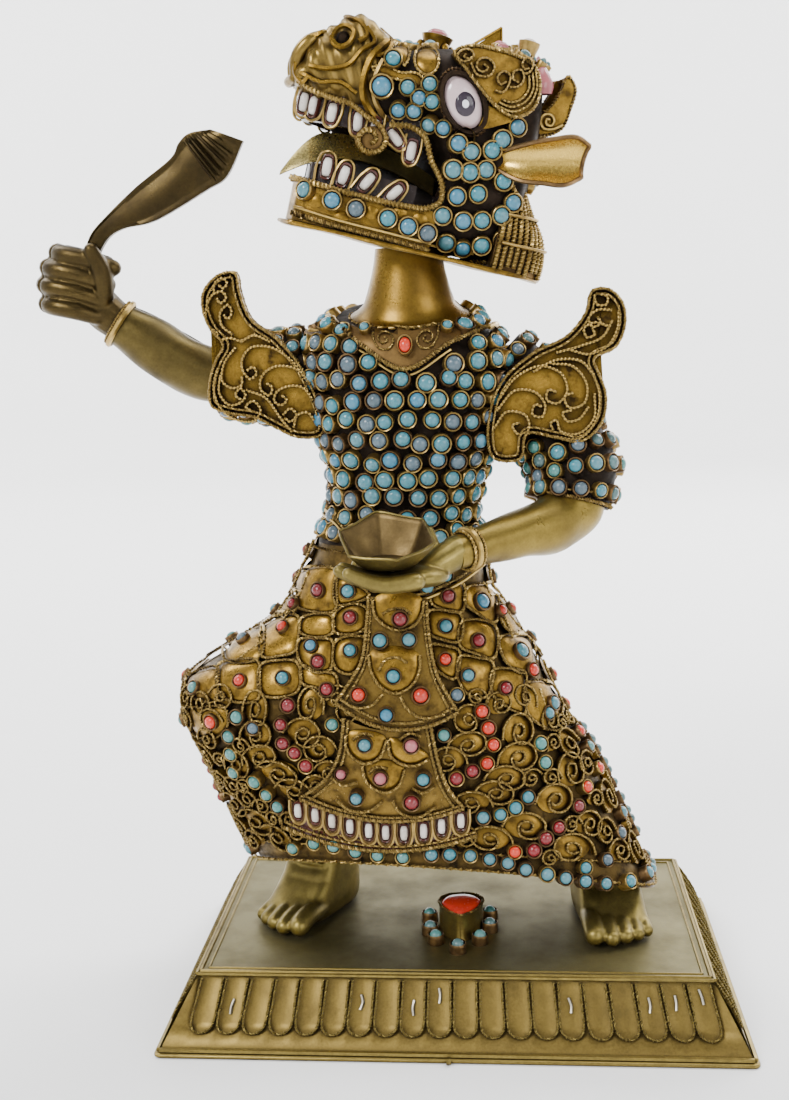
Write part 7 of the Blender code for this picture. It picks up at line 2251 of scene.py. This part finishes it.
# The near brow's wires as the head's close view shows them.
BROW_CURLS = (
    (
        (806, 196), (770, 208), (746, 186), (764, 164), (800, 164), (812, 184), (792, 198), (772, 190),
        (780, 178)),
    (
        (800, 215), (826, 262), (878, 264), (894, 226), (866, 196), (830, 204), (824, 236), (850, 250),
        (868, 236), (852, 220)),
    ((898, 325), (926, 332), (952, 300), (956, 264), (930, 248), (906, 272), (918, 300), (942, 290)),
    ((956, 312), (988, 310), (1012, 276), (1002, 244), (974, 248), (968, 280), (990, 292)),
    ((1006, 262), (1036, 250), (1048, 216), (1026, 194), (1006, 214), (1014, 240), (1032, 236)))
BROW_EDGES = (
    ((1060, 236), (1064, 320), (1032, 382), (970, 408), (905, 384)),
    ((1047, 250), (1050, 320), (1017, 370), (966, 390), (915, 372)),
    ((1034, 262), (1032, 320), (1002, 358), (962, 371), (925, 359)))
# A brow's face: how far out it stands at one level, and how much it leans in above that.
BROW_FACE = 21.4
BROW_LEAN = 0.06
BROW_LEVEL = 44
EYE_CENTRE = (-4.2, 44.6)
EYE_RADII = (6.0, 7.0)
EYE_SLANT = 0.35
# The eye's rings: how far out they stand, and their share of its radii.
EYE_STEPS = ((15.0, 1.02), (18.4, 1.0), (19.6, 0.94), (20.5, 0.78), (21.0, 0.55), (21.3, 0.3), (21.35, 0.04))


def brow_spot(a, b):
    """Where a place in the head's close view lies on the near brow's face, as U and V."""
    start, way = head_ray(a, b)
    reach = (BROW_FACE - BROW_LEAN * (start[2] - BROW_LEVEL) - start[1]) / (way[1] + BROW_LEAN * way[2])
    spot = start + way * reach
    return spot[0], spot[2]


def make_brows():
    """A filigree leaf over each eye, raised on its own walls, with curls that stand on edge."""
    for side, name in ((1, "brow_near"), (-1, "brow_far")):
        shape = Shape()

        def place(u, v, depth, side=side):
            return np.array((u, side * (BROW_FACE - BROW_LEAN * (v - BROW_LEVEL) - depth), v))

        def chart(u, v, side=side):
            return place(u, v, 0.0, side), np.array((0, side, BROW_LEAN))

        outline = smooth_line(BROW_OUTLINE if side > 0 else BROW_OUTLINE[::-1], 1.2, closed=True)
        filled(shape, outline, place, 6.5, "gilt_sheet")
        lay(shape, chart, outline, 0.7, "gilt_wire", closed=True, lift=0.9)
        for line in BROW_CURLS:
            raise_wire(shape, chart, [brow_spot(a, b) for a, b in line], 1.5, 0.4, wire="gilt_rim", step=0.5)
        for line in BROW_EDGES:
            raise_wire(shape, chart, [brow_spot(a, b) for a, b in line], 0.9, 0.42, step=0.6)
        shape.build(name, (name,), HEAD_MATRIX, "gilt_brass")


def eye_ring(reach, share, side, grow=0.0, centre=EYE_CENTRE, radii=EYE_RADII, slant=EYE_SLANT):
    angles = np.linspace(0, TAU, 40, endpoint=False) * side
    du = (radii[0] * share + grow) * np.cos(angles)
    dv = (radii[1] * share + grow) * np.sin(angles)
    return np.stack([centre[0] + du + slant * dv, np.full(40, side * reach), centre[1] + dv], axis=1)


def make_eyes():
    """A slanting enamel oval with a dark ring and a pale highlight painted on it, in a dark rim with a bright
    wedge at its corner.
    """
    for side, name in ((1, "eye_near"), (-1, "eye_far")):
        shape = Shape()
        shape.add_grid([eye_ring(r, s, side) for r, s in EYE_STEPS][::-1], "eye_white", closed=True,
            caps=(True, False))
        pupil = (-4.6, 44.2)
        # The dark pupil, with a pale disc at its middle painted as a highlight.
        for finish, steps in (
                ("pupil", ((20.4, 1.0), (21.2, 0.96), (21.7, 0.7), (21.8, 0.05))),
                ("pupil_glow", ((21.5, 0.36), (22.0, 0.3), (22.1, 0.04)))):
            rings = [eye_ring(r, s, side, 0.0, pupil, (3.1, 3.5), 0.1) for r, s in steps]
            shape.add_grid(rings[::-1], finish, closed=True, caps=(True, False))
        for grow, radius, finish in ((0.7, 0.95, "dark_gap"), (1.7, 0.6, "bezel_brown")):
            ring = eye_ring(20.2, 1.0, side, grow)
            add_wire(shape, ring, (0, side, 0), radius, finish, finish != "dark_gap", closed=True)
        wedge = ((-11.4, 45.4), (-18.6, 44.4), (-19.0, 42.6), (-13.0, 39.4), (-9.8, 38.4))
        wedge = wedge if side > 0 else wedge[::-1]
        filled(shape, wedge, lambda u, v, depth: np.array((u, side * (20.6 - depth), v)), 1.6, "gilt_sheet")
        shape.build(name, (name,), HEAD_MATRIX, "eye_enamel")


# Each section: its U, V and W, its half height, and how deep its trough is.
EAR_SECTIONS = (
    (-17.6, 31.4, 17.0, 2.2, 1.0), (-24.0, 32.2, 20.4, 5.0, 3.0), (-31.0, 34.0, 22.4, 6.3, 4.2),
    (-38.0, 35.6, 24.0, 6.6, 4.2), (-41.6, 36.4, 24.8, 4.6, 2.8))


def make_ears():
    """Polished troughs of sheet with a turned rim."""
    for side, name in ((1, "ear_near"), (-1, "ear_far")):
        knots = [-row[0] for row in EAR_SECTIONS]
        rows = hermite(knots, EAR_SECTIONS, np.linspace(knots[0], knots[-1], 26))
        s = np.linspace(-1, 1, 13)
        rings = []
        for u, v, w, half, depth in rows:
            front = [(u, side * (w + depth * t * t), v + half * t) for t in s]
            back = [(u, side * (w + depth * t * t - 1.0), v + half * t) for t in s[::-1]]
            rings.append(front + back)
        rings = np.array(rings)
        shape = Shape()
        shape.add_grid(rings[::side], "ear_sheet", closed=True, caps=(True, True))
        edge = np.concatenate([rings[::-1, 12], rings[0, 11:0:-1], rings[:, 0], rings[-1, 1:12]])
        edge = smooth_line(edge[:-1], 0.9, closed=True)
        add_wire(shape, edge, (0, side, 0), 0.7, "bezel_brown", False, closed=True)
        shape.build(name, (name,), HEAD_MATRIX, "gilt_brass")


HORN_BASE = ((0.8, 57.6), (-15.8, 58.4))
HORN_TIP = (-13.2, 0.0, 70.6)
KNOB = ((4.6, 0), (5.25, 1.6), (4.2, 3.2), (3.85, 4.6), (4.4, 6.2), (4.85, 7.4), (3.8, 7.8), (3.65, 7.2))
CROWN_BEZEL = ((2.7, 0), (3.1, 0.6), (2.6, 3.4), (3.2, 5.6), (3.3, 6.6), (2.7, 6.8), (2.5, 6.0))
BACK_DROP = ((4.2, 0), (4.6, 1.6), (4.2, 3.4), (3.0, 5.2), (1.6, 6.8), (0, 8.0))
BACK_LEAF = (
    (-24, 41), (-30, 42), (-36.4, 45.4), (-38, 52), (-37.4, 59), (-35, 61), (-33.6, 56), (-31, 50), (
        -24, 46))


def make_crown():
    """The horn, the forehead's knob, small bezels and the leaf that holds a pink drop."""
    shape = Shape()
    tip = np.array(HORN_TIP)
    rings = []
    for share in np.linspace(0, 0.97, 9):
        ring = []
        for (u, v), w in ((HORN_BASE[0], 1.6), (HORN_BASE[1], 3.4), (HORN_BASE[1], -3.4),
                (HORN_BASE[0], -1.6)):
            ring.append(np.array((u, w, v - 2.0)) * (1 - share) + tip * share)
        rings.append(ring)
    shape.add_grid(rings, "gilt_sheet", closed=True, caps=(True, True))
    for (u, v), w in ((HORN_BASE[1], 3.4), (HORN_BASE[1], -3.4), (HORN_BASE[0], 1.6), (HORN_BASE[0], -1.6)):
        line = np.linspace((u, w, v), tip, 12)
        add_wire(shape, line, (0, 1, 0), 0.4, "gilt_sheet", False)
    add_turned(shape, KNOB, 24, (5.0, 0, 56.0), "gilt_sheet")
    add_turned(shape, ((3.5, 7.2), (3.2, 8.4), (2.0, 9.3), (0, 9.6)), 24, (5.0, 0, 56.0), "pink_stone")
    for angle in np.linspace(0, TAU, 6, endpoint=False):
        add_ball(shape, (5.0 + 4.7 * math.cos(angle), 4.7 * math.sin(angle), 59.4), (1.3, 1.3, 2.2),
            "gilt_sheet")
    for w in (-6, 6):
        add_turned(shape, CROWN_BEZEL, 18, (-21.5, w, 61.0), "gilt_rim")
        add_turned(shape, ((2.6, 6.0), (2.3, 6.9), (1.2, 7.5), (0, 7.6)), 18, (-21.5, w, 61.0), "white_inlay")
    for angle in np.linspace(0, TAU, 7, endpoint=False):
        place = np.array((-25.0 + 3.4 * math.cos(angle), 8.4 * math.sin(angle), 61.0))
        set_stone(shape, place, (-0.3, 0.3 * math.sin(angle), 1), 1.6, "dull_turquoise", 1.2)
    outline = smooth_line(BACK_LEAF, 1.0, closed=True)
    for side in (1, -1):
        half = 8.0 * side

        def place(u, v, depth, half=half, side=side):
            return np.array((u, half - side * depth, v))

        filled(shape, outline[::side], place, 1.2, "gilt_sheet")
        ring = np.column_stack([outline[:, 0], np.full(len(outline), half + side * 0.2), outline[:, 1]])
        add_wire(shape, ring, (0, side, 0), 0.7, closed=True)
        curl = [(-32.5 + a, half + side * 0.5, 46.6 + b) for a, b in scaled(CURL_LINE, 6.5, 6.5, 0.6)]
        curl = smooth_line(curl, 0.5)
        add_wire(shape, curl, (0, side, 0), 0.5, "gilt_wire", False)
    bend = smooth_line(BACK_LEAF[:6], 1.0)
    sheet = [[(u, w, v) for u, v in bend] for w in np.linspace(-8, 8, 9)]
    shape.add_grid(sheet, "gilt_sheet")
    points, faces = revolve(BACK_DROP, 24)
    turned = np.array(Matrix.Rotation(math.radians(12), 3, "Y"))
    for w in (-8.8, 0.0, 8.8):
        shape.add(points @ turned.T * (0.86, 1, 1.1) + (-27.6, w, 53.6 if w else 57.0), faces, "pink_stone")
    shape.build("crown", ("horn", "forehead_jewel", "crown_bezel_near", "crown_bezel_far", "back_leaf",
        "back_jewel"),
                HEAD_MATRIX, "gilt_brass")


# Each section: its V, how far back it reaches, and its half width.
MANE_SECTIONS = (
    (0.8, -40.6, 15.2), (7, -40.4, 15.6), (13, -38.4, 15.6), (19, -34.0, 14.8), (25.5, -30.2, 12.8))


def make_mane():
    """Twisted wires laid side by side behind the cheek, stepped at their ends."""
    shape = Shape()
    rings = []
    for v, back, half in MANE_SECTIONS:
        outline = [(-23.5, half + 2.3), (back + 5.0, half), (back + 1.0, half * 0.75), (back, half * 0.4),
            (back, 0)]
        loop = outline + [(u, -w) for u, w in reversed(outline[:-1])]
        rings.append([(u, w, v) for u, w in loop])
    skin = Skin([row[0] for row in MANE_SECTIONS], rings, 132, 24)
    skin.sheet(shape, "brown_sheet", caps=(True, True))
    count = 46
    for k in range(count):
        turn = (k + 0.5) / count
        place = skin.point(turn, 0.5)
        if place[0] > -23.8:
            continue
        start = 0.0 if k % 4 < 2 else 0.07
        line = [skin.place(turn, start + (1 - start) * t / 11) for t in range(12)]
        points = smooth_line([p + n * 0.5 for p, n in line], 0.6)
        add_wire(shape, points, line[5][1], 0.95)
    for rise in (0.34, 0.66):
        ring = [skin.place(k / 80, rise) for k in range(80)]
        ring = [(p, n) for p, n in ring if p[0] < -23.8]
        points = np.array([p + n * 1.5 for p, n in ring])
        add_wire(shape, points, np.array([n for _, n in ring]), 0.5, "gilt_rim", False)
    shape.build("mane", ("mane",), HEAD_MATRIX, "gilt_brass")


def make_head():
    """Every part of the head."""
    make_skull()
    make_mouth_lining()
    make_nose()
    make_jaw()
    make_teeth()
    make_tongue()
    make_chin()
    make_brows()
    make_eyes()
    make_ears()
    make_crown()
    make_mane()


# Operators, panel and run

class STATUE_OT_plinth(bpy.types.Operator):
    """Make the plinth's sheet, petals and jewels."""
    bl_idname = "statue.plinth"
    bl_label = "Plinth"

    def execute(self, context):
        make_plinth()
        make_plinth_jewel()
        return {"FINISHED"}


class STATUE_OT_skirt(bpy.types.Operator):
    """Make the skirt's scales, curls and stones."""
    bl_idname = "statue.skirt"
    bl_label = "Skirt"

    def execute(self, context):
        make_skirt()
        return {"FINISHED"}


class STATUE_OT_apron(bpy.types.Operator):
    """Make the apron's tiers and fringe."""
    bl_idname = "statue.apron"
    bl_label = "Apron"

    def execute(self, context):
        make_apron()
        return {"FINISHED"}


class STATUE_OT_bodice(bpy.types.Operator):
    """Make the bodice with its stones, necklace and waist wire."""
    bl_idname = "statue.bodice"
    bl_label = "Bodice"

    def execute(self, context):
        make_bodice()
        make_waist()
        return {"FINISHED"}


class STATUE_OT_neck(bpy.types.Operator):
    """Make the neck and its wires."""
    bl_idname = "statue.neck"
    bl_label = "Neck"

    def execute(self, context):
        make_neck()
        return {"FINISHED"}


class STATUE_OT_feet(bpy.types.Operator):
    """Make the two bare feet."""
    bl_idname = "statue.feet"
    bl_label = "Feet"

    def execute(self, context):
        make_feet()
        return {"FINISHED"}


class STATUE_OT_arms(bpy.types.Operator):
    """Make the sleeves, forearms and bracelets."""
    bl_idname = "statue.arms"
    bl_label = "Arms"

    def execute(self, context):
        make_sleeves()
        make_forearms()
        return {"FINISHED"}


class STATUE_OT_hands(bpy.types.Operator):
    """Make the fist and the open hand."""
    bl_idname = "statue.hands"
    bl_label = "Hands"

    def execute(self, context):
        make_raised_hand()
        make_open_hand()
        return {"FINISHED"}


class STATUE_OT_held(bpy.types.Operator):
    """Make the knife and the cup."""
    bl_idname = "statue.held"
    bl_label = "Knife and cup"

    def execute(self, context):
        make_knife()
        make_cup()
        return {"FINISHED"}


class STATUE_OT_flames(bpy.types.Operator):
    """Make the flame on each shoulder."""
    bl_idname = "statue.flames"
    bl_label = "Flames"

    def execute(self, context):
        make_flames()
        return {"FINISHED"}


class STATUE_OT_head(bpy.types.Operator):
    """Make the dragon's head with its jaw, teeth, brows, ears and crown."""
    bl_idname = "statue.head"
    bl_label = "Head"

    def execute(self, context):
        make_head()
        return {"FINISHED"}


class STATUE_OT_stage(bpy.types.Operator):
    """Make the floor, the lamps and the camera."""
    bl_idname = "statue.stage"
    bl_label = "Stage"

    def execute(self, context):
        make_stage()
        make_camera()
        return {"FINISHED"}


OPERATORS = (
    STATUE_OT_plinth, STATUE_OT_skirt, STATUE_OT_apron, STATUE_OT_bodice, STATUE_OT_neck, STATUE_OT_feet,
    STATUE_OT_arms, STATUE_OT_hands, STATUE_OT_held, STATUE_OT_flames, STATUE_OT_head, STATUE_OT_stage,
)


class STATUE_PT_build(bpy.types.Panel):
    """Buttons for the statue's pieces, with its sizes and colours."""
    bl_idname = "STATUE_PT_build"
    bl_label = "Statue"
    bl_space_type = "VIEW_3D"
    bl_region_type = "UI"
    bl_category = "Statue"

    def draw(self, context):
        for label in ("wire", "fine_wire", "twist", "stone", "bezel"):
            self.layout.prop(context.scene.statue_sizes, label)
        for label in ("gilt", "brass", "plinth", "turquoise", "coral"):
            self.layout.prop(context.scene.statue_colours, label)
        for operator in OPERATORS:
            self.layout.operator(operator.bl_idname)


CLASSES = (StatueSizes, StatueColours, *OPERATORS, STATUE_PT_build)


def register():
    for cls in CLASSES:
        bpy.utils.register_class(cls)
    bpy.types.Scene.statue_sizes = bpy.props.PointerProperty(type=StatueSizes)
    bpy.types.Scene.statue_colours = bpy.props.PointerProperty(type=StatueColours)


def unregister():
    del bpy.types.Scene.statue_colours
    del bpy.types.Scene.statue_sizes
    for cls in reversed(CLASSES):
        bpy.utils.unregister_class(cls)


def main():
    register()
    bpy.ops.statue.plinth()
    bpy.ops.statue.skirt()
    bpy.ops.statue.apron()
    bpy.ops.statue.bodice()
    bpy.ops.statue.neck()
    bpy.ops.statue.feet()
    bpy.ops.statue.arms()
    bpy.ops.statue.hands()
    bpy.ops.statue.held()
    bpy.ops.statue.flames()
    bpy.ops.statue.head()
    bpy.ops.statue.stage()


if __name__ == "__main__":
    main()
